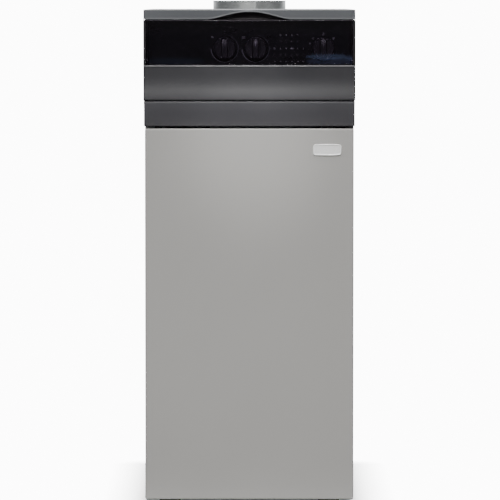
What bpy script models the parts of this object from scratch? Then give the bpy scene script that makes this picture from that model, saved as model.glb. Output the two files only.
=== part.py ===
"""A slim floor standing gas boiler with a cast-iron body, an atmospheric burner and a draught diverter.

Metres, +Z up, the front faces -Y. The origin is on the floor, under the middle of the whole boiler.
Every piece is one closed solid. Pieces that rest on each other keep FIT_GAP between them.
"""

import math

import bmesh
import bpy
from mathutils import Matrix, Vector

MM = 0.001

# Overall sizes
CASING_WIDTH = 352 * MM
CASING_HEIGHT = 835 * MM
CASING_DEPTH = 600 * MM
PIPE_STUB = 25 * MM
SHEET = 1.2 * MM
FRAME_SHEET = 1.5 * MM
PLASTIC = 2.5 * MM
FIT_GAP = 0.3 * MM
OVERRUN = 2 * MM
FINE_STEPS = 40
ROUND_STEPS = 24
PLAIN_STEPS = 12

HALF_WIDTH = CASING_WIDTH / 2
FRONT_Y = -(CASING_DEPTH + PIPE_STUB) / 2
REAR_Y = FRONT_Y + CASING_DEPTH
PIPE_END_Y = REAR_Y + PIPE_STUB
PANEL_INNER_X = HALF_WIDTH - SHEET
FRAME_HALF = PANEL_INNER_X - FIT_GAP

# The door's thickness sets where the side panels begin behind it
DOOR_SETBACK = 6 * MM
DOOR_THICKNESS = 17 * MM
DOOR_SWING_GAP = 3 * MM
DOOR_FRONT_Y = FRONT_Y + DOOR_SETBACK
DOOR_REAR_Y = DOOR_FRONT_Y + DOOR_THICKNESS
PANEL_FRONT_Y = DOOR_REAR_Y + DOOR_SWING_GAP

# Top cover
COVER_OVERHANG = 2.2 * MM
COVER_SETBACK = 5 * MM
COVER_SHEET = 1.5 * MM
COVER_LIP = 17 * MM
COVER_RADIUS = 5 * MM
COVER_REAR_PLAY = 1 * MM
FINGER_ARCH_WIDTH = 139 * MM
FINGER_ARCH_HEIGHT = 12.6 * MM
FINGER_ARCH_FULLNESS = 0.7
FINGER_ARCH_POINTS = 24
COVER_HALF = HALF_WIDTH + COVER_OVERHANG
COVER_FRONT_Y = FRONT_Y + COVER_SETBACK
COVER_REAR_Y = REAR_Y + COVER_REAR_PLAY + COVER_SHEET
COVER_BOTTOM_Z = CASING_HEIGHT - COVER_LIP
COVER_UNDERSIDE_Z = CASING_HEIGHT - COVER_SHEET
PANEL_TOP_Z = COVER_UNDERSIDE_Z - (COVER_RADIUS - COVER_SHEET) - FIT_GAP

# Smoked flap over the controls
FLAP_TOP_GAP = 1.1 * MM
FLAP_HEIGHT = 74.1 * MM
FLAP_THICKNESS = 3 * MM
FLAP_SETBACK = 5 * MM
FLAP_PIVOT_RISE = 3.7 * MM
FLAP_PIVOT_DEPTH = 4.5 * MM
FLAP_EAR_WIDTH = 5.7 * MM
FLAP_EAR_HEIGHT = 7 * MM
FLAP_EAR_DEPTH = 5 * MM
FLAP_PIN_RADIUS = 1.5 * MM
FLAP_GRIP_WIDTH = 120 * MM
FLAP_GRIP_DEPTH = 3.5 * MM
FLAP_GRIP_HEIGHT = 3 * MM
FLAP_EDGE_RADIUS = 0.8 * MM
FLAP_TOP_Z = COVER_BOTTOM_Z - FLAP_TOP_GAP
FLAP_BOTTOM_Z = FLAP_TOP_Z - FLAP_HEIGHT
FLAP_FRONT_Y = FRONT_Y + FLAP_SETBACK
FLAP_REAR_Y = FLAP_FRONT_Y + FLAP_THICKNESS
FLAP_PIVOT_Y = FLAP_FRONT_Y + FLAP_PIVOT_DEPTH
FLAP_PIVOT_Z = FLAP_BOTTOM_Z + FLAP_PIVOT_RISE

# Control fascia
FASCIA_OVERHANG = 2.5 * MM
FASCIA_SETBACK = 4.5 * MM
CHEEK_WIDTH = 3.4 * MM
FLAP_SIDE_GAP = 0.4 * MM
BAND_HEIGHT = 58.3 * MM
BAND_THICKNESS = 2.5 * MM
BAND_CURVE_POINTS = 10
LIP_DROP = 1.8 * MM
LIP_FRONT_DEPTH = 3 * MM
LIP_REAR_DEPTH = 6.5 * MM
LEDGE_DROP = 1.5 * MM
RECESS_WALL = 2.3 * MM
SLEEVE_DEPTH = 19 * MM
CHEEK_PANEL_GAP = 0.5 * MM
SIDE_STEP_THICKNESS = 3.2 * MM
PLATE_DEPTH = 33 * MM
PLATE_THICKNESS = 2 * MM
FASCIA_HALF = HALF_WIDTH + FASCIA_OVERHANG
CHEEK_INNER_X = FASCIA_HALF - CHEEK_WIDTH
SLEEVE_INNER_X = HALF_WIDTH + FIT_GAP
FASCIA_FRONT_Y = FRONT_Y + FASCIA_SETBACK
CHEEK_REAR_Y = PANEL_FRONT_Y - CHEEK_PANEL_GAP
SLEEVE_REAR_Y = CHEEK_REAR_Y + SLEEVE_DEPTH
LIP_TOP_Z = FLAP_BOTTOM_Z - LIP_DROP
LEDGE_TOP_Z = LIP_TOP_Z - LEDGE_DROP
BAND_BOTTOM_Z = LIP_TOP_Z - BAND_HEIGHT
CEILING_TOP_Z = COVER_UNDERSIDE_Z - 5 * FIT_GAP
CEILING_Z = CEILING_TOP_Z - PLASTIC
RECESS_HALF = FRAME_HALF - RECESS_WALL
PLATE_FRONT_Y = FRONT_Y + PLATE_DEPTH
PLATE_REAR_Y = PLATE_FRONT_Y + PLATE_THICKNESS
PLATE_HALF = RECESS_HALF - FIT_GAP
PLATE_BOTTOM_Z = LEDGE_TOP_Z + FIT_GAP
PLATE_TOP_Z = CEILING_Z - FIT_GAP

# Lower trim between the fascia and the door
BAND_GAP = 2.2 * MM
TRIM_HEIGHT = 41.5 * MM
TRIM_OVERHANG = 1.6 * MM
TRIM_SWEEP = 5 * MM
TRIM_CURVE_POINTS = 8
TRIM_HALF = HALF_WIDTH + TRIM_OVERHANG
TRIM_END_INNER_X = PANEL_INNER_X
TRIM_TOP_Z = BAND_BOTTOM_Z - BAND_GAP
TRIM_BOTTOM_Z = TRIM_TOP_Z - TRIM_HEIGHT

# Front door
DOOR_TOP_GAP = 3.9 * MM
DOOR_FLOOR_GAP = 8 * MM
DOOR_EDGE_INSET = 0.1 * MM
DOOR_EDGE_RADIUS = 3 * MM
DOOR_REAR_LIP = 10 * MM
DOOR_PIVOT_INSET = 5.5 * MM
DOOR_PIVOT_DEPTH = 4.7 * MM
DOOR_PIN_RADIUS = 3 * MM
DOOR_PIN_HOLD = 13 * MM
INSULATION_THICKNESS = 11 * MM
INSULATION_MARGIN = 12 * MM
DOOR_TOP_Z = TRIM_BOTTOM_Z - DOOR_TOP_GAP
DOOR_BOTTOM_Z = DOOR_FLOOR_GAP
DOOR_HALF = HALF_WIDTH - DOOR_EDGE_INSET
DOOR_PIVOT_X = -DOOR_HALF + DOOR_PIVOT_INSET
DOOR_PIVOT_Y = DOOR_REAR_Y - DOOR_PIVOT_DEPTH
DOOR_MIDDLE_Z = (DOOR_TOP_Z + DOOR_BOTTOM_Z) / 2

# Bare badge plate on the door
BADGE_WIDTH = 48 * MM
BADGE_HEIGHT = 20 * MM
BADGE_THICKNESS = 2.3 * MM
BADGE_CORNER = 5 * MM
BADGE_SIDE_MARGIN = 44.9 * MM
BADGE_TOP_MARGIN = 26 * MM
BADGE_CENTRE_X = DOOR_HALF - BADGE_SIDE_MARGIN

# Side panels, rear panel and base tray
FRONT_RETURN = 14 * MM
REAR_RETURN = 12 * MM
REAR_PANEL_INSET = 2.2 * MM
TRAY_FLOOR_GAP = 10 * MM
TRAY_WALL = 30 * MM
AIR_OPENING_MARGIN = 18 * MM
AIR_OPENING_END = 90 * MM
FOOT_INSET_X = 39.5 * MM
FOOT_INSET_Y = 37.5 * MM
FOOT_RADIUS = 18 * MM
FOOT_PAD_HEIGHT = 4 * MM
FOOT_SHOULDER_HEIGHT = 6.5 * MM
FOOT_SHOULDER_RADIUS = 12 * MM
FOOT_NUT_RADIUS = 9 * MM
FOOT_STUD_RADIUS = 5 * MM
FOOT_STUD_LENGTH = 22 * MM
RETURN_REAR_Y = REAR_Y - SHEET - FIT_GAP
TRAY_FRONT_Y = PANEL_FRONT_Y + SHEET + FIT_GAP
TRAY_REAR_Y = RETURN_REAR_Y - SHEET - FIT_GAP
TRAY_BOTTOM_Z = TRAY_FLOOR_GAP
TRAY_PLATE_Z = TRAY_BOTTOM_Z + FRAME_SHEET
TRAY_TOP_Z = TRAY_BOTTOM_Z + TRAY_WALL

# Hinge brackets and magnet catches
BRACKET_SHEET = 2.2 * MM
BRACKET_WIDTH = 14.5 * MM
BRACKET_FRONT_DEPTH = 6.5 * MM
BRACKET_DOOR_GAP = 0.9 * MM
BRACKET_REACH = 33 * MM
CROSSBAR_DROP = 0.5 * MM
CROSSBAR_DEPTH = 34.7 * MM
CROSSBAR_HEIGHT = 56.2 * MM
CROSSBAR_SETBACK = 1.3 * MM
CATCH_WIDTH = 20 * MM
CATCH_HEIGHT = 20 * MM
CATCH_DEPTH = 21.7 * MM
BRACKET_TOP_Z = TRIM_BOTTOM_Z - 2 * FIT_GAP
CROSSBAR_BOTTOM_Z = TRIM_BOTTOM_Z - CROSSBAR_DROP + FIT_GAP
CROSSBAR_TOP_Z = CROSSBAR_BOTTOM_Z + CROSSBAR_HEIGHT
CROSSBAR_FRONT_Y = PANEL_FRONT_Y + CROSSBAR_SETBACK
CROSSBAR_REAR_Y = CROSSBAR_FRONT_Y + CROSSBAR_DEPTH

# Knobs, their spindles and what they turn
KNOB_RADIUS = 19 * MM
KNOB_FACE_RADIUS = 17.6 * MM
KNOB_DISC_DEPTH = 9.5 * MM
KNOB_DRAFT = 0.5 * MM
KNOB_EDGE = 1 * MM
KNOB_PLATE_GAP = 0.6 * MM
GRIP_WIDTH = 12.6 * MM
GRIP_TOP_WIDTH = 9 * MM
GRIP_LENGTH = 35 * MM
GRIP_RISE = 9 * MM
GRIP_OVERLAP = 2 * MM
SPINDLE_RADIUS = 3 * MM
SPINDLE_PLAY = 0.3 * MM
SPINDLE_CLEARANCE = 1 * MM
SPINDLE_IN_KNOB = 7 * MM
POT_BEHIND_PLATE = 1.5 * MM
POT_RADIUS = 9 * MM
SWITCH_RADIUS = 14 * MM
POT_DEPTH = 10 * MM
POT_BORE_DEPTH = 8.5 * MM
SPINDLE_END_PLAY = 0.6 * MM
KNOB_ROW_DROP = 48.9 * MM
SELECTOR_KNOB_INSET = 51.4 * MM
HEATING_KNOB_STEP = 114 * MM
HOT_WATER_KNOB_STEP = 52.2 * MM
SELECTOR_KNOB_X = HALF_WIDTH - SELECTOR_KNOB_INSET
HEATING_KNOB_X = SELECTOR_KNOB_X - HEATING_KNOB_STEP
HOT_WATER_KNOB_X = HEATING_KNOB_X - HOT_WATER_KNOB_STEP
KNOB_Z = COVER_BOTTOM_Z - KNOB_ROW_DROP
KNOB_REAR_Y = PLATE_FRONT_Y - KNOB_PLATE_GAP
KNOB_FACE_Y = KNOB_REAR_Y - KNOB_DISC_DEPTH
SPINDLE_HOLE_RADIUS = SPINDLE_RADIUS + SPINDLE_CLEARANCE
BORE_RADIUS = SPINDLE_RADIUS + SPINDLE_PLAY
SPINDLE_FRONT_Y = KNOB_REAR_Y - SPINDLE_IN_KNOB
POT_FRONT_Y = PLATE_REAR_Y + POT_BEHIND_PLATE
POT_REAR_Y = POT_FRONT_Y + POT_DEPTH
SPINDLE_REAR_Y = POT_FRONT_Y + POT_BORE_DEPTH - SPINDLE_END_PLAY

# Indicator lamps: one moulded light guide whose studs show through the plate
LAMP_RADIUS = 1.7 * MM
LAMP_PITCH = 9.65 * MM
LAMP_KNOB_STEP = 32.2 * MM
LAMP_UPPER_RISE = 11.9 * MM
LAMP_LOWER_DROP = 11.3 * MM
LAMP_ROW_COUNT = 6
LAMP_UPPER_PLACES = (1, 2, 3, 4)
LAMP_FIRST_X = HEATING_KNOB_X + LAMP_KNOB_STEP
LAMP_PLAY = 0.3 * MM
LAMP_PROUD = 0.4 * MM
LAMP_STEPS = 8
GUIDE_THICKNESS = 3 * MM
GUIDE_MARGIN = 4 * MM

# Control box, its board and the mains gland
BOX_SIDE_INSET = 14.5 * MM
BOX_DEPTH = 52.7 * MM
BOX_TOP_DROP = 17.2 * MM
BOARD_THICKNESS = 1.6 * MM
BOARD_MARGIN = 10 * MM
BOARD_POST_INSET = 8 * MM
BOARD_POST_RADIUS = 4 * MM
TRANSFORMER_WIDTH = 48 * MM
TRANSFORMER_HEIGHT = 40 * MM
TRANSFORMER_DEPTH = 30 * MM
TRANSFORMER_SIDE_SPACE = 65 * MM
LEAD_RADIUS = 3.2 * MM
LEAD_HOLE_PLAY = 0.8 * MM
LEAD_HOLE_REAR_INSET = 8.3 * MM
BOX_HALF = FRAME_HALF - BOX_SIDE_INSET
TRANSFORMER_X = -BOX_HALF + TRANSFORMER_SIDE_SPACE
BOX_FRONT_Y = PLATE_REAR_Y + FIT_GAP
BOX_REAR_Y = BOX_FRONT_Y + BOX_DEPTH
BOX_BOTTOM_Z = CROSSBAR_TOP_Z + FIT_GAP
BOX_TOP_Z = PLATE_TOP_Z - BOX_TOP_DROP
BOARD_FRONT_Y = POT_REAR_Y + FIT_GAP
BOARD_REAR_Y = BOARD_FRONT_Y + BOARD_THICKNESS
LEAD_Y = BOX_REAR_Y - LEAD_HOLE_REAR_INSET

# Flue way heights, from the cover down to the sections
DIVERTER_TOP_DROP = 61 * MM
DIVERTER_HEIGHT = 94.9 * MM
COLLECTOR_HEIGHT = 45 * MM
DIVERTER_TOP_Z = COVER_UNDERSIDE_Z - DIVERTER_TOP_DROP
DIVERTER_Z = DIVERTER_TOP_Z - DIVERTER_HEIGHT
COLLECTOR_TOP_Z = DIVERTER_Z - FIT_GAP
COLLECTOR_Z = COLLECTOR_TOP_Z - COLLECTOR_HEIGHT

# Cast-iron sections
SECTION_FRONT = 124 * MM
SECTION_BOTTOM_Z = 300 * MM
SECTION_SIDE_SPACE = 54 * MM
SECTION_CORE = 80 * MM
SECTION_PITCH = 118 * MM
SECTION_COUNT = 3
SECTION_CORNER = 16 * MM
SECTION_WALL = 8 * MM
FIN_COUNT = 7
FIN_PITCH = 20 * MM
FIN_THICKNESS = 6 * MM
FIN_END_MARGIN = 16 * MM
PORT_INSET_X = 30 * MM
PORT_INSET_Z = 36 * MM
PORT_RADIUS = 16 * MM
BOSS_RADIUS = 23 * MM
EAR_REACH = 15 * MM
EAR_HALF_HEIGHT = 12 * MM
EAR_THICKNESS = 14 * MM
ROD_RADIUS = 4.5 * MM
ROD_PLAY = 0.7 * MM
ROD_NUT_RADIUS = 9 * MM
ROD_NUT_LENGTH = 8 * MM
ROD_TAIL = 3 * MM
HEX_STEPS = 6
SECTION_HALF = HALF_WIDTH - SECTION_SIDE_SPACE
SECTION_FRONT_Y = FRONT_Y + SECTION_FRONT
SECTION_TOP_Z = COLLECTOR_Z - FIT_GAP
SECTIONS_REAR_Y = SECTION_FRONT_Y + SECTION_PITCH * (SECTION_COUNT - 1) + SECTION_CORE
SECTION_GAP = SECTION_PITCH - SECTION_CORE
FIN_DEPTH = SECTION_GAP / 2 - FIT_GAP
PORT_X = SECTION_HALF - PORT_INSET_X
PORT_TOP_Z = SECTION_TOP_Z - PORT_INSET_Z
PORT_BOTTOM_Z = SECTION_BOTTOM_Z + PORT_INSET_Z
ROD_X = SECTION_HALF + EAR_REACH / 2
SECTION_MIDDLE_Z = (SECTION_BOTTOM_Z + SECTION_TOP_Z) / 2

# Insulation round the sections
JACKET_THICKNESS = 16 * MM
JACKET_SIDE_GAP = 18 * MM
JACKET_END_GAP = 14 * MM
JACKET_CORNER = 14 * MM
JACKET_TOP_DROP = 2 * MM
JACKET_HOLE_PLAY = 2 * MM
JACKET_INNER_X = SECTION_HALF + JACKET_SIDE_GAP
JACKET_OUTER_X = JACKET_INNER_X + JACKET_THICKNESS
JACKET_INNER_FRONT_Y = SECTION_FRONT_Y - JACKET_END_GAP
JACKET_INNER_REAR_Y = SECTIONS_REAR_Y + JACKET_END_GAP
JACKET_FRONT_Y = JACKET_INNER_FRONT_Y - JACKET_THICKNESS
JACKET_REAR_Y = JACKET_INNER_REAR_Y + JACKET_THICKNESS
JACKET_TOP_Z = SECTION_TOP_Z - JACKET_TOP_DROP

# Flue way: collector, draught diverter and collar
FLUE_RADIUS = 65 * MM
FLUE_RISE = 15 * MM
FLUE_SETBACK = 110 * MM
FLUE_WALL = 1.5 * MM
FLUE_FLANGE = 13 * MM
FLUE_COVER_GAP = 5 * MM
COLLECTOR_INSET = 2 * MM
COLLECTOR_THROAT = 59 * MM
DIVERTER_HALF = 85 * MM
DIVERTER_REAR_GAP = 25 * MM
DIVERTER_FRONT_REACH = 110 * MM
RELIEF_MARGIN = 14 * MM
RELIEF_HEIGHT = 58 * MM
RELIEF_SLOT_COUNT = 5
RELIEF_SLOT_HEIGHT = 7 * MM
FLUE_Y = REAR_Y - FLUE_SETBACK
DIVERTER_FRONT_Y = FLUE_Y - DIVERTER_FRONT_REACH
DIVERTER_REAR_Y = REAR_Y - DIVERTER_REAR_GAP
FLUE_TOP_Z = CASING_HEIGHT + FLUE_RISE

# Stand, combustion chamber and burner
STAND_OVERHANG = 20 * MM
STAND_SHEET = 2 * MM
STAND_STRAP = 30 * MM
STAND_STRAP_SHEET = 3 * MM
CHAMBER_INSET = 12 * MM
CHAMBER_WALL = 12 * MM
CHAMBER_HEIGHT = 149.7 * MM
CHAMBER_PLATE = 2 * MM
CHAMBER_FRONT_REACH = 4 * MM
TUBE_COUNT = 3
TUBE_END_SHARE = 0.16
TUBE_RADIUS_SHARE = 0.355
TUBE_MOUTH_SHARE = 0.29
TUBE_MOUTH_WALL = 1.5 * MM
TUBE_THROAT_SHARE = 0.177
TUBE_THROAT_WALL = 2 * MM
TUBE_MOUTH_REACH = 26 * MM
TUBE_THROAT_REACH = 14 * MM
TUBE_WALL = 1.2 * MM
TUBE_SHOULDER = 3 * MM
TUBE_REAR_GAP = 0.5 * MM
TUBE_DROP = 78 * MM
CHAMBER_HALF = SECTION_HALF - CHAMBER_INSET
TUBE_PITCH = 2 * (CHAMBER_HALF - CHAMBER_WALL) / (TUBE_COUNT + TUBE_END_SHARE)
TUBE_RADIUS = TUBE_PITCH * TUBE_RADIUS_SHARE
TUBE_MOUTH_RADIUS = TUBE_PITCH * TUBE_MOUTH_SHARE
TUBE_THROAT_RADIUS = TUBE_PITCH * TUBE_THROAT_SHARE
CHAMBER_FRONT_Y = SECTION_FRONT_Y - CHAMBER_FRONT_REACH
CHAMBER_REAR_Y = SECTIONS_REAR_Y
CHAMBER_TOP_Z = SECTION_BOTTOM_Z - FIT_GAP
CHAMBER_BOTTOM_Z = CHAMBER_TOP_Z - CHAMBER_HEIGHT
BURNER_PLATE_REAR_Y = CHAMBER_FRONT_Y - FIT_GAP
BURNER_PLATE_FRONT_Y = BURNER_PLATE_REAR_Y - CHAMBER_PLATE
TUBE_Z = SECTION_BOTTOM_Z - TUBE_DROP
TUBE_MOUTH_Y = BURNER_PLATE_FRONT_Y - TUBE_MOUTH_REACH
TUBE_END_Y = CHAMBER_REAR_Y - CHAMBER_WALL - TUBE_REAR_GAP
STAND_HALF = SECTION_HALF + STAND_OVERHANG
STAND_INNER_X = CHAMBER_HALF + FIT_GAP
STAND_FRONT_Y = CHAMBER_FRONT_Y
STAND_REAR_Y = JACKET_REAR_Y
STAND_BOTTOM_Z = TRAY_PLATE_Z + FIT_GAP
STAND_TOP_Z = SECTION_BOTTOM_Z - FIT_GAP

# Sight glass and ignition electrode on the burner plate
SIGHT_DROP = 28 * MM
SIGHT_HOLE_RADIUS = 11 * MM
SIGHT_RADIUS = 15 * MM
SIGHT_RIM = 3 * MM
SIGHT_DEPTH = 5 * MM
SIGHT_GLASS_DEPTH = 2 * MM
ELECTRODE_X = -46 * MM
ELECTRODE_RADIUS = 3.5 * MM
ELECTRODE_HOLE_PLAY = 0.3 * MM
ELECTRODE_FLANGE_RADIUS = 7 * MM
ELECTRODE_FLANGE = 3 * MM
ELECTRODE_FRONT_REACH = 16 * MM
ELECTRODE_REAR_REACH = 20 * MM
ELECTRODE_TIP = 26 * MM
ELECTRODE_TIP_RADIUS = 1.2 * MM
ELECTRODE_DROP = 38 * MM

# Gas train
MANIFOLD_END = 26 * MM
MANIFOLD_SIDE = 24 * MM
INJECTOR_GAP = 10 * MM
INJECTOR_RADIUS = 6 * MM
INJECTOR_TIP_RADIUS = 3 * MM
INJECTOR_HEX_LENGTH = 6 * MM
INJECTOR_REACH = 14 * MM
STANDOFF_RADIUS = 5 * MM
RISER_RADIUS = 9 * MM
RISER_FLANGE = 17 * MM
RISER_FLANGE_THICKNESS = 5 * MM
VALVE_HALF = 36 * MM
VALVE_FRONT_DEPTH = 45 * MM
VALVE_DEPTH = 60 * MM
VALVE_HEIGHT = 62 * MM
VALVE_CHAMFER = 6 * MM
VALVE_TOP_DROP = 60 * MM
VALVE_BOSS_RADIUS = 18 * MM
VALVE_BOSS_LENGTH = 10 * MM
COIL_RADIUS = 15 * MM
COIL_LENGTH = 30 * MM
COIL_NECK_RADIUS = 8 * MM
COIL_NECK_LENGTH = 6 * MM
GAS_PIPE_RADIUS = 13.4 * MM
GAS_PIPE_WALL = 3 * MM
WATER_PIPE_RADIUS = 16.8 * MM
WATER_PIPE_WALL = 3.3 * MM
PANEL_HOLE_PLAY = 0.7 * MM
MANIFOLD_HALF = TUBE_PITCH + MANIFOLD_END
MANIFOLD_REAR_Y = TUBE_MOUTH_Y - INJECTOR_GAP
MANIFOLD_FRONT_Y = MANIFOLD_REAR_Y - MANIFOLD_SIDE
MANIFOLD_BOTTOM_Z = TUBE_Z - MANIFOLD_SIDE / 2
MANIFOLD_TOP_Z = TUBE_Z + MANIFOLD_SIDE / 2
RISER_Y = (MANIFOLD_FRONT_Y + MANIFOLD_REAR_Y) / 2
VALVE_TOP_Z = MANIFOLD_BOTTOM_Z - VALVE_TOP_DROP
VALVE_BOTTOM_Z = VALVE_TOP_Z - VALVE_HEIGHT
VALVE_MIDDLE_Z = (VALVE_TOP_Z + VALVE_BOTTOM_Z) / 2
VALVE_FRONT_Y = FRONT_Y + VALVE_FRONT_DEPTH
VALVE_REAR_Y = VALVE_FRONT_Y + VALVE_DEPTH
VALVE_INLET_Y = VALVE_REAR_Y + VALVE_BOSS_LENGTH
COIL_X = VALVE_HALF + COIL_NECK_LENGTH

# Drain cock
DRAIN_RADIUS = 8 * MM
DRAIN_HEX_RADIUS = 12 * MM
DRAIN_HEX_LENGTH = 10 * MM
DRAIN_FRONT_REACH = 40 * MM
DRAIN_NOZZLE_RADIUS = 6 * MM
DRAIN_NOZZLE_LENGTH = 30 * MM
DRAIN_NOZZLE_SETBACK = 19 * MM
DRAIN_SPINDLE_RADIUS = 3 * MM
DRAIN_SPINDLE_PLAY = 0.3 * MM
DRAIN_SPINDLE_DEPTH = 8 * MM
DRAIN_BORE_DEPTH = 9 * MM
DRAIN_KNOB_RADIUS = 11 * MM
DRAIN_KNOB_LENGTH = 7 * MM
DRAIN_KNOB_GAP = 0.6 * MM
DRAIN_LEVER_LENGTH = 38 * MM
DRAIN_LEVER_WIDTH = 7 * MM
DRAIN_LEVER_THICKNESS = 4 * MM
DRAIN_X = -PORT_X
DRAIN_REAR_Y = SECTION_FRONT_Y - FIT_GAP
DRAIN_FRONT_Y = JACKET_FRONT_Y - DRAIN_FRONT_REACH
DRAIN_KNOB_REAR_Y = DRAIN_FRONT_Y - DRAIN_KNOB_GAP
DRAIN_KNOB_FRONT_Y = DRAIN_KNOB_REAR_Y - DRAIN_KNOB_LENGTH

# Mains gland in the rear panel
GLAND_SIDE_SPACE = 56 * MM
GLAND_RISE = 18 * MM
GLAND_RADIUS = 11 * MM
GLAND_NUT_RADIUS = 15 * MM
GLAND_BORE_RADIUS = 4.5 * MM
GLAND_NUT_LENGTH = 6 * MM
GLAND_REAR_REACH = 14 * MM
GLAND_FRONT_REACH = 10 * MM
GLAND_HOLE_PLAY = 0.3 * MM
GLAND_X = -HALF_WIDTH + GLAND_SIDE_SPACE
GLAND_Z = SECTION_TOP_Z + GLAND_RISE

# Internal leads. Their points are chosen by hand along the real route, from the control box down.
LEAD_POINT_SPACING = 9 * MM
LEAD_ROUND_STEPS = 2
VALVE_LEAD_INSET = 42 * MM
IGNITION_LEAD_INSET = 90 * MM
LEAD_JACKET_GAP = 1.5 * MM
LEAD_TAIL = 10 * MM
VALVE_LEAD_X = BOX_HALF - VALVE_LEAD_INSET
IGNITION_LEAD_X = -BOX_HALF + IGNITION_LEAD_INSET


def clear_scene():
    """Removes every object that the file opened with."""
    for thing in list(bpy.data.objects):
        bpy.data.objects.remove(thing, do_unlink=True)


def material(name, colour, roughness, metallic, alpha=1.0):
    """One Principled finish."""
    made = bpy.data.materials.new(name)
    made.use_nodes = True
    shader = made.node_tree.nodes["Principled BSDF"]
    shader.inputs["Base Color"].default_value = (*colour, 1.0)
    shader.inputs["Roughness"].default_value = roughness
    shader.inputs["Metallic"].default_value = metallic
    shader.inputs["Alpha"].default_value = alpha
    return made


def mesh_object(name, points, faces):
    """A linked object with a closed mesh whose faces point out."""
    mesh = bpy.data.meshes.new(name)
    mesh.from_pydata([tuple(p) for p in points], [], faces)
    working = bmesh.new()
    working.from_mesh(mesh)
    bmesh.ops.recalc_face_normals(working, faces=working.faces)
    working.to_mesh(mesh)
    working.free()
    made = bpy.data.objects.new(name, mesh)
    bpy.context.scene.collection.objects.link(made)
    return made


def box(name, x, y, z):
    """A block between three pairs of limits."""
    points = [(px, py, pz) for px in x for py in y for pz in z]
    faces = [(0, 1, 3, 2), (4, 6, 7, 5), (0, 4, 5, 1), (2, 3, 7, 6), (0, 2, 6, 4), (1, 5, 7, 3)]
    return mesh_object(name, points, faces)


def rounded_box(name, x, y, z, radius, rounded, segments=3):
    """A block whose edges are rounded where rounded(start, end) is true of an edge's two ends."""
    made = box(name, x, y, z)
    working = bmesh.new()
    working.from_mesh(made.data)
    edges = [e for e in working.edges if rounded(e.verts[0].co, e.verts[1].co)]
    bmesh.ops.bevel(
        working, geom=edges, offset=radius, segments=segments, profile=0.5, affect="EDGES"
    )
    working.to_mesh(made.data)
    working.free()
    return made


def prism(name, outline, axis, start, end):
    """An outline carried along an axis. Its points are the two other coordinates, in X, Y, Z order."""
    others = [i for i in range(3) if i != axis]
    points = []
    for place_along in (start, end):
        for pair in outline:
            point = [0.0, 0.0, 0.0]
            point[axis] = place_along
            point[others[0]], point[others[1]] = pair
            points.append(point)
    n = len(outline)
    faces = [tuple(range(n)), tuple(range(n, 2 * n))]
    faces += [(i, (i + 1) % n, n + (i + 1) % n, n + i) for i in range(n)]
    return mesh_object(name, points, faces)


def turned(name, profile, axis, centre, steps=ROUND_STEPS, ring=False, phase=0.0):
    """A profile of (radius, place along the axis) turned round the axis.

    centre gives the axis's two other coordinates. A ring's profile closes on itself, and any other
    profile starts and ends on the axis, where its radius is zero.
    """
    others = [i for i in range(3) if i != axis]
    points, rows = [], []
    for radius, along in profile:
        count = 1 if radius == 0 else steps
        row = []
        for k in range(count):
            turn = phase + 2 * math.pi * k / steps
            point = [0.0, 0.0, 0.0]
            point[axis] = along
            point[others[0]] = centre[0] + radius * math.cos(turn)
            point[others[1]] = centre[1] + radius * math.sin(turn)
            row.append(len(points))
            points.append(point)
        rows.append(row)
    pairs = list(zip(rows, rows[1:]))
    if ring:
        pairs.append((rows[-1], rows[0]))
    faces = []
    for a, b in pairs:
        for k in range(steps):
            n = (k + 1) % steps
            corners = (a[k % len(a)], a[n % len(a)], b[n % len(b)], b[k % len(b)])
            face = tuple(dict.fromkeys(corners))
            if len(face) > 2:
                faces.append(face)
    return mesh_object(name, points, faces)


def rod(name, axis, centre, radius, start, end, steps=ROUND_STEPS, phase=0.0):
    """A plain round bar, or a hexagonal one with steps=HEX_STEPS."""
    profile = [(0.0, start), (radius, start), (radius, end), (0.0, end)]
    return turned(name, profile, axis, centre, steps, phase=phase)


def tube(name, axis, centre, radius, wall, start, end, steps=ROUND_STEPS):
    """A plain pipe, open at both ends."""
    inner = radius - wall
    profile = [(inner, start), (radius, start), (radius, end), (inner, end)]
    return turned(name, profile, axis, centre, steps, ring=True)


def boolean(target, tools, operation):
    """Joins tools to target, or cuts them from it, and removes them."""
    for tool in tools:
        modifier = target.modifiers.new(operation.title(), "BOOLEAN")
        modifier.operation = operation
        modifier.solver = "EXACT"
        modifier.object = tool
        graph = bpy.context.evaluated_depsgraph_get()
        result = bpy.data.meshes.new_from_object(target.evaluated_get(graph))
        target.modifiers.clear()
        target.data = result
        bpy.data.objects.remove(tool, do_unlink=True)
    return target


def join(target, *tools):
    """Boolean union."""
    return boolean(target, tools, "UNION")


def cut(target, *tools):
    """Boolean difference."""
    return boolean(target, tools, "DIFFERENCE")


def smooth(obj, angle=math.radians(32)):
    """Smooth shading that keeps hard edges sharp."""
    obj.data.shade_smooth()
    obj.data.set_sharp_from_angle(angle=angle)
    return obj


def place(obj, finish, parent=None, origin=None):
    """Gives a finished solid its material, its own origin and its parent."""
    smooth(obj)
    obj.data.materials.clear()
    obj.data.materials.append(finish)
    corners = [Vector(c) for c in obj.bound_box]
    centre = origin or (corners[0] + corners[6]) / 2
    obj.data.transform(Matrix.Translation(-centre))
    obj.location = centre
    if parent is not None:
        obj.parent = parent
        obj.location = centre - parent.location
    return obj


def joint_empty(name, x, y, z):
    """An empty on a joint's axis, which carries the pieces that move there."""
    made = bpy.data.objects.new(name, None)
    made.location = (x, y, z)
    bpy.context.scene.collection.objects.link(made)
    return made


def mirrored(x):
    """The same limits on the other side of the boiler."""
    return (-x[1], -x[0])


def level(a, b, index):
    """True where an edge's two ends share one coordinate."""
    return abs(a[index] - b[index]) < FIT_GAP


def runs_along(a, b, axis):
    """True where an edge lies along an axis."""
    return all(level(a, b, i) for i in range(3) if i != axis)


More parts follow.
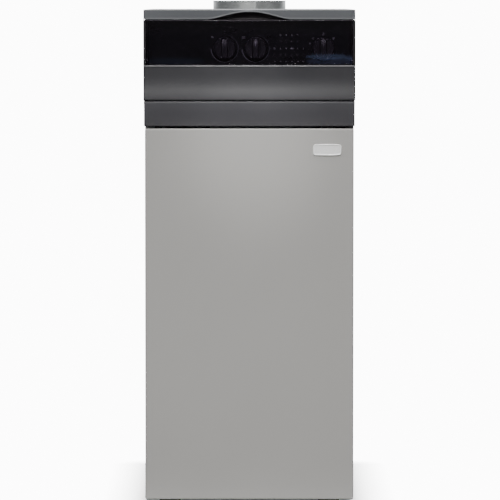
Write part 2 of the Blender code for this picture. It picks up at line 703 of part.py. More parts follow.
def band_outward(share):
    """How far the fascia band has swept forward, a share down its height: a curve that starts upright."""
    return FASCIA_SETBACK * share**2


def trim_inward(share):
    """How far the lower trim has swept back, a share down its height."""
    return TRIM_SWEEP * share**2


def make_base_tray(finish):
    """The folded tray that everything stands on, open in its middle for the burner's air."""
    tray = box(
        "base_tray", (-FRAME_HALF, FRAME_HALF), (TRAY_FRONT_Y, TRAY_REAR_Y), (TRAY_BOTTOM_Z, TRAY_TOP_Z)
    )
    inner_x = FRAME_HALF - FRAME_SHEET
    hollow = box(
        "hollow",
        (-inner_x, inner_x),
        (TRAY_FRONT_Y + FRAME_SHEET, TRAY_REAR_Y - FRAME_SHEET),
        (TRAY_PLATE_Z, TRAY_TOP_Z + OVERRUN),
    )
    air_half = STAND_INNER_X - AIR_OPENING_MARGIN
    air = box(
        "air",
        (-air_half, air_half),
        (TRAY_FRONT_Y + AIR_OPENING_END, TRAY_REAR_Y - AIR_OPENING_END),
        (TRAY_BOTTOM_Z - OVERRUN, TRAY_PLATE_Z + OVERRUN),
    )
    holes = [
        rod("hole", 2, place_xy, FOOT_STUD_RADIUS + 2 * FIT_GAP, TRAY_BOTTOM_Z - OVERRUN,
            TRAY_PLATE_Z + OVERRUN, PLAIN_STEPS)
        for place_xy in foot_places().values()
    ]
    cut(tray, hollow, air, *holes)
    place(tray, finish)


def foot_places():
    """Each foot's name and its place on the floor."""
    x = FRAME_HALF - FOOT_INSET_X
    front, rear = TRAY_FRONT_Y + FOOT_INSET_Y, TRAY_REAR_Y - FOOT_INSET_Y
    return {
        "foot_front_left": (-x, front),
        "foot_front_right": (x, front),
        "foot_rear_left": (-x, rear),
        "foot_rear_right": (x, rear),
    }


def make_feet(finish):
    """Four screwed feet: pad, nut and stud turned in one."""
    nut_top = TRAY_BOTTOM_Z - FIT_GAP
    profile = [
        (0.0, 0.0),
        (FOOT_RADIUS, 0.0),
        (FOOT_RADIUS, FOOT_PAD_HEIGHT),
        (FOOT_SHOULDER_RADIUS, FOOT_SHOULDER_HEIGHT),
        (FOOT_NUT_RADIUS, FOOT_SHOULDER_HEIGHT),
        (FOOT_NUT_RADIUS, nut_top),
        (FOOT_STUD_RADIUS, nut_top),
        (FOOT_STUD_RADIUS, nut_top + FOOT_STUD_LENGTH),
        (0.0, nut_top + FOOT_STUD_LENGTH),
    ]
    for name, centre in foot_places().items():
        place(turned(name, profile, 2, centre, PLAIN_STEPS), finish)


def make_side_panels(finish):
    """Left and right casing sheets, each with a return at its rear and, beside the door, at its front."""
    outline = [
        (HALF_WIDTH, PANEL_FRONT_Y),
        (HALF_WIDTH, RETURN_REAR_Y),
        (HALF_WIDTH - REAR_RETURN, RETURN_REAR_Y),
        (HALF_WIDTH - REAR_RETURN, RETURN_REAR_Y - SHEET),
        (PANEL_INNER_X, RETURN_REAR_Y - SHEET),
        (PANEL_INNER_X, PANEL_FRONT_Y + SHEET),
        (HALF_WIDTH - FRONT_RETURN, PANEL_FRONT_Y + SHEET),
        (HALF_WIDTH - FRONT_RETURN, PANEL_FRONT_Y),
    ]
    under_bracket = BRACKET_TOP_Z - BRACKET_SHEET - FIT_GAP
    under_crossbar = CROSSBAR_BOTTOM_Z - FIT_GAP
    for name, side, return_top_z in (
        ("left_side_panel", -1, under_bracket),
        ("right_side_panel", 1, under_crossbar),
    ):
        panel = prism(name, [(side * x, y) for x, y in outline], 2, TRAY_BOTTOM_Z, PANEL_TOP_Z)
        reach = sorted((side * (HALF_WIDTH - FRONT_RETURN - OVERRUN), side * PANEL_INNER_X))
        notch = box(
            "notch",
            reach,
            (PANEL_FRONT_Y - OVERRUN, PANEL_FRONT_Y + SHEET + OVERRUN),
            (return_top_z, PANEL_TOP_Z + OVERRUN),
        )
        place(cut(panel, notch), finish)


def relief_window():
    """The height limits of the draught diverter's relief opening."""
    low = DIVERTER_Z + RELIEF_MARGIN
    return low, low + RELIEF_HEIGHT


def make_rear_panel(finish):
    """The rear sheet, with holes for the pipes and the gland and slots where the diverter breathes."""
    half = HALF_WIDTH - REAR_PANEL_INSET
    panel = box("rear_panel", (-half, half), (REAR_Y - SHEET, REAR_Y), (TRAY_BOTTOM_Z, PANEL_TOP_Z))
    through = (REAR_Y - SHEET - OVERRUN, REAR_Y + OVERRUN)
    bores = [
        ((PORT_X, PORT_TOP_Z), WATER_PIPE_RADIUS + PANEL_HOLE_PLAY),
        ((PORT_X, PORT_BOTTOM_Z), WATER_PIPE_RADIUS + PANEL_HOLE_PLAY),
        ((0.0, VALVE_MIDDLE_Z), GAS_PIPE_RADIUS + PANEL_HOLE_PLAY),
        ((GLAND_X, GLAND_Z), GLAND_RADIUS + GLAND_HOLE_PLAY),
    ]
    cutters = [rod("bore", 1, centre, radius, *through) for centre, radius in bores]
    low, high = relief_window()
    pitch = (high - low) / RELIEF_SLOT_COUNT
    slot_half = DIVERTER_HALF - RELIEF_MARGIN
    for k in range(RELIEF_SLOT_COUNT):
        middle = low + pitch * (k + 0.5)
        cutters.append(
            box("slot", (-slot_half, slot_half), through,
                (middle - RELIEF_SLOT_HEIGHT / 2, middle + RELIEF_SLOT_HEIGHT / 2))
        )
    place(cut(panel, *cutters), finish)


def arch_outline():
    """The finger arch in the cover's front lip: a raised cosine, filled out a little."""
    points = []
    for k in range(FINGER_ARCH_POINTS + 1):
        across = -1 + 2 * k / FINGER_ARCH_POINTS
        rise = (0.5 + 0.5 * math.cos(math.pi * across)) ** FINGER_ARCH_FULLNESS
        points.append((across * FINGER_ARCH_WIDTH / 2, COVER_BOTTOM_Z + FINGER_ARCH_HEIGHT * rise))
    points[0] = (points[0][0], COVER_BOTTOM_Z - OVERRUN)
    points[-1] = (points[-1][0], COVER_BOTTOM_Z - OVERRUN)
    return points


def make_top_cover(finish):
    """The pressed top cover: rounded top and corners, a lip all round, a finger arch and the flue hole."""

    def pressed(name, inset, low, top, radius):
        def rounded(a, b):
            at_top = level(a, b, 2) and abs(a[2] - top) < FIT_GAP
            return at_top or runs_along(a, b, 2)

        return rounded_box(
            name,
            (-COVER_HALF + inset, COVER_HALF - inset),
            (COVER_FRONT_Y + inset, COVER_REAR_Y - inset),
            (low, top),
            radius,
            rounded,
        )

    cover = pressed("top_cover", 0.0, COVER_BOTTOM_Z, CASING_HEIGHT, COVER_RADIUS)
    hollow = pressed(
        "hollow", COVER_SHEET, COVER_BOTTOM_Z - OVERRUN, COVER_UNDERSIDE_Z, COVER_RADIUS - COVER_SHEET
    )
    arch = prism("arch", arch_outline(), 1, COVER_FRONT_Y - OVERRUN, COVER_FRONT_Y + COVER_SHEET + OVERRUN)
    flue = rod(
        "flue", 2, (0.0, FLUE_Y), FLUE_RADIUS + FLUE_COVER_GAP,
        COVER_UNDERSIDE_Z - OVERRUN, CASING_HEIGHT + OVERRUN, FINE_STEPS,
    )
    place(cut(cover, hollow, arch, flue), finish)


def make_front_crossbar(finish):
    """The channel across the front that carries the control box, the trim and the upper door hinge."""
    web, back = CROSSBAR_FRONT_Y + FRAME_SHEET, CROSSBAR_REAR_Y
    outline = [
        (CROSSBAR_FRONT_Y, CROSSBAR_BOTTOM_Z),
        (back, CROSSBAR_BOTTOM_Z),
        (back, CROSSBAR_BOTTOM_Z + FRAME_SHEET),
        (web, CROSSBAR_BOTTOM_Z + FRAME_SHEET),
        (web, CROSSBAR_TOP_Z - FRAME_SHEET),
        (back, CROSSBAR_TOP_Z - FRAME_SHEET),
        (back, CROSSBAR_TOP_Z),
        (CROSSBAR_FRONT_Y, CROSSBAR_TOP_Z),
    ]
    place(prism("front_crossbar", outline, 0, -FRAME_HALF, FRAME_HALF), finish)


def band_front(thickness):
    """The fascia band's curve from top to bottom as (y, z), set back by a thickness."""
    points = []
    for k in range(BAND_CURVE_POINTS + 1):
        share = k / BAND_CURVE_POINTS
        y = FASCIA_FRONT_Y - band_outward(share) + thickness
        points.append((y, LEDGE_TOP_Z + (BAND_BOTTOM_Z - LEDGE_TOP_Z) * share))
    return points


def make_control_fascia(finish):
    """The moulded fascia: two cheeks, the recess behind the flap, and the swept band under it."""
    ledge_bottom = LEDGE_TOP_Z - PLASTIC
    rear_of_band = CHEEK_REAR_Y
    front = band_front(0.0)
    back = band_front(BAND_THICKNESS)
    lip = [
        (FRONT_Y + LIP_REAR_DEPTH, LEDGE_TOP_Z - FIT_GAP),
        (FRONT_Y + LIP_REAR_DEPTH, LIP_TOP_Z),
        (FRONT_Y + LIP_FRONT_DEPTH + FIT_GAP, LIP_TOP_Z),
        (FRONT_Y + LIP_FRONT_DEPTH, LIP_TOP_Z - FIT_GAP),
    ]
    body = prism("control_fascia", lip + front + back[::-1], 0, -FASCIA_HALF, FASCIA_HALF)
    ledge = box(
        "ledge", (-FRAME_HALF, FRAME_HALF),
        (FASCIA_FRONT_Y + BAND_THICKNESS / 2, PLATE_REAR_Y), (ledge_bottom, LEDGE_TOP_Z),
    )
    return_front = FRONT_Y + BAND_THICKNESS / 2
    bottom = box(
        "bottom", (-HALF_WIDTH, HALF_WIDTH), (return_front, rear_of_band),
        (BAND_BOTTOM_Z, BAND_BOTTOM_Z + PLASTIC),
    )
    ceiling = box(
        "ceiling", (-FRAME_HALF, FRAME_HALF), (FLAP_REAR_Y, PLATE_REAR_Y),
        (CEILING_Z, CEILING_TOP_Z),
    )
    join(body, ledge, bottom)
    cheek_top = COVER_BOTTOM_Z - 2 * FIT_GAP
    inner_curve = [(y + BAND_THICKNESS / 2, z) for y, z in front]
    cheek_outline = (
        [(FASCIA_FRONT_Y, cheek_top)] + [(FASCIA_FRONT_Y, LEDGE_TOP_Z)] + inner_curve
        + [(CHEEK_REAR_Y, BAND_BOTTOM_Z), (CHEEK_REAR_Y, cheek_top)]
    )
    for side in (-1, 1):
        limits = sorted((side * CHEEK_INNER_X, side * FASCIA_HALF))
        cheek = prism("cheek", cheek_outline, 0, *limits)
        sleeve = box(
            "sleeve", sorted((side * SLEEVE_INNER_X, side * FASCIA_HALF)),
            (CHEEK_REAR_Y - OVERRUN / 2, SLEEVE_REAR_Y), (BAND_BOTTOM_Z, cheek_top),
        )
        step = box(
            "step", sorted((side * RECESS_HALF, side * (CHEEK_INNER_X + FLAP_SIDE_GAP))),
            (CHEEK_REAR_Y - FIT_GAP - SIDE_STEP_THICKNESS, CHEEK_REAR_Y - FIT_GAP),
            (ledge_bottom, cheek_top),
        )
        wall = box(
            "wall", sorted((side * RECESS_HALF, side * FRAME_HALF)),
            (CHEEK_REAR_Y - SIDE_STEP_THICKNESS, PLATE_REAR_Y - FIT_GAP),
            (ledge_bottom + FIT_GAP, CEILING_Z + PLASTIC / 2),
        )
        pin = rod(
            "pin", 0, (FLAP_PIVOT_Y, FLAP_PIVOT_Z), FLAP_PIN_RADIUS,
            *sorted((side * (CHEEK_INNER_X - FLAP_EAR_WIDTH - FLAP_SIDE_GAP),
                     side * (CHEEK_INNER_X + FLAP_SIDE_GAP))), PLAIN_STEPS,
        )
        join(body, cheek, sleeve, step, wall, pin)
    join(body, ceiling)
    place(body, finish)


def make_lower_trim(finish):
    """The swept trim strip between the fascia and the door."""
    front, back = [], []
    for k in range(TRIM_CURVE_POINTS + 1):
        share = k / TRIM_CURVE_POINTS
        z = TRIM_TOP_Z + (TRIM_BOTTOM_Z - TRIM_TOP_Z) * share
        front.append((FRONT_Y + trim_inward(share), z))
    inner_top, inner_bottom = TRIM_TOP_Z - PLASTIC, TRIM_BOTTOM_Z + PLASTIC
    for y, z in front[1:-1]:
        back.append((y + PLASTIC, min(max(z, inner_bottom), inner_top)))
    outline = (
        front + [(CHEEK_REAR_Y, TRIM_BOTTOM_Z), (CHEEK_REAR_Y, inner_bottom)] + back[::-1]
        + [(CHEEK_REAR_Y, inner_top), (CHEEK_REAR_Y, TRIM_TOP_Z)]
    )
    trim = prism("lower_trim", outline, 0, -TRIM_HALF, TRIM_HALF)
    end_rear_y = CHEEK_REAR_Y - FIT_GAP
    end_outline = [(y + PLASTIC / 2, z) for y, z in front[1:-1]]
    end_outline += [(end_rear_y, TRIM_BOTTOM_Z + FIT_GAP), (end_rear_y, TRIM_TOP_Z - FIT_GAP)]
    for side in (-1, 1):
        end = prism("end", end_outline, 0, *sorted((side * TRIM_END_INNER_X, side * (TRIM_HALF - FIT_GAP))))
        sleeve = box(
            "sleeve", sorted((side * SLEEVE_INNER_X, side * TRIM_HALF)),
            (CHEEK_REAR_Y - OVERRUN, SLEEVE_REAR_Y), (TRIM_BOTTOM_Z, TRIM_TOP_Z),
        )
        join(trim, end, sleeve)
    place(trim, finish)


def make_control_flap(finish, parent):
    """The smoked flap: a pane with a finger grip behind its top edge and a pivot ear at each end."""
    half = CHEEK_INNER_X - FLAP_SIDE_GAP

    def rounded(a, b):
        return abs(a[1] - FLAP_FRONT_Y) < FIT_GAP and level(a, b, 1)

    flap = rounded_box(
        "control_flap", (-half, half), (FLAP_FRONT_Y, FLAP_REAR_Y), (FLAP_BOTTOM_Z, FLAP_TOP_Z),
        FLAP_EDGE_RADIUS, rounded, 2,
    )
    grip = box(
        "grip", (-FLAP_GRIP_WIDTH / 2, FLAP_GRIP_WIDTH / 2),
        (FLAP_REAR_Y - FIT_GAP, FLAP_REAR_Y + FLAP_GRIP_DEPTH),
        (FLAP_TOP_Z - FLAP_GRIP_HEIGHT, FLAP_TOP_Z - FIT_GAP),
    )
    join(flap, grip)
    for side in (-1, 1):
        ear = box(
            "ear", sorted((side * (half - FLAP_EAR_WIDTH), side * (half - FIT_GAP))),
            (FLAP_REAR_Y - FIT_GAP, FLAP_REAR_Y + FLAP_EAR_DEPTH),
            (FLAP_PIVOT_Z - FLAP_EAR_HEIGHT / 2 + FIT_GAP, FLAP_PIVOT_Z + FLAP_EAR_HEIGHT / 2),
        )
        hole = rod(
            "hole", 0, (FLAP_PIVOT_Y, FLAP_PIVOT_Z), FLAP_PIN_RADIUS + FIT_GAP,
            *sorted((side * (half - FLAP_EAR_WIDTH - OVERRUN), side * (half + OVERRUN))), PLAIN_STEPS,
        )
        join(flap, ear)
        cut(flap, hole)
    place(flap, finish, parent, Vector((0.0, FLAP_PIVOT_Y, FLAP_PIVOT_Z)))


def lamp_places():
    """The (x, z) of each lamp: a short row above the knobs' centre line and a full row under it."""
    upper = [
        (LAMP_FIRST_X + LAMP_PITCH * k, KNOB_Z + LAMP_UPPER_RISE)
        for k in LAMP_UPPER_PLACES
    ]
    lower = [(LAMP_FIRST_X + LAMP_PITCH * k, KNOB_Z - LAMP_LOWER_DROP) for k in range(LAMP_ROW_COUNT)]
    return upper + lower


def make_control_plate(finish):
    """The black plate that the knobs and lamps come through."""
    plate = box(
        "control_plate", (-PLATE_HALF, PLATE_HALF), (PLATE_FRONT_Y, PLATE_REAR_Y),
        (PLATE_BOTTOM_Z, PLATE_TOP_Z),
    )
    through = (PLATE_FRONT_Y - OVERRUN, PLATE_REAR_Y + OVERRUN)
    cutters = [
        rod("spindle_hole", 1, (x, KNOB_Z), SPINDLE_HOLE_RADIUS, *through, PLAIN_STEPS)
        for x in (HOT_WATER_KNOB_X, HEATING_KNOB_X, SELECTOR_KNOB_X)
    ]
    cutters += [
        rod("lamp_hole", 1, place_xz, LAMP_RADIUS + LAMP_PLAY, *through, LAMP_STEPS)
        for place_xz in lamp_places()
    ]
    place(cut(plate, *cutters), finish)


def make_light_guide(finish):
    """One clear moulding behind the plate with a stud in each lamp hole."""
    start = PLATE_REAR_Y + FIT_GAP
    guide = box(
        "lamp_light_guide",
        (LAMP_FIRST_X - GUIDE_MARGIN, LAMP_FIRST_X + LAMP_PITCH * (LAMP_ROW_COUNT - 1) + GUIDE_MARGIN),
        (start, start + GUIDE_THICKNESS),
        (KNOB_Z - LAMP_LOWER_DROP - GUIDE_MARGIN, KNOB_Z + LAMP_UPPER_RISE + GUIDE_MARGIN),
    )
    stud_y = (PLATE_FRONT_Y - LAMP_PROUD, start + GUIDE_THICKNESS / 2)
    studs = [rod("stud", 1, place_xz, LAMP_RADIUS, *stud_y, LAMP_STEPS) for place_xz in lamp_places()]
    place(join(guide, *studs), finish)


def knob_solid(name, x):
    """The knob's disc, grip bar and bore as one solid."""
    disc = turned(
        name,
        [
            (0.0, KNOB_FACE_Y),
            (KNOB_FACE_RADIUS, KNOB_FACE_Y),
            (KNOB_RADIUS - KNOB_DRAFT, KNOB_FACE_Y + KNOB_EDGE),
            (KNOB_RADIUS, KNOB_REAR_Y),
            (0.0, KNOB_REAR_Y),
        ],
        1,
        (x, KNOB_Z),
    )
    top_y = KNOB_FACE_Y - GRIP_RISE
    outline = [
        (x - GRIP_WIDTH / 2, KNOB_FACE_Y + GRIP_OVERLAP),
        (x + GRIP_WIDTH / 2, KNOB_FACE_Y + GRIP_OVERLAP),
        (x + GRIP_WIDTH / 2, KNOB_FACE_Y),
        (x + GRIP_TOP_WIDTH / 2, top_y),
        (x - GRIP_TOP_WIDTH / 2, top_y),
        (x - GRIP_WIDTH / 2, KNOB_FACE_Y),
    ]
    grip = prism("grip", outline, 2, KNOB_Z - GRIP_LENGTH / 2, KNOB_Z + GRIP_LENGTH / 2)
    bore_y = (SPINDLE_FRONT_Y - FIT_GAP, KNOB_REAR_Y + OVERRUN)
    bore = rod("bore", 1, (x, KNOB_Z), BORE_RADIUS, *bore_y, PLAIN_STEPS)
    return cut(join(disc, grip), bore)


def make_turning_control(prefix, control, x, body_radius, finishes):
    """A knob on its spindle, and the fixed potentiometer or switch that the spindle turns in."""
    empty = joint_empty(f"{prefix}_axis", x, KNOB_REAR_Y, KNOB_Z)
    axis_point = Vector((x, KNOB_REAR_Y, KNOB_Z))
    place(knob_solid(f"{prefix}_knob", x), finishes["knob"], empty, axis_point)
    spindle = rod(
        f"{prefix}_spindle", 1, (x, KNOB_Z), SPINDLE_RADIUS, SPINDLE_FRONT_Y, SPINDLE_REAR_Y, PLAIN_STEPS
    )
    place(spindle, finishes["steel"], empty, axis_point)
    bore_end = POT_FRONT_Y + POT_BORE_DEPTH
    profile = [
        (0.0, bore_end),
        (BORE_RADIUS, bore_end),
        (BORE_RADIUS, POT_FRONT_Y),
        (body_radius, POT_FRONT_Y),
        (body_radius, POT_REAR_Y),
        (0.0, POT_REAR_Y),
    ]
    place(turned(f"{prefix}_{control}", profile, 1, (x, KNOB_Z), PLAIN_STEPS), finishes["housing"])


def board_posts():
    """The (x, z) of the four posts that hold the control board."""
    x = BOX_HALF - BOARD_MARGIN - BOARD_POST_INSET
    low = BOX_BOTTOM_Z + BOARD_MARGIN + BOARD_POST_INSET
    high = BOX_TOP_Z - BOARD_MARGIN - BOARD_POST_INSET
    return [(sx, z) for sx in (-x, x) for z in (low, high)]


def make_control_box(finishes):
    """The box behind the plate, open at its front, with the board on its posts."""
    shell = box("control_box", (-BOX_HALF, BOX_HALF), (BOX_FRONT_Y, BOX_REAR_Y), (BOX_BOTTOM_Z, BOX_TOP_Z))
    hollow = box(
        "hollow",
        (-BOX_HALF + FRAME_SHEET, BOX_HALF - FRAME_SHEET),
        (BOX_FRONT_Y - OVERRUN, BOX_REAR_Y - FRAME_SHEET),
        (BOX_BOTTOM_Z + FRAME_SHEET, BOX_TOP_Z - FRAME_SHEET),
    )
    lead_holes = [
        rod("lead_hole", 2, (x, LEAD_Y), LEAD_RADIUS + LEAD_HOLE_PLAY,
            BOX_BOTTOM_Z - OVERRUN, BOX_BOTTOM_Z + FRAME_SHEET + OVERRUN, PLAIN_STEPS)
        for x in (VALVE_LEAD_X, IGNITION_LEAD_X)
    ]
    post_y = (BOARD_REAR_Y + FIT_GAP, BOX_REAR_Y - FRAME_SHEET / 2)
    posts = [rod("post", 1, centre, BOARD_POST_RADIUS, *post_y, LAMP_STEPS) for centre in board_posts()]
    cut(shell, hollow, *lead_holes)
    place(join(shell, *posts), finishes["zinc"])
    board = box(
        "control_board",
        (-BOX_HALF + BOARD_MARGIN, BOX_HALF - BOARD_MARGIN),
        (BOARD_FRONT_Y, BOARD_REAR_Y),
        (BOX_BOTTOM_Z + BOARD_MARGIN, BOX_TOP_Z - BOARD_MARGIN),
    )
    middle_z = (BOX_BOTTOM_Z + BOX_TOP_Z) / 2
    transformer = box(
        "transformer",
        (TRANSFORMER_X - TRANSFORMER_WIDTH / 2, TRANSFORMER_X + TRANSFORMER_WIDTH / 2),
        (BOARD_REAR_Y - BOARD_THICKNESS / 2, BOARD_REAR_Y + TRANSFORMER_DEPTH),
        (middle_z - TRANSFORMER_HEIGHT / 2, middle_z + TRANSFORMER_HEIGHT / 2),
    )
    place(join(board, transformer), finishes["board"])


def make_front_door(finishes):
    """The door pan with rounded front edges and a rear lip, its insulation and its bare badge plate."""
    empty = joint_empty("door_axis", DOOR_PIVOT_X, DOOR_PIVOT_Y, DOOR_MIDDLE_Z)
    pivot = Vector((DOOR_PIVOT_X, DOOR_PIVOT_Y, DOOR_MIDDLE_Z))

    def rounded(a, b):
        at_rear = level(a, b, 1) and abs(a[1] - DOOR_REAR_Y) < FIT_GAP
        return not at_rear

    door = rounded_box(
        "front_door", (-DOOR_HALF, DOOR_HALF), (DOOR_FRONT_Y, DOOR_REAR_Y), (DOOR_BOTTOM_Z, DOOR_TOP_Z),
        DOOR_EDGE_RADIUS, rounded,
    )
    inner_x, inner_low, inner_high = DOOR_HALF - SHEET, DOOR_BOTTOM_Z + SHEET, DOOR_TOP_Z - SHEET
    corner = DOOR_EDGE_RADIUS - SHEET

    def inner_rounded(a, b):
        at_rear = level(a, b, 1) and abs(a[1] - DOOR_REAR_Y + SHEET) < FIT_GAP
        return not at_rear

    hollow = rounded_box(
        "hollow", (-inner_x, inner_x), (DOOR_FRONT_Y + SHEET, DOOR_REAR_Y - SHEET), (inner_low, inner_high),
        corner, inner_rounded,
    )
    opening_x = inner_x - DOOR_REAR_LIP
    opening = box(
        "opening", (-opening_x, opening_x), (DOOR_REAR_Y - 2 * SHEET, DOOR_REAR_Y + OVERRUN),
        (inner_low + DOOR_REAR_LIP, inner_high - DOOR_REAR_LIP),
    )
    pin_hole = rod(
        "pin_hole", 2, (DOOR_PIVOT_X, DOOR_PIVOT_Y), DOOR_PIN_RADIUS + FIT_GAP,
        DOOR_BOTTOM_Z - OVERRUN, DOOR_TOP_Z + OVERRUN, PLAIN_STEPS,
    )
    place(cut(door, hollow, opening, pin_hole), finishes["door_paint"], empty, pivot)
    pad_start = DOOR_FRONT_Y + SHEET + FIT_GAP
    pad_x = inner_x - INSULATION_MARGIN
    pad = box(
        "door_insulation", (-pad_x, pad_x), (pad_start, pad_start + INSULATION_THICKNESS),
        (inner_low + INSULATION_MARGIN, inner_high - INSULATION_MARGIN),
    )
    place(pad, finishes["foil"], empty, pivot)
    badge_top = DOOR_TOP_Z - BADGE_TOP_MARGIN
    badge_rear = DOOR_FRONT_Y - FIT_GAP

    def badge_rounded(a, b):
        return runs_along(a, b, 1)

    badge = rounded_box(
        "door_badge", (BADGE_CENTRE_X - BADGE_WIDTH / 2, BADGE_CENTRE_X + BADGE_WIDTH / 2),
        (badge_rear - BADGE_THICKNESS, badge_rear), (badge_top - BADGE_HEIGHT, badge_top),
        BADGE_CORNER, badge_rounded, 4,
    )
    place(badge, finishes["badge"], empty, pivot)


def make_hinge_brackets(finish):
    """The two fixed brackets whose pins the door turns on."""
    bracket_x = (-FRAME_HALF, BRACKET_WIDTH - FRAME_HALF)
    front, back = DOOR_FRONT_Y + BRACKET_FRONT_DEPTH, TRAY_FRONT_Y + BRACKET_REACH
    upper_low = BRACKET_TOP_Z - BRACKET_SHEET
    upper = box("upper_hinge_bracket", bracket_x, (front, back), (upper_low, BRACKET_TOP_Z))
    upper_pin = rod(
        "pin", 2, (DOOR_PIVOT_X, DOOR_PIVOT_Y), DOOR_PIN_RADIUS, DOOR_TOP_Z - DOOR_PIN_HOLD,
        upper_low + BRACKET_SHEET / 2, PLAIN_STEPS,
    )
    place(join(upper, upper_pin), finish)
    lower_top = DOOR_BOTTOM_Z - BRACKET_DOOR_GAP
    foot_x = FRAME_HALF - FOOT_INSET_X + FOOT_RADIUS
    lower_x = (-FRAME_HALF, -foot_x - OVERRUN)
    lower = box("lower_hinge_bracket", lower_x, (front, back), (lower_top - BRACKET_SHEET, lower_top))
    pad_z = (lower_top - BRACKET_SHEET / 2, TRAY_BOTTOM_Z - FIT_GAP)
    pad = box("pad", lower_x, (TRAY_FRONT_Y, back), pad_z)
    lower_pin = rod(
        "pin", 2, (DOOR_PIVOT_X, DOOR_PIVOT_Y), DOOR_PIN_RADIUS, lower_top - BRACKET_SHEET / 2,
        DOOR_BOTTOM_Z + DOOR_PIN_HOLD, PLAIN_STEPS,
    )
    place(join(lower, pad, lower_pin), finish)


def make_magnet_catches(finish):
    """The two magnets that hold the door shut, one under the crossbar and one on the tray's front wall."""
    right = HALF_WIDTH - FRONT_RETURN - FIT_GAP
    limits_x = (right - CATCH_WIDTH, right)
    front = DOOR_REAR_Y + FIT_GAP
    top = CROSSBAR_BOTTOM_Z - FIT_GAP
    low = TRAY_BOTTOM_Z
    for name, y, z in (
        ("upper_magnet_catch", (front, front + CATCH_DEPTH), (top - CATCH_HEIGHT, top)),
        ("lower_magnet_catch", (front, TRAY_FRONT_Y - FIT_GAP), (low, low + CATCH_HEIGHT)),
    ):
        place(box(name, limits_x, y, z), finish)


def make_boiler_sections(finish):
    """The cast-iron sections: hollow blocks with flue fins between them, water bosses and tie-rod ears."""
    for k in range(SECTION_COUNT):
        start = SECTION_FRONT_Y + SECTION_PITCH * k
        end = start + SECTION_CORE
        first, last = k == 0, k == SECTION_COUNT - 1

        def rounded(a, b):
            return runs_along(a, b, 1)

        section = rounded_box(
            f"boiler_section_{k + 1}", (-SECTION_HALF, SECTION_HALF), (start, end),
            (SECTION_BOTTOM_Z, SECTION_TOP_Z),
            SECTION_CORNER, rounded, 2,
        )
        water = box(
            "water",
            (-SECTION_HALF + SECTION_WALL, SECTION_HALF - SECTION_WALL),
            (start + SECTION_WALL, end - SECTION_WALL),
            (SECTION_BOTTOM_Z + SECTION_WALL, SECTION_TOP_Z - SECTION_WALL),
        )
        joined = section_fins(start, end, first, last) + section_bosses(end, last)
        joined += section_ears(start, end, first, last)
        cut(join(section, *joined), water, *section_ports(start, end, first, last), *rod_holes(start, end))
        place(section, finish)


def section_fins(start, end, first, last):
    """Upright fins on the faces that look at a neighbouring section."""
    fins = []
    first_x = -FIN_PITCH * (FIN_COUNT - 1) / 2
    z = (SECTION_BOTTOM_Z + FIN_END_MARGIN, SECTION_TOP_Z - FIN_END_MARGIN)
    for k in range(FIN_COUNT):
        x = (first_x + FIN_PITCH * k - FIN_THICKNESS / 2, first_x + FIN_PITCH * k + FIN_THICKNESS / 2)
        if not first:
            fins.append(box("fin", x, (start - FIN_DEPTH, start + SECTION_WALL / 2), z))
        if not last:
            fins.append(box("fin", x, (end - SECTION_WALL / 2, end + FIN_DEPTH), z))
    return fins


def section_bosses(end, last):
    """Round water bosses that reach back to the next section."""
    if last:
        return []
    y = (end - SECTION_WALL / 2, end + SECTION_GAP - FIT_GAP)
    return [rod("boss", 1, (PORT_X, z), BOSS_RADIUS, *y, PLAIN_STEPS) for z in (PORT_TOP_Z, PORT_BOTTOM_Z)]


def section_ears(start, end, first, last):
    """Ears for the two tie rods, on the first and last sections only."""
    if first:
        y = (start + FIT_GAP, start + EAR_THICKNESS)
    elif last:
        y = (end - EAR_THICKNESS, end - FIT_GAP)
    else:
        return []
    z = (SECTION_MIDDLE_Z - EAR_HALF_HEIGHT, SECTION_MIDDLE_Z + EAR_HALF_HEIGHT)
    x = (SECTION_HALF - SECTION_WALL / 2, SECTION_HALF + EAR_REACH)
    return [box("ear", x, y, z), box("ear", mirrored(x), y, z)]


def section_ports(start, end, first, last):
    """Water ways through the walls that face a neighbour or a pipe."""
    ways = []
    for z in (PORT_TOP_Z, PORT_BOTTOM_Z):
        low = start + SECTION_WALL * 2 if first else start - OVERRUN
        high = end + OVERRUN if last else end + SECTION_GAP + OVERRUN
        ways.append(rod("way", 1, (PORT_X, z), PORT_RADIUS, low, high, PLAIN_STEPS))
    return ways


def rod_holes(start, end):
    """Clearance holes in the ears."""
    y = (start - OVERRUN, end + OVERRUN)
    radius = ROD_RADIUS + ROD_PLAY
    return [rod("rod_hole", 1, (x, SECTION_MIDDLE_Z), radius, *y, PLAIN_STEPS) for x in (-ROD_X, ROD_X)]


def make_tie_rods(finish):
    """The two rods that pull the sections together, with a nut at each end."""
    start, end = SECTION_FRONT_Y, SECTIONS_REAR_Y
    reach = ROD_NUT_LENGTH + ROD_TAIL
    for name, x in (("left_tie_rod", -ROD_X), ("right_tie_rod", ROD_X)):
        centre = (x, SECTION_MIDDLE_Z)
        bar = rod(name, 1, centre, ROD_RADIUS, start - reach, end + reach, PLAIN_STEPS)
        front_nut = rod("nut", 1, centre, ROD_NUT_RADIUS, start - ROD_NUT_LENGTH, start - FIT_GAP, HEX_STEPS)
        rear_nut = rod("nut", 1, centre, ROD_NUT_RADIUS, end + FIT_GAP, end + ROD_NUT_LENGTH, HEX_STEPS)
        place(join(bar, front_nut, rear_nut), finish)


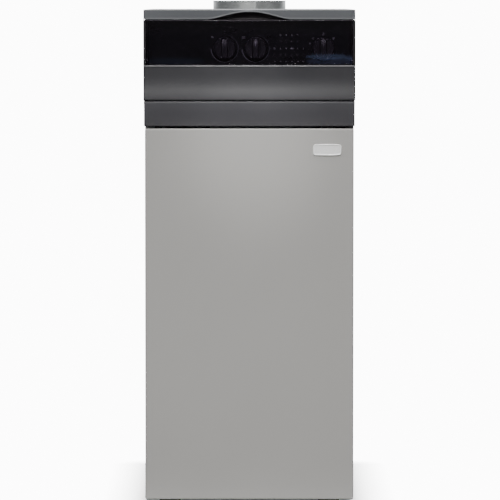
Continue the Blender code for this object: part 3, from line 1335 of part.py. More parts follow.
def make_insulation_jacket(finish):
    """The foil-faced wrap round the sections, open at its top and bottom."""

    def upright(a, b):
        return runs_along(a, b, 2)

    jacket = rounded_box(
        "insulation_jacket", (-JACKET_OUTER_X, JACKET_OUTER_X), (JACKET_FRONT_Y, JACKET_REAR_Y),
        (SECTION_BOTTOM_Z, JACKET_TOP_Z), JACKET_CORNER, upright,
    )
    hollow = box(
        "hollow", (-JACKET_INNER_X, JACKET_INNER_X), (JACKET_INNER_FRONT_Y, JACKET_INNER_REAR_Y),
        (SECTION_BOTTOM_Z - OVERRUN, JACKET_TOP_Z + OVERRUN),
    )
    pipe_holes = [
        rod("pipe_hole", 1, (PORT_X, z), WATER_PIPE_RADIUS + JACKET_HOLE_PLAY,
            JACKET_INNER_REAR_Y - OVERRUN, JACKET_REAR_Y + OVERRUN, PLAIN_STEPS)
        for z in (PORT_TOP_Z, PORT_BOTTOM_Z)
    ]
    drain_hole = rod(
        "drain_hole", 1, (DRAIN_X, PORT_BOTTOM_Z), DRAIN_RADIUS + JACKET_HOLE_PLAY,
        JACKET_FRONT_Y - OVERRUN, JACKET_INNER_FRONT_Y + OVERRUN, PLAIN_STEPS,
    )
    place(cut(jacket, hollow, *pipe_holes, drain_hole), finish)


def make_smoke_collector(finish):
    """The sloping hood that gathers the gases over the sections."""
    low_x, high_x = SECTION_HALF - COLLECTOR_INSET, DIVERTER_HALF + COLLECTOR_INSET / 2
    low_y = (SECTION_FRONT_Y + COLLECTOR_INSET, SECTIONS_REAR_Y - COLLECTOR_INSET)
    high_front = DIVERTER_FRONT_Y - COLLECTOR_INSET / 2
    high_y = (high_front, high_front + COLLECTOR_THROAT)

    def ring(x, y, z, inset):
        return [
            (-x + inset, y[0] + inset, z), (x - inset, y[0] + inset, z),
            (x - inset, y[1] - inset, z), (-x + inset, y[1] - inset, z),
        ]

    points = ring(low_x, low_y, COLLECTOR_Z, 0.0) + ring(high_x, high_y, COLLECTOR_TOP_Z, 0.0)
    points += ring(high_x, high_y, COLLECTOR_TOP_Z, COLLECTOR_INSET)
    points += ring(low_x, low_y, COLLECTOR_Z, COLLECTOR_INSET)
    faces = []
    corner_count = 4
    for row in range(4):
        following = (row + 1) % 4
        for k in range(corner_count):
            n = (k + 1) % corner_count
            faces.append(
                (row * corner_count + k, row * corner_count + n, following * corner_count + n,
                 following * corner_count + k)
            )
    place(mesh_object("smoke_collector", points, faces), finish)


def make_draught_diverter(finish):
    """The box under the collar, open below and with its relief window to the rear."""
    diverter = box(
        "draught_diverter", (-DIVERTER_HALF, DIVERTER_HALF), (DIVERTER_FRONT_Y, DIVERTER_REAR_Y),
        (DIVERTER_Z, DIVERTER_TOP_Z),
    )
    inner_x = DIVERTER_HALF - FRAME_SHEET
    hollow = box(
        "hollow", (-inner_x, inner_x), (DIVERTER_FRONT_Y + FRAME_SHEET, DIVERTER_REAR_Y - FRAME_SHEET),
        (DIVERTER_Z - OVERRUN, DIVERTER_TOP_Z - FRAME_SHEET),
    )
    outlet = rod(
        "outlet", 2, (0.0, FLUE_Y), FLUE_RADIUS - FLUE_WALL, DIVERTER_TOP_Z - FRAME_SHEET - OVERRUN,
        DIVERTER_TOP_Z + OVERRUN, FINE_STEPS,
    )
    window_half = DIVERTER_HALF - RELIEF_MARGIN
    window = box(
        "window", (-window_half, window_half),
        (DIVERTER_REAR_Y - FRAME_SHEET - OVERRUN, DIVERTER_REAR_Y + OVERRUN), relief_window(),
    )
    place(cut(diverter, hollow, outlet, window), finish)


def make_flue_collar(finish):
    """The round spigot that the flue pipe pushes on to, with its flange on the diverter."""
    low = DIVERTER_TOP_Z + FIT_GAP
    inner = FLUE_RADIUS - FLUE_WALL
    profile = [
        (inner, low),
        (FLUE_RADIUS + FLUE_FLANGE, low),
        (FLUE_RADIUS + FLUE_FLANGE, low + FLUE_WALL),
        (FLUE_RADIUS, low + FLUE_WALL),
        (FLUE_RADIUS, FLUE_TOP_Z),
        (inner, FLUE_TOP_Z),
    ]
    place(turned("flue_collar", profile, 2, (0.0, FLUE_Y), FINE_STEPS, ring=True), finish)


def make_exchanger_stand(finish):
    """Two channel rails tied by cross straps, which carry the sections above the chamber."""
    web = STAND_HALF - STAND_SHEET
    top, low = STAND_TOP_Z, STAND_BOTTOM_Z
    outline = [
        (STAND_INNER_X, low), (STAND_HALF, low), (STAND_HALF, top), (STAND_INNER_X, top),
        (STAND_INNER_X, top - STAND_SHEET), (web, top - STAND_SHEET),
        (web, low + STAND_SHEET), (STAND_INNER_X, low + STAND_SHEET),
    ]
    stand = prism("exchanger_stand", outline, 1, STAND_FRONT_Y, STAND_REAR_Y)
    other = prism("rail", [(-x, z) for x, z in outline], 1, STAND_FRONT_Y, STAND_REAR_Y)
    strap_x = (-STAND_HALF + STAND_SHEET / 2, STAND_HALF - STAND_SHEET / 2)
    strap_z = (low + STAND_SHEET / 2, low + STAND_SHEET / 2 + STAND_STRAP_SHEET)
    front = box("strap", strap_x, (STAND_FRONT_Y + STAND_STRAP, STAND_FRONT_Y + 2 * STAND_STRAP), strap_z)
    rear = box("strap", strap_x, (STAND_REAR_Y - 2 * STAND_STRAP, STAND_REAR_Y - STAND_STRAP), strap_z)
    place(join(stand, front, rear, other), finish)


def make_combustion_chamber(finish):
    """The lined box under the sections, closed in front by the burner plate."""
    inner_x = CHAMBER_HALF - CHAMBER_WALL
    inner_y = CHAMBER_REAR_Y - CHAMBER_WALL
    outline = [
        (-CHAMBER_HALF, CHAMBER_FRONT_Y), (-inner_x, CHAMBER_FRONT_Y), (-inner_x, inner_y),
        (inner_x, inner_y), (inner_x, CHAMBER_FRONT_Y), (CHAMBER_HALF, CHAMBER_FRONT_Y),
        (CHAMBER_HALF, CHAMBER_REAR_Y), (-CHAMBER_HALF, CHAMBER_REAR_Y),
    ]
    place(prism("combustion_chamber", outline, 2, CHAMBER_BOTTOM_Z, CHAMBER_TOP_Z), finish)


def tube_places():
    """The x of each burner tube."""
    return [TUBE_PITCH * (k - (TUBE_COUNT - 1) / 2) for k in range(TUBE_COUNT)]


def make_burner_plate(finish):
    """The plate that closes the chamber, holed for the tubes, the sight glass and the electrode."""
    plate = box(
        "burner_front_plate", (-CHAMBER_HALF, CHAMBER_HALF), (BURNER_PLATE_FRONT_Y, BURNER_PLATE_REAR_Y),
        (CHAMBER_BOTTOM_Z, CHAMBER_TOP_Z),
    )
    through = (BURNER_PLATE_FRONT_Y - OVERRUN, BURNER_PLATE_REAR_Y + OVERRUN)
    cutters = [rod("tube_hole", 1, (x, TUBE_Z), TUBE_RADIUS + FIT_GAP, *through) for x in tube_places()]
    sight_centre = (0.0, SECTION_BOTTOM_Z - SIGHT_DROP)
    cutters.append(rod("sight_hole", 1, sight_centre, SIGHT_HOLE_RADIUS, *through, PLAIN_STEPS))
    cutters.append(
        rod("electrode_hole", 1, (ELECTRODE_X, SECTION_BOTTOM_Z - ELECTRODE_DROP),
            ELECTRODE_RADIUS + ELECTRODE_HOLE_PLAY, *through, PLAIN_STEPS)
    )
    place(cut(plate, *cutters), finish)


def make_burner_tubes(finish):
    """Burner tubes: a flared mouth, a throat, and a long hollow body closed at its rear."""
    mouth, throat = TUBE_MOUTH_Y, TUBE_MOUTH_Y + TUBE_THROAT_REACH
    body = BURNER_PLATE_FRONT_Y - TUBE_SHOULDER
    profile = [
        (0.0, TUBE_END_Y - TUBE_WALL),
        (TUBE_RADIUS - TUBE_WALL, TUBE_END_Y - TUBE_WALL),
        (TUBE_RADIUS - TUBE_WALL, body + TUBE_WALL),
        (TUBE_THROAT_RADIUS, throat + TUBE_WALL),
        (TUBE_THROAT_RADIUS, throat),
        (TUBE_MOUTH_RADIUS, mouth),
        (TUBE_MOUTH_RADIUS + TUBE_MOUTH_WALL, mouth),
        (TUBE_THROAT_RADIUS + TUBE_THROAT_WALL, throat),
        (TUBE_RADIUS, body),
        (TUBE_RADIUS, TUBE_END_Y),
        (0.0, TUBE_END_Y),
    ]
    for k, x in enumerate(tube_places()):
        place(turned(f"burner_tube_{k + 1}", profile, 1, (x, TUBE_Z), ROUND_STEPS), finish)


def make_sight_glass(finish):
    """The ringed window that the flame is watched through."""
    rear = BURNER_PLATE_FRONT_Y - FIT_GAP
    front = rear - SIGHT_DEPTH
    profile = [
        (0.0, rear - SIGHT_GLASS_DEPTH),
        (SIGHT_RADIUS - SIGHT_RIM, rear - SIGHT_GLASS_DEPTH),
        (SIGHT_RADIUS - SIGHT_RIM, front),
        (SIGHT_RADIUS, front),
        (SIGHT_RADIUS, rear),
        (0.0, rear),
    ]
    place(turned("sight_glass", profile, 1, (0.0, SECTION_BOTTOM_Z - SIGHT_DROP), ROUND_STEPS), finish)


def make_ignition_electrode(finish):
    """The ceramic electrode through the burner plate, with its flange and wire tip."""
    front = BURNER_PLATE_FRONT_Y - FIT_GAP
    rear = BURNER_PLATE_REAR_Y + ELECTRODE_REAR_REACH
    profile = [
        (0.0, front - ELECTRODE_FRONT_REACH),
        (ELECTRODE_RADIUS, front - ELECTRODE_FRONT_REACH),
        (ELECTRODE_RADIUS, front - ELECTRODE_FLANGE),
        (ELECTRODE_FLANGE_RADIUS, front - ELECTRODE_FLANGE),
        (ELECTRODE_FLANGE_RADIUS, front),
        (ELECTRODE_RADIUS, front),
        (ELECTRODE_RADIUS, rear),
        (ELECTRODE_TIP_RADIUS, rear),
        (ELECTRODE_TIP_RADIUS, rear + ELECTRODE_TIP),
        (0.0, rear + ELECTRODE_TIP),
    ]
    centre = (ELECTRODE_X, SECTION_BOTTOM_Z - ELECTRODE_DROP)
    place(turned("ignition_electrode", profile, 1, centre, PLAIN_STEPS), finish)


def make_gas_manifold(finish):
    """The square manifold with its injectors, its standoffs to the burner plate and its riser."""
    manifold = box(
        "gas_manifold", (-MANIFOLD_HALF, MANIFOLD_HALF), (MANIFOLD_FRONT_Y, MANIFOLD_REAR_Y),
        (MANIFOLD_BOTTOM_Z, MANIFOLD_TOP_Z),
    )
    inside = MANIFOLD_REAR_Y - OVERRUN
    hex_end = MANIFOLD_REAR_Y + INJECTOR_HEX_LENGTH
    injector_profile = [
        (0.0, inside),
        (INJECTOR_RADIUS, inside),
        (INJECTOR_RADIUS, hex_end),
        (INJECTOR_TIP_RADIUS, MANIFOLD_REAR_Y + INJECTOR_REACH),
        (0.0, MANIFOLD_REAR_Y + INJECTOR_REACH),
    ]
    added = [turned("injector", injector_profile, 1, (x, TUBE_Z), HEX_STEPS) for x in tube_places()]
    added += [
        rod("standoff", 1, (side * TUBE_PITCH / 2, TUBE_Z), STANDOFF_RADIUS, inside,
            BURNER_PLATE_FRONT_Y - FIT_GAP, LAMP_STEPS)
        for side in (-1, 1)
    ]
    flange_low = VALVE_TOP_Z + FIT_GAP
    riser_z = (flange_low + FIT_GAP, MANIFOLD_BOTTOM_Z + OVERRUN)
    added.append(rod("riser", 2, (0.0, RISER_Y), RISER_RADIUS, *riser_z, PLAIN_STEPS))
    added.append(
        box("flange", (-RISER_FLANGE, RISER_FLANGE), (RISER_Y - RISER_FLANGE, RISER_Y + RISER_FLANGE),
            (flange_low, flange_low + RISER_FLANGE_THICKNESS))
    )
    place(join(manifold, *added), finish)


def make_gas_valve(finish):
    """The gas valve block with its inlet boss and the coil at its side."""

    def along_x(a, b):
        return runs_along(a, b, 0)

    valve = rounded_box(
        "gas_valve", (-VALVE_HALF, VALVE_HALF), (VALVE_FRONT_Y, VALVE_REAR_Y),
        (VALVE_BOTTOM_Z, VALVE_TOP_Z), VALVE_CHAMFER, along_x, 1,
    )
    boss_y = (VALVE_REAR_Y - OVERRUN, VALVE_INLET_Y)
    boss = rod("boss", 1, (0.0, VALVE_MIDDLE_Z), VALVE_BOSS_RADIUS, *boss_y, PLAIN_STEPS)
    middle_y = (VALVE_FRONT_Y + VALVE_REAR_Y) / 2
    coil_profile = [
        (0.0, VALVE_HALF - OVERRUN),
        (COIL_NECK_RADIUS, VALVE_HALF - OVERRUN),
        (COIL_NECK_RADIUS, COIL_X),
        (COIL_RADIUS, COIL_X),
        (COIL_RADIUS, COIL_X + COIL_LENGTH),
        (0.0, COIL_X + COIL_LENGTH),
    ]
    coil = turned("coil", coil_profile, 0, (middle_y, VALVE_MIDDLE_Z), ROUND_STEPS)
    place(join(valve, boss, coil), finish)


def make_pipes(finishes):
    """Gas inlet, flow and return pipes, each running out through the rear panel."""
    gas = tube(
        "gas_inlet_pipe", 1, (0.0, VALVE_MIDDLE_Z), GAS_PIPE_RADIUS, GAS_PIPE_WALL,
        VALVE_INLET_Y + FIT_GAP, PIPE_END_Y,
    )
    place(gas, finishes["gas_paint"])
    for name, z in (("flow_pipe", PORT_TOP_Z), ("return_pipe", PORT_BOTTOM_Z)):
        pipe = tube(
            name, 1, (PORT_X, z), WATER_PIPE_RADIUS, WATER_PIPE_WALL, SECTIONS_REAR_Y + FIT_GAP, PIPE_END_Y
        )
        place(pipe, finishes["pipe"])


def make_drain_cock(finishes):
    """The drain cock on the front section, and the lever knob that opens it."""
    centre = (DRAIN_X, PORT_BOTTOM_Z)
    bore = DRAIN_SPINDLE_RADIUS + DRAIN_SPINDLE_PLAY
    profile = [
        (0.0, DRAIN_FRONT_Y + DRAIN_BORE_DEPTH),
        (bore, DRAIN_FRONT_Y + DRAIN_BORE_DEPTH),
        (bore, DRAIN_FRONT_Y),
        (DRAIN_RADIUS, DRAIN_FRONT_Y),
        (DRAIN_RADIUS, DRAIN_REAR_Y),
        (0.0, DRAIN_REAR_Y),
    ]
    cock = turned("drain_cock", profile, 1, centre, PLAIN_STEPS)
    hex_end = JACKET_FRONT_Y - FIT_GAP
    collar = rod("collar", 1, centre, DRAIN_HEX_RADIUS, hex_end - DRAIN_HEX_LENGTH, hex_end, HEX_STEPS)
    nozzle = rod(
        "nozzle", 2, (DRAIN_X, DRAIN_FRONT_Y + DRAIN_NOZZLE_SETBACK), DRAIN_NOZZLE_RADIUS,
        PORT_BOTTOM_Z - DRAIN_NOZZLE_LENGTH, PORT_BOTTOM_Z, PLAIN_STEPS,
    )
    place(join(cock, collar, nozzle), finishes["brass"])
    empty = joint_empty("drain_axis", DRAIN_X, DRAIN_KNOB_REAR_Y, PORT_BOTTOM_Z)
    knob_profile = [
        (0.0, DRAIN_KNOB_FRONT_Y),
        (DRAIN_KNOB_RADIUS, DRAIN_KNOB_FRONT_Y),
        (DRAIN_KNOB_RADIUS, DRAIN_KNOB_REAR_Y),
        (DRAIN_SPINDLE_RADIUS, DRAIN_KNOB_REAR_Y),
        (DRAIN_SPINDLE_RADIUS, DRAIN_FRONT_Y + DRAIN_SPINDLE_DEPTH),
        (0.0, DRAIN_FRONT_Y + DRAIN_SPINDLE_DEPTH),
    ]
    knob = turned("drain_knob", knob_profile, 1, centre, PLAIN_STEPS)
    lever = box(
        "lever", (DRAIN_X - DRAIN_LEVER_LENGTH / 2, DRAIN_X + DRAIN_LEVER_LENGTH / 2),
        (DRAIN_KNOB_FRONT_Y + FIT_GAP, DRAIN_KNOB_FRONT_Y + FIT_GAP + DRAIN_LEVER_THICKNESS),
        (PORT_BOTTOM_Z - DRAIN_LEVER_WIDTH / 2, PORT_BOTTOM_Z + DRAIN_LEVER_WIDTH / 2),
    )
    axis_point = Vector((DRAIN_X, DRAIN_KNOB_REAR_Y, PORT_BOTTOM_Z))
    place(join(knob, lever), finishes["knob"], empty, axis_point)


def make_mains_gland(finish):
    """The gland in the rear panel that a mains lead comes in by."""
    centre = (GLAND_X, GLAND_Z)
    outside = REAR_Y + FIT_GAP
    profile = [
        (GLAND_BORE_RADIUS, REAR_Y - SHEET - GLAND_FRONT_REACH),
        (GLAND_RADIUS, REAR_Y - SHEET - GLAND_FRONT_REACH),
        (GLAND_RADIUS, outside),
        (GLAND_NUT_RADIUS, outside),
        (GLAND_NUT_RADIUS, outside + GLAND_NUT_LENGTH),
        (GLAND_RADIUS, outside + GLAND_REAR_REACH),
        (GLAND_BORE_RADIUS, outside + GLAND_REAR_REACH),
    ]
    place(turned("mains_gland", profile, 1, centre, PLAIN_STEPS, ring=True), finish)


def smooth_route(points, spacing):
    """Even points along a smooth curve that passes through the given ones."""
    padded = [points[0] * 2 - points[1], *points, points[-1] * 2 - points[-2]]
    route = []
    for a, b, c, d in zip(padded, padded[1:], padded[2:], padded[3:]):
        steps = max(1, round((c - b).length / spacing))
        for k in range(steps):
            t = k / steps
            squared = (a * 2 - b * 5 + c * 4 - d) * t**2
            cubed = (b * 3 - a - c * 3 + d) * t**3
            route.append((b * 2 + (c - a) * t + squared + cubed) / 2)
    route.append(points[-1])
    return route


def make_lead(name, points, finish):
    """A round lead along its route, as a curve with a bevel and closed ends."""
    curve = bpy.data.curves.new(name, "CURVE")
    curve.dimensions = "3D"
    curve.bevel_depth = LEAD_RADIUS
    curve.bevel_resolution = LEAD_ROUND_STEPS
    curve.use_fill_caps = True
    spline = curve.splines.new("POLY")
    route = smooth_route(points, LEAD_POINT_SPACING)
    spline.points.add(len(route) - 1)
    for point, place_at in zip(spline.points, route):
        point.co = (*place_at, 1.0)
    lead = bpy.data.objects.new(name, curve)
    bpy.context.scene.collection.objects.link(lead)
    curve.materials.append(finish)


def make_leads(finish):
    """The valve's lead and the electrode's lead, from the control box down the front of the jacket."""
    start_z = BOX_BOTTOM_Z + FRAME_SHEET
    hang_y = JACKET_FRONT_Y - LEAD_JACKET_GAP - LEAD_RADIUS
    middle_z = SECTION_MIDDLE_Z
    coil_end_x = COIL_X + COIL_LENGTH + FIT_GAP
    coil_y = (VALVE_FRONT_Y + VALVE_REAR_Y) / 2
    valve_route = [
        Vector((VALVE_LEAD_X, LEAD_Y, start_z)),
        Vector((VALVE_LEAD_X, LEAD_Y, start_z - LEAD_TAIL)),
        Vector((VALVE_LEAD_X, hang_y, SECTION_TOP_Z)),
        Vector((VALVE_LEAD_X, hang_y, middle_z)),
        Vector((VALVE_LEAD_X, hang_y, SECTION_BOTTOM_Z)),
        Vector((VALVE_LEAD_X, coil_y, TUBE_Z)),
        Vector((VALVE_LEAD_X, coil_y, VALVE_TOP_Z)),
        Vector((coil_end_x + 2 * LEAD_TAIL, coil_y, VALVE_MIDDLE_Z)),
        Vector((coil_end_x + LEAD_TAIL, coil_y, VALVE_MIDDLE_Z)),
        Vector((coil_end_x, coil_y, VALVE_MIDDLE_Z)),
    ]
    make_lead("valve_lead", valve_route, finish)
    electrode_z = SECTION_BOTTOM_Z - ELECTRODE_DROP
    tip_y = BURNER_PLATE_FRONT_Y - FIT_GAP - ELECTRODE_FRONT_REACH - FIT_GAP
    ignition_route = [
        Vector((IGNITION_LEAD_X, LEAD_Y, start_z)),
        Vector((IGNITION_LEAD_X, LEAD_Y, start_z - LEAD_TAIL)),
        Vector((IGNITION_LEAD_X, hang_y, SECTION_TOP_Z)),
        Vector((IGNITION_LEAD_X, hang_y, middle_z)),
        Vector((ELECTRODE_X, hang_y - LEAD_TAIL, SECTION_BOTTOM_Z + LEAD_TAIL)),
        Vector((ELECTRODE_X, tip_y - 2 * LEAD_TAIL, electrode_z + LEAD_TAIL)),
        Vector((ELECTRODE_X, tip_y - LEAD_TAIL, electrode_z)),
        Vector((ELECTRODE_X, tip_y, electrode_z)),
    ]
    make_lead("ignition_lead", ignition_route, finish)


def make_finishes():
    """Every finish of the boiler by name."""
    return {
        "door_paint": material("light_grey_paint", (0.36, 0.355, 0.345), 0.42, 0.3),
        "cover_paint": material("dark_grey_paint", (0.135, 0.142, 0.152), 0.4, 0.2),
        "fascia": material("graphite_plastic", (0.075, 0.074, 0.084), 0.38, 0.0),
        "smoked": material("smoked_acrylic", (0.008, 0.008, 0.010), 0.06, 0.0, 0.6),
        "plate": material("black_panel", (0.006, 0.006, 0.008), 0.3, 0.0),
        "knob": material("black_knob", (0.02, 0.018, 0.024), 0.35, 0.0),
        "lamp": material("clear_guide", (0.5, 0.5, 0.5), 0.2, 0.0),
        "housing": material("control_housing", (0.03, 0.03, 0.03), 0.5, 0.0),
        "board": material("circuit_board", (0.02, 0.14, 0.05), 0.5, 0.0),
        "badge": material("badge_plate", (0.78, 0.78, 0.77), 0.25, 0.6),
        "zinc": material("zinc_sheet", (0.5, 0.52, 0.53), 0.35, 0.9),
        "steel": material("bright_steel", (0.55, 0.55, 0.56), 0.3, 1.0),
        "iron": material("cast_iron", (0.07, 0.07, 0.075), 0.75, 0.5),
        "foil": material("aluminium_foil", (0.75, 0.76, 0.77), 0.35, 0.9),
        "chamber": material("chamber_steel", (0.42, 0.42, 0.43), 0.5, 0.8),
        "burner": material("burner_steel", (0.5, 0.49, 0.47), 0.35, 1.0),
        "ceramic": material("white_ceramic", (0.8, 0.79, 0.75), 0.4, 0.0),
        "valve": material("cast_aluminium", (0.6, 0.6, 0.61), 0.45, 0.9),
        "gas_paint": material("gas_pipe_paint", (0.62, 0.48, 0.05), 0.45, 0.0),
        "pipe": material("steel_pipe", (0.16, 0.16, 0.17), 0.5, 0.7),
        "brass": material("brass", (0.72, 0.53, 0.24), 0.3, 1.0),
        "rubber": material("black_rubber", (0.03, 0.03, 0.03), 0.7, 0.0),
        "lead": material("lead_sheath", (0.05, 0.05, 0.05), 0.5, 0.0),
    }


def build():
    """Makes the whole boiler."""
    clear_scene()
    finishes = make_finishes()
    make_base_tray(finishes["zinc"])
    make_feet(finishes["rubber"])
    make_side_panels(finishes["door_paint"])
    make_rear_panel(finishes["zinc"])
    make_top_cover(finishes["cover_paint"])
    make_front_crossbar(finishes["zinc"])
    make_control_fascia(finishes["fascia"])
    make_lower_trim(finishes["fascia"])
    flap_axis = joint_empty("flap_axis", 0.0, FLAP_PIVOT_Y, FLAP_PIVOT_Z)
    make_control_flap(finishes["smoked"], flap_axis)
    make_control_plate(finishes["plate"])
    make_light_guide(finishes["lamp"])
    make_turning_control("hot_water", "potentiometer", HOT_WATER_KNOB_X, POT_RADIUS, finishes)
    make_turning_control("heating", "potentiometer", HEATING_KNOB_X, POT_RADIUS, finishes)
    make_turning_control("selector", "switch", SELECTOR_KNOB_X, SWITCH_RADIUS, finishes)
    make_control_box(finishes)
    make_front_door(finishes)
    make_hinge_brackets(finishes["zinc"])
    make_magnet_catches(finishes["housing"])
    make_boiler_sections(finishes["iron"])
    make_tie_rods(finishes["steel"])
    make_insulation_jacket(finishes["foil"])
    make_smoke_collector(finishes["zinc"])
    make_draught_diverter(finishes["zinc"])
    make_flue_collar(finishes["zinc"])
    make_exchanger_stand(finishes["zinc"])
    make_combustion_chamber(finishes["chamber"])
    make_burner_plate(finishes["chamber"])
    make_burner_tubes(finishes["burner"])
    make_sight_glass(finishes["steel"])
    make_ignition_electrode(finishes["ceramic"])
    make_gas_manifold(finishes["steel"])
    make_gas_valve(finishes["valve"])
    make_pipes(finishes)
    make_drain_cock(finishes)
    make_mains_gland(finishes["rubber"])
    make_leads(finishes["lead"])


build()
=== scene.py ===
"""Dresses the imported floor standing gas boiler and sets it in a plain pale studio.

A shape is worked out in millimetres, as (x, depth behind the frontmost plane, z). Its mesh holds it in
metres, with +Z up and the front facing -Y.
"""

import logging
from collections.abc import Callable, Sequence
from dataclasses import dataclass, field
from enum import Enum
from functools import cache
from math import copysign, cos, pi, radians, sin

import bmesh
import bpy
import numpy as np
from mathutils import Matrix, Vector


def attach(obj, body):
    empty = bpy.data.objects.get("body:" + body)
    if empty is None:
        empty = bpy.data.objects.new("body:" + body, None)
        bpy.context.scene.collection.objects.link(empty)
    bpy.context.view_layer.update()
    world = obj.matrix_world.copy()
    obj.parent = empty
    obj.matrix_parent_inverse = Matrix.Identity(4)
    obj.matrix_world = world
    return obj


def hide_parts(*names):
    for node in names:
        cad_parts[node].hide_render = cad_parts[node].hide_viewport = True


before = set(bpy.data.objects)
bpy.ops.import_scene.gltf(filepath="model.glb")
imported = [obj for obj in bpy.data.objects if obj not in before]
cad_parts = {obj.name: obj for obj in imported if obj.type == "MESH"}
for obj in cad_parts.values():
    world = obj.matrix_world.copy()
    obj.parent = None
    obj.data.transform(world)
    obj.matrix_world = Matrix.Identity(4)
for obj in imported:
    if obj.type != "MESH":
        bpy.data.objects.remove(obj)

LOG = logging.getLogger("boiler")
MM = 0.001
FRONT_Y = -0.3125
SIDES = (-1, 1)
ORIGIN = (0, 0, 0)
QUARTER = pi / 2

Array = np.ndarray
Point = tuple[float, float, float]
Pair = tuple[float, float]
Points = Sequence[Point]
Rows = Sequence[Pair] | Array
Swell = Callable[[Array, Array], Array]
Socket = bpy.types.NodeSocket
Node = bpy.types.Node
Value = float | Sequence[float] | Socket | None


class Axis(Enum):
    """The direction that a shape is built along."""

    X = 0
    Y = 1
    Z = 2


X, Y, Z = Axis

# Surfaces on a grid


def grid_faces(rows: int, columns: int, close_rows: bool, close_columns: bool) -> Array:
    """Quads between neighbouring points of a grid.

    Args:
        rows: how many rows it has.
        columns: how many columns.
        close_rows: joins the last row to the first.
        close_columns: joins the last column to the first.

    Returns:
        Four point numbers for each face: (r, c), (r, c + 1), (r + 1, c + 1), (r + 1, c).
    """
    row = np.arange(rows if close_rows else rows - 1)[:, None]
    column = np.arange(columns if close_columns else columns - 1)[None, :]
    here = row * columns
    below = (row + 1) % rows * columns
    beside = (column + 1) % columns
    return np.stack((here + column, here + beside, below + beside, below + column), axis=-1).reshape(-1, 4)


def around(steps: int) -> Array:
    """Angles evenly round a circle, as one row."""
    return np.linspace(0, 2 * pi, steps, endpoint=False)[None, :]


def stand(u: Array, v: Array | float, along: Array | float, axis: Axis, centre: Point = ORIGIN) -> Array:
    """Two cross coordinates and one along an axis, in X, Y, Z order, moved to a centre."""
    order = {X: (along, u, v), Y: (u, along, v), Z: (u, v, along)}[axis]
    return np.stack(np.broadcast_arrays(*order), axis=-1) + np.array(centre)


def eased(corners: Points, steps: int) -> Array:
    """A line through corners, each rounded by (1-t)^2 A + 2t(1-t) P + t^2 B.

    A and B lie an ease before and after the corner P.

    Args:
        corners: (a, b, ease) for each. The two ends stay sharp.
        steps: pieces of each curve.

    Returns:
        (a, b) points.
    """
    places = np.array(corners, float)[:, :2]
    t = np.linspace(0, 1, steps + 1)[:, None]
    parts = [places[:1]]
    for k in range(1, len(corners) - 1):
        before = places[k - 1] - places[k]
        after = places[k + 1] - places[k]
        start = places[k] + before / np.linalg.norm(before) * corners[k][2]
        end = places[k] + after / np.linalg.norm(after) * corners[k][2]
        parts.append((1 - t) ** 2 * start + 2 * t * (1 - t) * places[k] + t**2 * end)
    return np.concatenate([*parts, places[-1:]])


def outline(half_a: float, half_b: float, radius: float, corner_steps: int, side_steps: int) -> Array:
    """A rectangle's outline: round corners, centre + radius (cos a, sin a), joined by straight sides.

    Args:
        half_a: half the first size.
        half_b: half the second size.
        radius: corner radius.
        corner_steps: pieces in a corner.
        side_steps: pieces in a side.

    Returns:
        4 * (corner_steps + side_steps) points.
    """
    radius = max(radius, 0)
    signs = np.array([[1, 1], [-1, 1], [-1, -1], [1, -1]], float)
    centres = signs * (half_a - radius, half_b - radius)
    turn = np.linspace(0, QUARTER, corner_steps + 1)
    share = np.linspace(0, 1, side_steps + 1)[1:-1, None]
    parts = []
    for k in range(4):
        angle = turn + k * QUARTER
        arc = centres[k] + radius * np.stack((np.cos(angle), np.sin(angle)), axis=-1)
        following = centres[(k + 1) % 4] + radius * np.array([cos(angle[-1]), sin(angle[-1])])
        parts += [arc, arc[-1] + (following - arc[-1]) * share]
    return np.concatenate(parts)


@dataclass
class Pressed:
    """A tray, plate or block: outlines of one rounded rectangle, inset and stacked along an axis."""

    half_a: float
    half_b: float
    radius: float
    axis: Axis
    centre: Point
    corner_steps: int = 6
    side_steps: int = 1

    def surface(self, rows: Rows) -> Array:
        """P(row, k) is the outline inset by row's first number, at row's second along the axis.

        Args:
            rows: (inset, place along the axis) pairs.

        Returns:
            A grid that its columns close.
        """
        stack = []
        for inset, along in rows:
            half_a = max(self.half_a - inset, 0)
            half_b = max(self.half_b - inset, 0)
            radius = min(self.radius - inset, self.half_a - inset, self.half_b - inset)
            line = outline(half_a, half_b, radius, self.corner_steps, self.side_steps)
            stack.append(stand(line[:, 0], line[:, 1], np.full(len(line), along), self.axis, self.centre))
        return np.stack(stack)

    def shut(self, rows: Rows) -> Array:
        """The same, with the outline brought together at both ends."""
        inset = min(self.half_a, self.half_b)
        return self.surface([(inset, rows[0][1]), *rows, (inset, rows[-1][1])])


def turned(
    profile: Rows, axis: Axis, centre: Point, steps: int, swell: Swell | None = None, phase: float = 0
) -> Array:
    """A profile turned round an axis: P(i, k) = (r cos a, r sin a, h), where r may swell with a and h.

    Args:
        profile: (radius, place along the axis) pairs.
        axis: the axis.
        centre: a point on it.
        steps: points in each ring.
        swell: scales the radius by angle and place.
        phase: the first point's angle.

    Returns:
        A grid that its columns close.
    """
    pairs = np.asarray(profile, float)
    angle = phase + around(steps)
    radius = pairs[:, :1]
    if swell is not None:
        radius = radius * swell(angle, pairs[:, 1:])
    return stand(radius * np.cos(angle), radius * np.sin(angle), pairs[:, 1:], axis, centre)


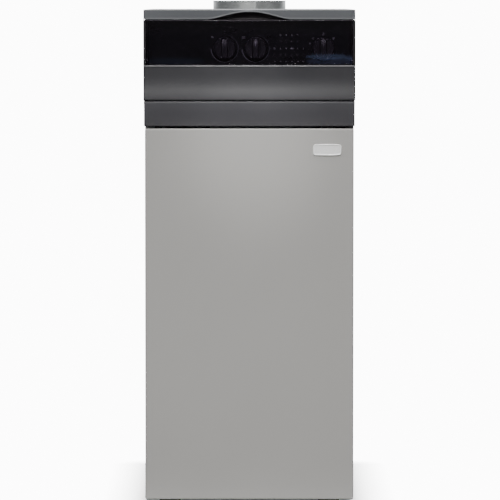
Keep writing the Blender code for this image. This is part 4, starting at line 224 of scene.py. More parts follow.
def curve_through(points: Points, spacing: float) -> Array:
    """A smooth line through points: cubics whose slope at each is half the step between its neighbours.

    Args:
        points: what the line passes through.
        spacing: rough distance between its points.

    Returns:
        The line's points.
    """
    p = np.array(points, float)
    p = np.concatenate((2 * p[:1] - p[1:2], p, 2 * p[-1:] - p[-2:-1]))
    parts = []
    for a, b, c, d in zip(p, p[1:], p[2:], p[3:]):
        steps = max(2, round(float(np.linalg.norm(c * MM - b * MM)) / (spacing * MM)))
        t = np.linspace(0, 1, steps, endpoint=False)[:, None]
        bend = (2 * a - 5 * b + 4 * c - d) * t**2 + (3 * b - a - 3 * c + d) * t**3
        parts.append((2 * b + (c - a) * t + bend) / 2)
    return np.concatenate([*parts, p[-2:-1]])


def carried(section: Array, path: Array, side: Point) -> Array:
    """A section carried along a path: P(i, k) = path(i) + u(k) across + v(k) out.

    across is the path's direction crossed with a fixed side, and out is that direction crossed with
    across. The first and last rows come together on the path, which closes the ends.

    Args:
        section: (u, v) pairs, one set or one for each row.
        path: points of the path.
        side: a direction that the path never takes.

    Returns:
        A grid that its columns close.
    """
    direction = np.gradient(path, axis=0)
    direction /= np.linalg.norm(direction, axis=1, keepdims=True)
    across = np.cross(direction, np.array(side))
    across /= np.linalg.norm(across, axis=1, keepdims=True)
    out = np.cross(direction, across)
    section = np.broadcast_to(section, (len(path), *section.shape[-2:]))
    body = path[:, None] + section[..., :1] * across[:, None] + section[..., 1:] * out[:, None]
    ends = np.broadcast_to(path[[0, -1], None], (2, *body.shape[1:]))
    return np.concatenate((ends[:1], body, ends[1:]))


def circle(radius: float, sides: int) -> Array:
    """A round section: radius times (cos, sin) of an angle."""
    angle = around(sides)[0]
    return radius * np.stack((np.cos(angle), np.sin(angle)), axis=-1)


def hoop(radii: Pair, half: float, angles: Pair, steps: int, axis: Axis, centre: Point) -> Array:
    """Part of a flat ring: its section's four corners turned from one angle to another.

    Args:
        radii: its outer and inner radius.
        half: half its width along the axis.
        angles: where it starts and ends, in degrees.
        steps: points along it.
        axis: the ring's axis.
        centre: the ring's middle.

    Returns:
        A grid that its columns close, with open ends.
    """
    angle = np.radians(np.linspace(*angles, steps))[:, None]
    radius = np.array([radii[0], radii[0], radii[1], radii[1]])
    along = np.array([-half, half, half, -half])
    return stand(radius * np.cos(angle), radius * np.sin(angle), along, axis, centre)


def rounded_block(low: Point, high: Point, edge: float, axis: Axis, corner: float) -> Array:
    """A closed block whose ends are rounded by inset e (1 - sin a) at e (1 - cos a).

    Args:
        low: lowest corner.
        high: highest corner.
        edge: radius e of the edges round its two ends.
        axis: the axis that its outlines are stacked along.
        corner: radius of the edges along that axis, the same as edge where it is 0.

    Returns:
        A grid that its columns close.
    """
    middle = (np.array(low) + np.array(high)) / 2
    half = (np.array(high) - np.array(low)) / 2
    across = [half[i] for i in range(3) if i != axis.value]
    depth = half[axis.value]
    turn = np.linspace(0, QUARTER, 5)
    inset = edge * (1 - np.sin(turn))
    rise = edge * (1 - np.cos(turn))
    start = np.stack((inset, rise - depth), axis=-1)
    end = np.stack((inset, depth - rise), axis=-1)[::-1]
    shape = Pressed(*across, corner or edge, axis, tuple(middle), corner_steps=4)
    return shape.shut(np.concatenate((start, end)))


def crinkle(u: Array, v: Array, seed: int, folds: int) -> Array:
    """Creased sheet between -1 and 1: the mean of sharp waves 1 - 2|sin(f . (u, v) + p)|.

    Args:
        u: first coordinate.
        v: second coordinate.
        seed: picks the waves.
        folds: how many.

    Returns:
        One height for each point.
    """
    chance = np.random.default_rng(seed)
    total = 0
    for _ in range(folds):
        angle, phase = chance.uniform(0, pi, 2)
        pitch = chance.uniform(55, 190) * MM
        total = total + 1 - 2 * np.abs(np.sin(pitch * (u * cos(angle) + v * sin(angle)) + phase))
    return total / folds


def pan_head(centre: Point, axis: Axis, way: float, radius: float, turn: float) -> Array:
    """A pan head screw with a cross recess, its flat on the sheet.

    Its height is h(r) = H sqrt(1 - 0.8 (r / R)^2), less the recess inside two crossed bars.

    Args:
        centre: the middle of its flat.
        axis: the screw's axis.
        way: 1 or -1, the side that the head stands on.
        radius: radius of the head.
        turn: how far the cross is turned.

    Returns:
        A grid that its columns close.
    """
    angle = around(24)
    share = np.array([0, 0.12, 0.2, 0.34, 0.46, 0.5, 0.62, 0.76, 0.88, 0.96, 1, 1, 0])[:, None]
    u = share * radius * np.cos(angle)
    v = share * radius * np.sin(angle)
    height = 0.6 * radius * np.sqrt(1 - 0.8 * share**2) * np.ones_like(angle)
    a = abs(u * cos(turn) + v * sin(turn))
    b = abs(v * cos(turn) - u * sin(turn))
    inside = (np.minimum(a, b) < 0.13 * radius) & (np.maximum(a, b) < 0.52 * radius)
    height = np.where(inside, height - 0.4 * radius, height)
    height[-2:] = 0
    return stand(u, v, way * height, axis, centre)


def hexagon(centre: Point, axis: Axis, start: float, end: float, limits: Rows, steps: int = 36) -> Array:
    """A hexagon bar with its corners taken off at both ends.

    A ring's radius is a hexagon's, R cos(30) / cos(a mod 60 - 30), or the chamfer's round if that is less.

    Args:
        centre: a point on its axis.
        axis: the axis.
        start: where it starts.
        end: where it ends.
        limits: (greatest radius, way in) pairs from either end to the full radius R.
        steps: points in each ring.

    Returns:
        A grid that its columns close.
    """
    angle = around(steps)
    limit, way_in = np.array([*limits, *limits[::-1]], float).T[..., None]
    flat = limits[-1][0] * cos(pi / 6) / np.cos(np.mod(angle, pi / 3) - pi / 6)
    sense = np.repeat([1, -1], len(limits))[:, None] * copysign(1, end - start)
    along = np.repeat([start, end], len(limits))[:, None] + sense * way_in
    ring = np.minimum(flat, limit)
    return stand(ring * np.cos(angle), ring * np.sin(angle), along, axis, centre)


def nut(centre: Point, axis: Axis, start: float, end: float, radius: float) -> Array:
    """A closed hexagon bar with chamfers of 0.12 of its radius."""
    chamfer = 0.12 * radius
    return hexagon(centre, axis, start, end, [(0, 0), (0.86 * radius, 0), (radius, chamfer)])


def screw_thread(axis: Axis, centre: Point, radii: Pair, span: Pair, pitch: float, depth: float) -> Array:
    """A pipe end with a thread on it: r = R - depth |2 frac(h / pitch - a / 2 pi) - 1|.

    The thread fades in over its first and last turns, and the bore closes it inside.

    Args:
        axis: the pipe's axis.
        centre: a point on it.
        radii: outer and inner radius.
        span: where the thread starts and ends.
        pitch: height of one turn.
        depth: depth of the groove.

    Returns:
        A grid that its rows and columns close.
    """
    radius, bore = radii
    start, end = span
    length = end - start
    along = np.linspace(start, end, int(length / pitch * 6))[:, None]
    angle = around(32)
    share = np.mod((along - start) / pitch - angle / (2 * pi), 1)
    fade = np.clip(np.minimum(along - start, end - along) / min(pitch, length / 4), 0, 1)
    ring = radius - depth * fade * np.abs(2 * share - 1) - depth * (1 - fade) * 0.6
    outside = stand(ring * np.cos(angle), ring * np.sin(angle), along, axis, centre)
    inside = stand(bore * np.cos(angle), bore * np.sin(angle), along[[-1, 0]], axis, centre)
    return np.concatenate((outside, inside))


def put(name: str, data: bpy.types.ID) -> bpy.types.Object:
    """Makes an object that holds the data and links it to the scene."""
    made = bpy.data.objects.new(name, data)
    bpy.context.scene.collection.objects.link(made)
    return made


@dataclass
class Skin:
    """One piece's surfaces, gathered until it is made."""

    name: str
    points: list[Array] = field(default_factory=list)
    faces: list[Array] = field(default_factory=list)
    wraps: list[Array] = field(default_factory=list)
    count: int = 0

    def lay(
        self, surface: Array, close_rows: bool = False, close_columns: bool = True, strands: float = 1
    ) -> "Skin":
        """Adds a grid of points and the faces between them.

        Args:
            surface: the grid of points.
            close_rows: joins the last row to the first.
            close_columns: joins the last column to the first.
            strands: what the wrap's second coordinate reaches along the rows.

        Returns:
            The skin itself, as the next methods do.
        """
        rows, columns = surface.shape[:2]
        faces = grid_faces(rows, columns, close_rows, close_columns)
        row, column = np.divmod(faces[:, 0], columns)
        corners = np.array([(0, 0), (0, 1), (1, 1), (1, 0)])
        across = (column[:, None] + corners[:, 1]) / columns
        along = (row[:, None] + corners[:, 0]) / rows * strands
        self.wraps.append(np.stack((across, along), axis=-1).reshape(-1, 2))
        self.points.append(surface.reshape(-1, 3))
        self.faces.append(faces + self.count)
        self.count += rows * columns
        return self

    def loop(self, surface: Array) -> "Skin":
        """Adds a grid whose last row joins its first."""
        return self.lay(surface, close_rows=True)

    def sealed(self, surface: Array) -> "Skin":
        """Adds a grid whose first and last rows are closed at their middles."""
        ends = surface[[0, -1]].mean(axis=1, keepdims=True) * np.ones_like(surface[[0, -1]])
        return self.lay(np.concatenate((ends[:1], surface, ends[1:])))

    def turn(self, profile: Rows, axis: Axis, places: Points, steps: int, ring: bool = False) -> "Skin":
        """Turns a profile round an axis through each place. A ring's profile is closed on itself."""
        for place in places:
            self.lay(turned(profile, axis, place, steps), close_rows=ring)
        return self

    def block(self, low: Point, high: Point, edge: float, axis: Axis = Z, corner: float = 0) -> "Skin":
        """Adds a closed block with round edges."""
        return self.lay(rounded_block(low, high, edge, axis, corner))

    def pair(self, low: Point, high: Point, edge: float, axis: Axis = Z, corner: float = 0) -> "Skin":
        """Adds a block and its mirror image across the middle plane."""
        self.block((-high[0], *low[1:]), (-low[0], *high[1:]), edge, axis, corner)
        return self.block(low, high, edge, axis, corner)

    def heads(self, places: Sequence[Sequence[float]], axis: Axis, way: float, radius: float) -> "Skin":
        """Adds a pan head at each (x, depth, z, turn of its cross)."""
        for *place, turn in places:
            self.lay(pan_head(place, axis, way, radius, turn))
        return self

    def piece(
        self, finish: "Finish", body: str = "casing", crease: float = 35, node: str | None = None
    ) -> bpy.types.Object:
        """Makes the mesh, closes its seams and poles, turns its faces out and lets it ride.

        Args:
            finish: what it is dressed in.
            body: the CAD body that it moves with.
            crease: the angle past which an edge stays sharp.
            node: the CAD node that it stands for.

        Returns:
            The piece, with its place in its mesh.
        """
        mesh = bpy.data.meshes.new(self.name)
        points = np.concatenate(self.points) * MM + (0, FRONT_Y, 0)
        mesh.from_pydata(points, [], np.concatenate(self.faces))
        mesh.uv_layers.new(name="wrap").uv.foreach_set("vector", np.concatenate(self.wraps).ravel())
        working = bmesh.new()
        working.from_mesh(mesh)
        bmesh.ops.remove_doubles(working, verts=working.verts, dist=1e-6)
        bmesh.ops.dissolve_degenerate(working, edges=working.edges, dist=1e-7)
        bmesh.ops.recalc_face_normals(working, faces=working.faces)
        working.to_mesh(mesh)
        working.free()
        mesh.shade_smooth()
        mesh.set_sharp_from_angle(angle=radians(crease))
        mesh.materials.append(finish.material())
        made = put(self.name, mesh)
        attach(made, body)
        made.modifiers.new("flat_faces", "WEIGHTED_NORMAL").keep_sharp = True
        if node:
            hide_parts(node)
        LOG.info("made %s: %d faces, rides on %s", self.name, len(mesh.polygons), body)
        return made


# Finishes


class Graph:
    """A node tree, with short ways to add what the finishes share."""

    def __init__(self, tree: bpy.types.NodeTree) -> None:
        """Empties the tree and keeps its coordinates to hand.

        Args:
            tree: the node tree.
        """
        self.tree = tree
        tree.nodes.clear()
        coordinates = self.add("ShaderNodeTexCoord").outputs
        self.place = coordinates["Object"]
        self.wrap = coordinates["UV"]
        self.direction = coordinates["Generated"]

    def add(self, kind: str, inputs: dict[str | int, Value] | None = None, **settings: object) -> Node:
        """Adds a node.

        Args:
            kind: its type.
            inputs: sockets to link or values to set, by an input's name or number.
            settings: its properties.

        Returns:
            The node.
        """
        node = self.tree.nodes.new(kind)
        for key, value in settings.items():
            setattr(node, key, value)
        for key, value in (inputs or {}).items():
            socket = node.inputs[key]
            if isinstance(value, Socket):
                self.tree.links.new(value, socket)
            else:
                socket.default_value = (*value, 1) if socket.type == "RGBA" else value
        return node

    def scaled(self, scale: Point, turn: Point = ORIGIN) -> Socket:
        """Object coordinates, turned and then stretched."""
        inputs = {"Vector": self.place, "Rotation": turn, "Scale": scale}
        return self.add("ShaderNodeMapping", inputs).outputs["Vector"]

    def noise(self, scale: float, detail: float = 4, vector: Value = None, distortion: float = 0) -> Socket:
        """Noise between 0 and 1 with that many waves in a metre."""
        inputs = {"Vector": vector or self.place, "Scale": scale, "Detail": detail, "Distortion": distortion}
        return self.add("ShaderNodeTexNoise", inputs).outputs["Fac"]

    def cells(self, scale: float, output: str = "Distance", vector: Value = None, **settings: str) -> Value:
        """Cells about 1 / scale metres wide: how far a point is from one, or its colour."""
        inputs = {"Vector": vector or self.place, "Scale": scale}
        return self.add("ShaderNodeTexVoronoi", inputs, **settings).outputs[output]

    def ranged(
        self, value: Value, low: float, high: float, start: float = 0, end: float = 1, **settings: str
    ) -> Value:
        """A value's range from low to high, spread from start to end and held there."""
        inputs = {"Value": value, "From Min": low, "From Max": high, "To Min": start, "To Max": end}
        return self.add("ShaderNodeMapRange", inputs, **settings).outputs["Result"]

    def even(self, value: Value, start: float, end: float) -> Value:
        """Noise's usual range, 0.3 to 0.7, spread from start to end."""
        return self.ranged(value, 0.3, 0.7, start, end)

    def reckon(self, operation: str, first: Value, second: Value = 0) -> Socket:
        """One step of arithmetic."""
        return self.add("ShaderNodeMath", {0: first, 1: second}, operation=operation).outputs["Value"]

    def part(self, vector: Value, axis: Axis) -> Socket:
        """One coordinate of a vector."""
        return self.add("ShaderNodeSeparateXYZ", {"Vector": vector}).outputs[axis.name]

    def mixed(self, share: Value, first: Value, second: Value) -> Socket:
        """A colour between two."""
        return self.add("ShaderNodeMix", {0: share, 6: first, 7: second}, data_type="RGBA").outputs[2]

    def blend(self, share: Value, first: Node, second: Node) -> Node:
        """A surface between two."""
        return self.add("ShaderNodeMixShader", {0: share, 1: first.outputs[0], 2: second.outputs[0]})

    def bumped(self, height: Value, depth: float, under: Value = None) -> Socket:
        """A normal from a height.

        Args:
            height: the height, from 0 to 1.
            depth: what a height of 1 stands for, in metres.
            under: the normal of a bump under this one.

        Returns:
            The normal.
        """
        inputs = {"Height": height, "Distance": depth, "Strength": 1}
        if under is not None:
            inputs["Normal"] = under
        return self.add("ShaderNodeBump", inputs).outputs["Normal"]

    def shine(self, colour: Value, roughness: Value, normal: Value, **others: Value) -> None:
        """The surface itself. Words in a further name are joined by an underscore."""
        inputs = {"Base Color": colour, "Roughness": roughness, "Normal": normal}
        inputs.update({name.replace("_", " "): value for name, value in others.items()})
        self.end(self.add("ShaderNodeBsdfPrincipled", inputs))

    def end(self, shader: Node, output: str = "ShaderNodeOutputMaterial") -> None:
        """Links a shader to the output."""
        self.add(output, {"Surface": shader.outputs[0]})


def tinted(colour: Point, share: float) -> Point:
    """A colour made lighter or darker by a share of itself."""
    return tuple(min(1, c * (1 + share)) for c in colour)


@dataclass(frozen=True)
class Finish:
    """What a piece is dressed in: its name, its slot and its base colour."""

    name: str
    slot: str
    colour: Point

    @cache
    def material(self) -> bpy.types.Material:
        """Makes the material at its first use and then shares it.

        Returns:
            The material.
        """
        made = bpy.data.materials.new(self.name)
        made.use_nodes = True
        self.build(Graph(made.node_tree))
        return made

    def build(self, graph: Graph) -> None:
        """Adds the finish's nodes to an empty graph."""
        raise NotImplementedError

    def mottled(self, graph: Graph, fine: float, coarse: float, spread: float) -> Socket:
        """The base colour, varied a little by fine and by coarse noise."""
        near = graph.mixed(graph.noise(fine), tinted(self.colour, -spread), tinted(self.colour, spread))
        cloud = graph.ranged(graph.noise(coarse, 6), 0.35, 0.75, 0, 0.5)
        return graph.mixed(cloud, near, tinted(self.colour, 1.5 * spread))


@dataclass(frozen=True)
class PowderPaint(Finish):
    """Baked powder paint: a soft orange peel, fine flake and a trace of dust."""

    roughness: float = 0.42
    peel: float = 20e-6

    def build(self, graph: Graph) -> None:
        """Peel about 2 mm across under grain of about 0.4 mm, with wiped gloss.

        Args:
            graph: the nodes.
        """
        peel = graph.bumped(graph.noise(420, 2), self.peel)
        wipe = graph.noise(7, 5, graph.scaled((1, 1, 0.35)), 0.6)
        rough = graph.even(wipe, self.roughness - 0.05, self.roughness + 0.06)
        normal = graph.bumped(graph.noise(2600, 3), self.peel * 0.35, peel)
        graph.shine(self.mottled(graph, 750, 5, 0.04), rough, normal)


@dataclass(frozen=True)
class Moulded(Finish):
    """Moulded plastic with a spark-eroded grain."""

    roughness: float = 0.45
    grain: float = 30e-6

    def build(self, graph: Graph) -> None:
        """Cells under 1 mm across with finer noise on them, and cloudy gloss.

        Args:
            graph: the nodes.
        """
        cells = graph.bumped(graph.cells(1500), self.grain)
        rough = graph.even(graph.noise(16, 5), self.roughness - 0.06, self.roughness + 0.05)
        normal = graph.bumped(graph.noise(3800, 3), self.grain * 0.4, cells)
        graph.shine(self.mottled(graph, 900, 9, 0.05), rough, normal)


@dataclass(frozen=True)
class Polished(Finish):
    """Smooth gloss plastic with hair-fine wiping marks."""

    roughness: float = 0.18

    def build(self, graph: Graph) -> None:
        """Gloss streaked along the wiping, over very slow waves.

        Args:
            graph: the nodes.
        """
        marks = graph.ranged(graph.noise(45, 6, graph.scaled((1, 1, 2.5), (0, 0.5, 0))), 0.45, 0.7, 0, 0.03)
        rough = graph.reckon("ADD", marks, graph.even(graph.noise(18), 0, 0.05))
        rough = graph.reckon("ADD", rough, self.roughness)
        graph.shine(self.mottled(graph, 700, 12, 0.06), rough, graph.bumped(graph.noise(30, 1), 2e-6))


@dataclass(frozen=True)
class Smoked(Finish):
    """Smoked acrylic: it lets a share of the light through and keeps a polished face."""

    passes: float = 0.35
    dust_and_reflection: float = 0.0035

    def build(self, graph: Graph) -> None:
        """A clear tint with faint streaks and a faint diffuse dust layer, under a polished face. Towards the
        top edge the layer thickens as a painted reflection.

        Args:
            graph: the nodes.
        """
        streak = graph.noise(9, 4, graph.scaled((0.4, 1, 1)))
        low = tinted(self.colour, self.passes - 1)
        clear = {"Color": graph.mixed(graph.even(streak, 0, 1), low, tinted(low, 0.08))}
        # A faint dust layer that thickens towards the top edge, where it is a painted reflection.
        dust_and_reflection_share = graph.ranged(graph.part(graph.place, Z), 0.79, 0.816, self.dust_and_reflection, 3.5 * self.dust_and_reflection)
        dust_and_reflection = graph.add("ShaderNodeBsdfDiffuse", {"Color": (0.4, 0.37, 0.42)})
        body = graph.blend(dust_and_reflection_share, graph.add("ShaderNodeBsdfTransparent", clear), dust_and_reflection)
        smear = graph.ranged(graph.noise(22, 6, None, 0.8), 0.4, 0.7, 0.01, 0.02)
        polish = graph.bumped(graph.noise(9, 1), 3e-6)
        gloss = graph.add("ShaderNodeBsdfGlossy", {"Color": (1, 1, 1), "Roughness": smear, "Normal": polish})
        graph.end(graph.blend(graph.add("ShaderNodeFresnel", {"IOR": 1.49}).outputs["Fac"], body, gloss))


@dataclass(frozen=True)
class Galvanised(Finish):
    """Hot-dipped zinc sheet with its spangle."""

    roughness: float = 0.34
    spangle: float = 190
    metallic: float = 0.92

    def build(self, graph: Graph) -> None:
        """Each cell has its own tone and gloss, with a dull bloom over some.

        Args:
            graph: the nodes.
        """
        tone = graph.part(graph.cells(self.spangle, "Color"), X)
        edge = graph.ranged(graph.cells(self.spangle, feature="DISTANCE_TO_EDGE"), 0, 0.12)
        bloom = graph.ranged(graph.noise(14, 7), 0.45, 0.75, 0, 0.4)
        spread = graph.mixed(tone, tinted(self.colour, -0.07), tinted(self.colour, 0.06))
        scratch = graph.bumped(graph.noise(900, 3, graph.scaled((0.05, 1, 1))), 4e-6)
        rough = graph.reckon("ADD", graph.ranged(tone, 0, 1, -0.03, 0.03), self.roughness)
        rough = graph.reckon("ADD", rough, graph.reckon("MULTIPLY", bloom, 0.1))
        colour = graph.mixed(bloom, spread, tinted(self.colour, 0.04))
        graph.shine(colour, rough, graph.bumped(edge, 4e-6, scratch), Metallic=self.metallic)


@dataclass(frozen=True)
class Plated(Finish):
    """Bright plated, brushed or heat-dulled steel."""

    roughness: float = 0.27
    grain: Point = (1, 1, 0.06)
    heat: float = 0
    warm: Point = (0.42, 0.33, 0.22)
    metallic: float = 1

    def build(self, graph: Graph) -> None:
        """Scratches along one direction. Heat adds straw and slate clouds.

        Args:
            graph: the nodes.
        """
        drawn = graph.noise(1400, 4, graph.scaled(self.grain))
        cloud = graph.noise(11, 6, None, 0.5)
        base = self.mottled(graph, 500, 18, 0.07)
        if self.heat:
            base = graph.mixed(graph.ranged(cloud, 0.42, 0.62, 0, self.heat), base, self.warm)
            slate = graph.ranged(graph.noise(16, 5, None, 0.9), 0.5, 0.7, 0, 0.7 * self.heat)
            base = graph.mixed(slate, base, (0.16, 0.18, 0.24))
        rough = graph.reckon("ADD", graph.ranged(drawn, 0.35, 0.65, -0.05, 0.08), self.roughness)
        rough = graph.reckon("ADD", rough, graph.ranged(cloud, 0.5, 0.7, 0, 0.12))
        graph.shine(base, rough, graph.bumped(drawn, 12e-6), Metallic=self.metallic)


@dataclass(frozen=True)
class Cast(Finish):
    """Sand-cast iron or die-cast metal."""

    roughness: float = 0.72
    metallic: float = 0.35
    pit: float = 0.00035
    pitch: float = 260
    rust: float = 0.35
    bloom: Point = (0.115, 0.045, 0.02)

    def build(self, graph: Graph) -> None:
        """A sand skin over pits, with a bloom in clouds.

        Args:
            graph: the nodes.
        """
        sand = graph.noise(self.pitch, 8)
        skin = graph.reckon("MULTIPLY", sand, graph.ranged(graph.cells(self.pitch * 0.6), 0.05, 0.35))
        stain = graph.ranged(graph.noise(13, 8, None, 0.4), 0.48, 0.7, 0, self.rust)
        colour = graph.mixed(stain, self.mottled(graph, 320, 10, 0.12), self.bloom)
        rough = graph.even(sand, self.roughness + 0.08, self.roughness - 0.08)
        graph.shine(colour, rough, graph.bumped(skin, self.pit), Metallic=self.metallic)


@dataclass(frozen=True)
class Foil(Finish):
    """Aluminium foil on a glass net, over mineral wool."""

    net: float = 0.0127

    def build(self, graph: Graph) -> None:
        """Fine creases, and a net's yarns 12.7 mm apart: |frac(p / net) - 1/2| close to 1/2.

        Args:
            graph: the nodes.
        """
        sheet = graph.scaled((1, 1, 1.3), (0.4, 0.3, 0.2))
        sharp = graph.ranged(graph.cells(75, vector=sheet, feature="DISTANCE_TO_EDGE"), 0, 0.3)
        x, y, z = (graph.part(graph.place, axis) for axis in Axis)
        yarns = []
        for along in (graph.reckon("ADD", x, y), z):
            share = graph.reckon("FRACT", graph.reckon("MULTIPLY", along, 1 / self.net))
            apart = graph.reckon("ABSOLUTE", graph.reckon("SUBTRACT", share, 0.5))
            yarns.append(graph.ranged(apart, 0.43, 0.5))
        net = graph.bumped(graph.reckon("MAXIMUM", *yarns), 80e-6)
        normal = graph.bumped(sharp, 0.00012, graph.bumped(graph.noise(60, 3, None, 0.8), 0.0008, net))
        rough = graph.even(graph.noise(24, 5), 0.28, 0.42)
        graph.shine(self.mottled(graph, 240, 16, 0.06), rough, normal, Metallic=0.95)


@dataclass(frozen=True)
class Fibre(Finish):
    """Pressed fibre board: matt, speckled and soft."""

    depth: float = 0.0004
    pitch: float = 420
    speck: Point = (0.33, 0.3, 0.26)

    def build(self, graph: Graph) -> None:
        """Fibres from stretched noise, and specks at the middles of fine cells.

        Args:
            graph: the nodes.
        """
        strand = graph.noise(self.pitch, 8, graph.scaled((1, 0.3, 0.6), (0.5, 0.2, 0.7)), 1.5)
        speck = graph.ranged(graph.cells(self.pitch * 0.9), 0.1, 0.22, 0.7, 0)
        colour = graph.mixed(speck, self.mottled(graph, self.pitch, 14, 0.08), self.speck)
        graph.shine(colour, graph.even(strand, 0.82, 0.96), graph.bumped(strand, self.depth))


@dataclass(frozen=True)
class Laminate(Finish):
    """Green circuit board with tracks under its mask and tinned pads on it."""

    def build(self, graph: Graph) -> None:
        """Square cells give the tracks, and smaller cells' middles the pads.

        Args:
            graph: the nodes.
        """
        face = graph.scaled((1, 0, 1))
        track = graph.ranged(graph.cells(230, vector=face, distance="CHEBYCHEV"), 0.3, 0.34)
        pad = graph.ranged(graph.cells(400, vector=face), 0.12, 0.15, 1, 0)
        green = graph.mixed(track, self.colour, tinted(self.colour, -0.45))
        normal = graph.bumped(graph.reckon("ADD", track, pad), 60e-6)
        rough = graph.even(graph.noise(60), 0.28, 0.4)
        graph.shine(graph.mixed(pad, green, (0.6, 0.6, 0.58)), rough, normal, Metallic=pad)


@dataclass(frozen=True)
class Glaze(Finish):
    """Glazed white ceramic."""

    def build(self, graph: Graph) -> None:
        """A wet gloss over a slightly uneven body with a few iron specks.

        Args:
            graph: the nodes.
        """
        speck = graph.ranged(graph.cells(260), 0.04, 0.07, 0.8, 0)
        colour = graph.mixed(speck, self.mottled(graph, 200, 30, 0.04), (0.2, 0.16, 0.12))
        normal = graph.bumped(graph.noise(110, 2), 80e-6)
        graph.shine(colour, graph.even(graph.noise(40), 0.1, 0.17), normal, Coat_Weight=0.6)


@dataclass(frozen=True)
class Rubber(Finish):
    """Matt rubber or a soft cable jacket with dust in its pores."""

    roughness: float = 0.7

    def build(self, graph: Graph) -> None:
        """Pores under 1 mm across, and dust as a lighter cloud.

        Args:
            graph: the nodes.
        """
        pore = graph.noise(1300, 6)
        dust = graph.ranged(graph.noise(45, 8), 0.5, 0.75, 0, 0.35)
        light = tuple(0.5 * c + 0.06 for c in self.colour)
        colour = graph.mixed(dust, self.mottled(graph, 800, 20, 0.08), light)
        rough = graph.even(pore, self.roughness - 0.06, self.roughness + 0.1)
        graph.shine(colour, rough, graph.bumped(pore, 40e-6))


@dataclass(frozen=True)
class Braid(Finish):
    """A woven sleeve: strands that cross on the piece's own wrap."""

    strand: Point = (0.3, 0.3, 0.31)

    def build(self, graph: Graph) -> None:
        """h = max(|sin(pi (8u + v))|, |sin(pi (8u - v))|).

        Args:
            graph: the nodes.
        """
        around = graph.reckon("MULTIPLY", graph.part(graph.wrap, X), 8)
        along = graph.part(graph.wrap, Y)
        strands = []
        for operation in ("ADD", "SUBTRACT"):
            phase = graph.reckon("MULTIPLY", graph.reckon(operation, around, along), pi)
            strands.append(graph.reckon("ABSOLUTE", graph.reckon("SINE", phase)))
        weave = graph.reckon("MAXIMUM", *strands)
        colour = graph.mixed(graph.ranged(weave, 0.5, 1), tinted(self.colour, -0.5), self.strand)
        graph.shine(colour, graph.even(graph.noise(2500, 3), 0.6, 0.8), graph.bumped(weave, 0.0003))


@dataclass(frozen=True)
class Ink(Finish):
    """A printed mark: flat ink with a worn grain."""

    def build(self, graph: Graph) -> None:
        """Ink that is a little thinner in places.

        Args:
            graph: the nodes.
        """
        thin = graph.even(graph.noise(1500), 0, 0.3)
        colour = graph.mixed(thin, self.colour, tinted(self.colour, -0.4))
        graph.shine(colour, graph.even(graph.noise(300), 0.45, 0.6), graph.bumped(thin, 10e-6))


@dataclass(frozen=True)
class Clear(Finish):
    """A small clear moulding: a lamp lens or a sight glass."""

    passes: float = 0.6

    def build(self, graph: Graph) -> None:
        """Tinted, see-through plastic or glass with faint flow lines.

        Args:
            graph: the nodes.
        """
        flow = graph.noise(300, 3, graph.scaled((1, 1, 0.3)))
        colour = self.mottled(graph, 400, 30, 0.05)
        rough = graph.even(flow, 0.04, 0.14)
        normal = graph.bumped(flow, 20e-6)
        graph.shine(colour, rough, normal, Transmission_Weight=self.passes, IOR=1.5)


# The boiler's own finishes

DOOR_PAINT = PowderPaint("door_powder_paint", "door_paint", (0.37, 0.364, 0.352), 0.44, 14e-6)
COVER_PAINT = PowderPaint("cover_powder_paint", "cover_paint", (0.088, 0.0935, 0.102), 0.36, 16e-6)
GAS_PAINT = PowderPaint("yellow_gas_paint", "gas_paint", (0.62, 0.48, 0.05), 0.34, 60e-6)
PIPE_PAINT = PowderPaint("dark_pipe_paint", "pipe", (0.05, 0.05, 0.053), 0.5, 60e-6)
# The fascia band and the lower trim are one graphite plastic. The band's copy is darker and the trim's
# lighter, painting the difference in light between them.
SHADED_FASCIA_PLASTIC = Moulded("shaded_graphite_fascia_plastic", "fascia", (0.029, 0.0286, 0.033), 0.36, 12e-6)
LIT_TRIM_PLASTIC = Moulded("lit_graphite_trim_plastic", "fascia", (0.053, 0.0523, 0.059), 0.38, 12e-6)
# A lighter copy of the fascia plastic for the band's lip: a painted highlight of the ledge catching light
# from above.
HIGHLIGHT_LIP_PLASTIC = Moulded("painted_highlight_lip_plastic", "fascia", (0.15, 0.148, 0.156), 0.26, 6e-6)
CHEEK_PLASTIC = Moulded("black_cheek_plastic", "fascia", (0.006, 0.006, 0.007), 0.5, 30e-6)
SCOOP_PLASTIC = Moulded("dark_scoop_plastic", "fascia", (0.026, 0.021, 0.026), 0.5, 20e-6)
KNOB_PLASTIC = Moulded("black_knob_plastic", "knob", (0.018, 0.0155, 0.021), 0.36, 8e-6)
HOUSING_PLASTIC = Moulded("black_housing_plastic", "housing", (0.03, 0.03, 0.031), 0.48, 40e-6)
WHITE_PLASTIC = Moulded("white_connector_plastic", "board", (0.7, 0.69, 0.64), 0.4, 30e-6)
PLATE_GLOSS = Polished("black_control_plate", "plate", (0.005, 0.005, 0.007), 0.26)
SMOKED_ACRYLIC = Smoked("smoked_acrylic", "smoked", (0.97, 0.93, 1), 0.72)
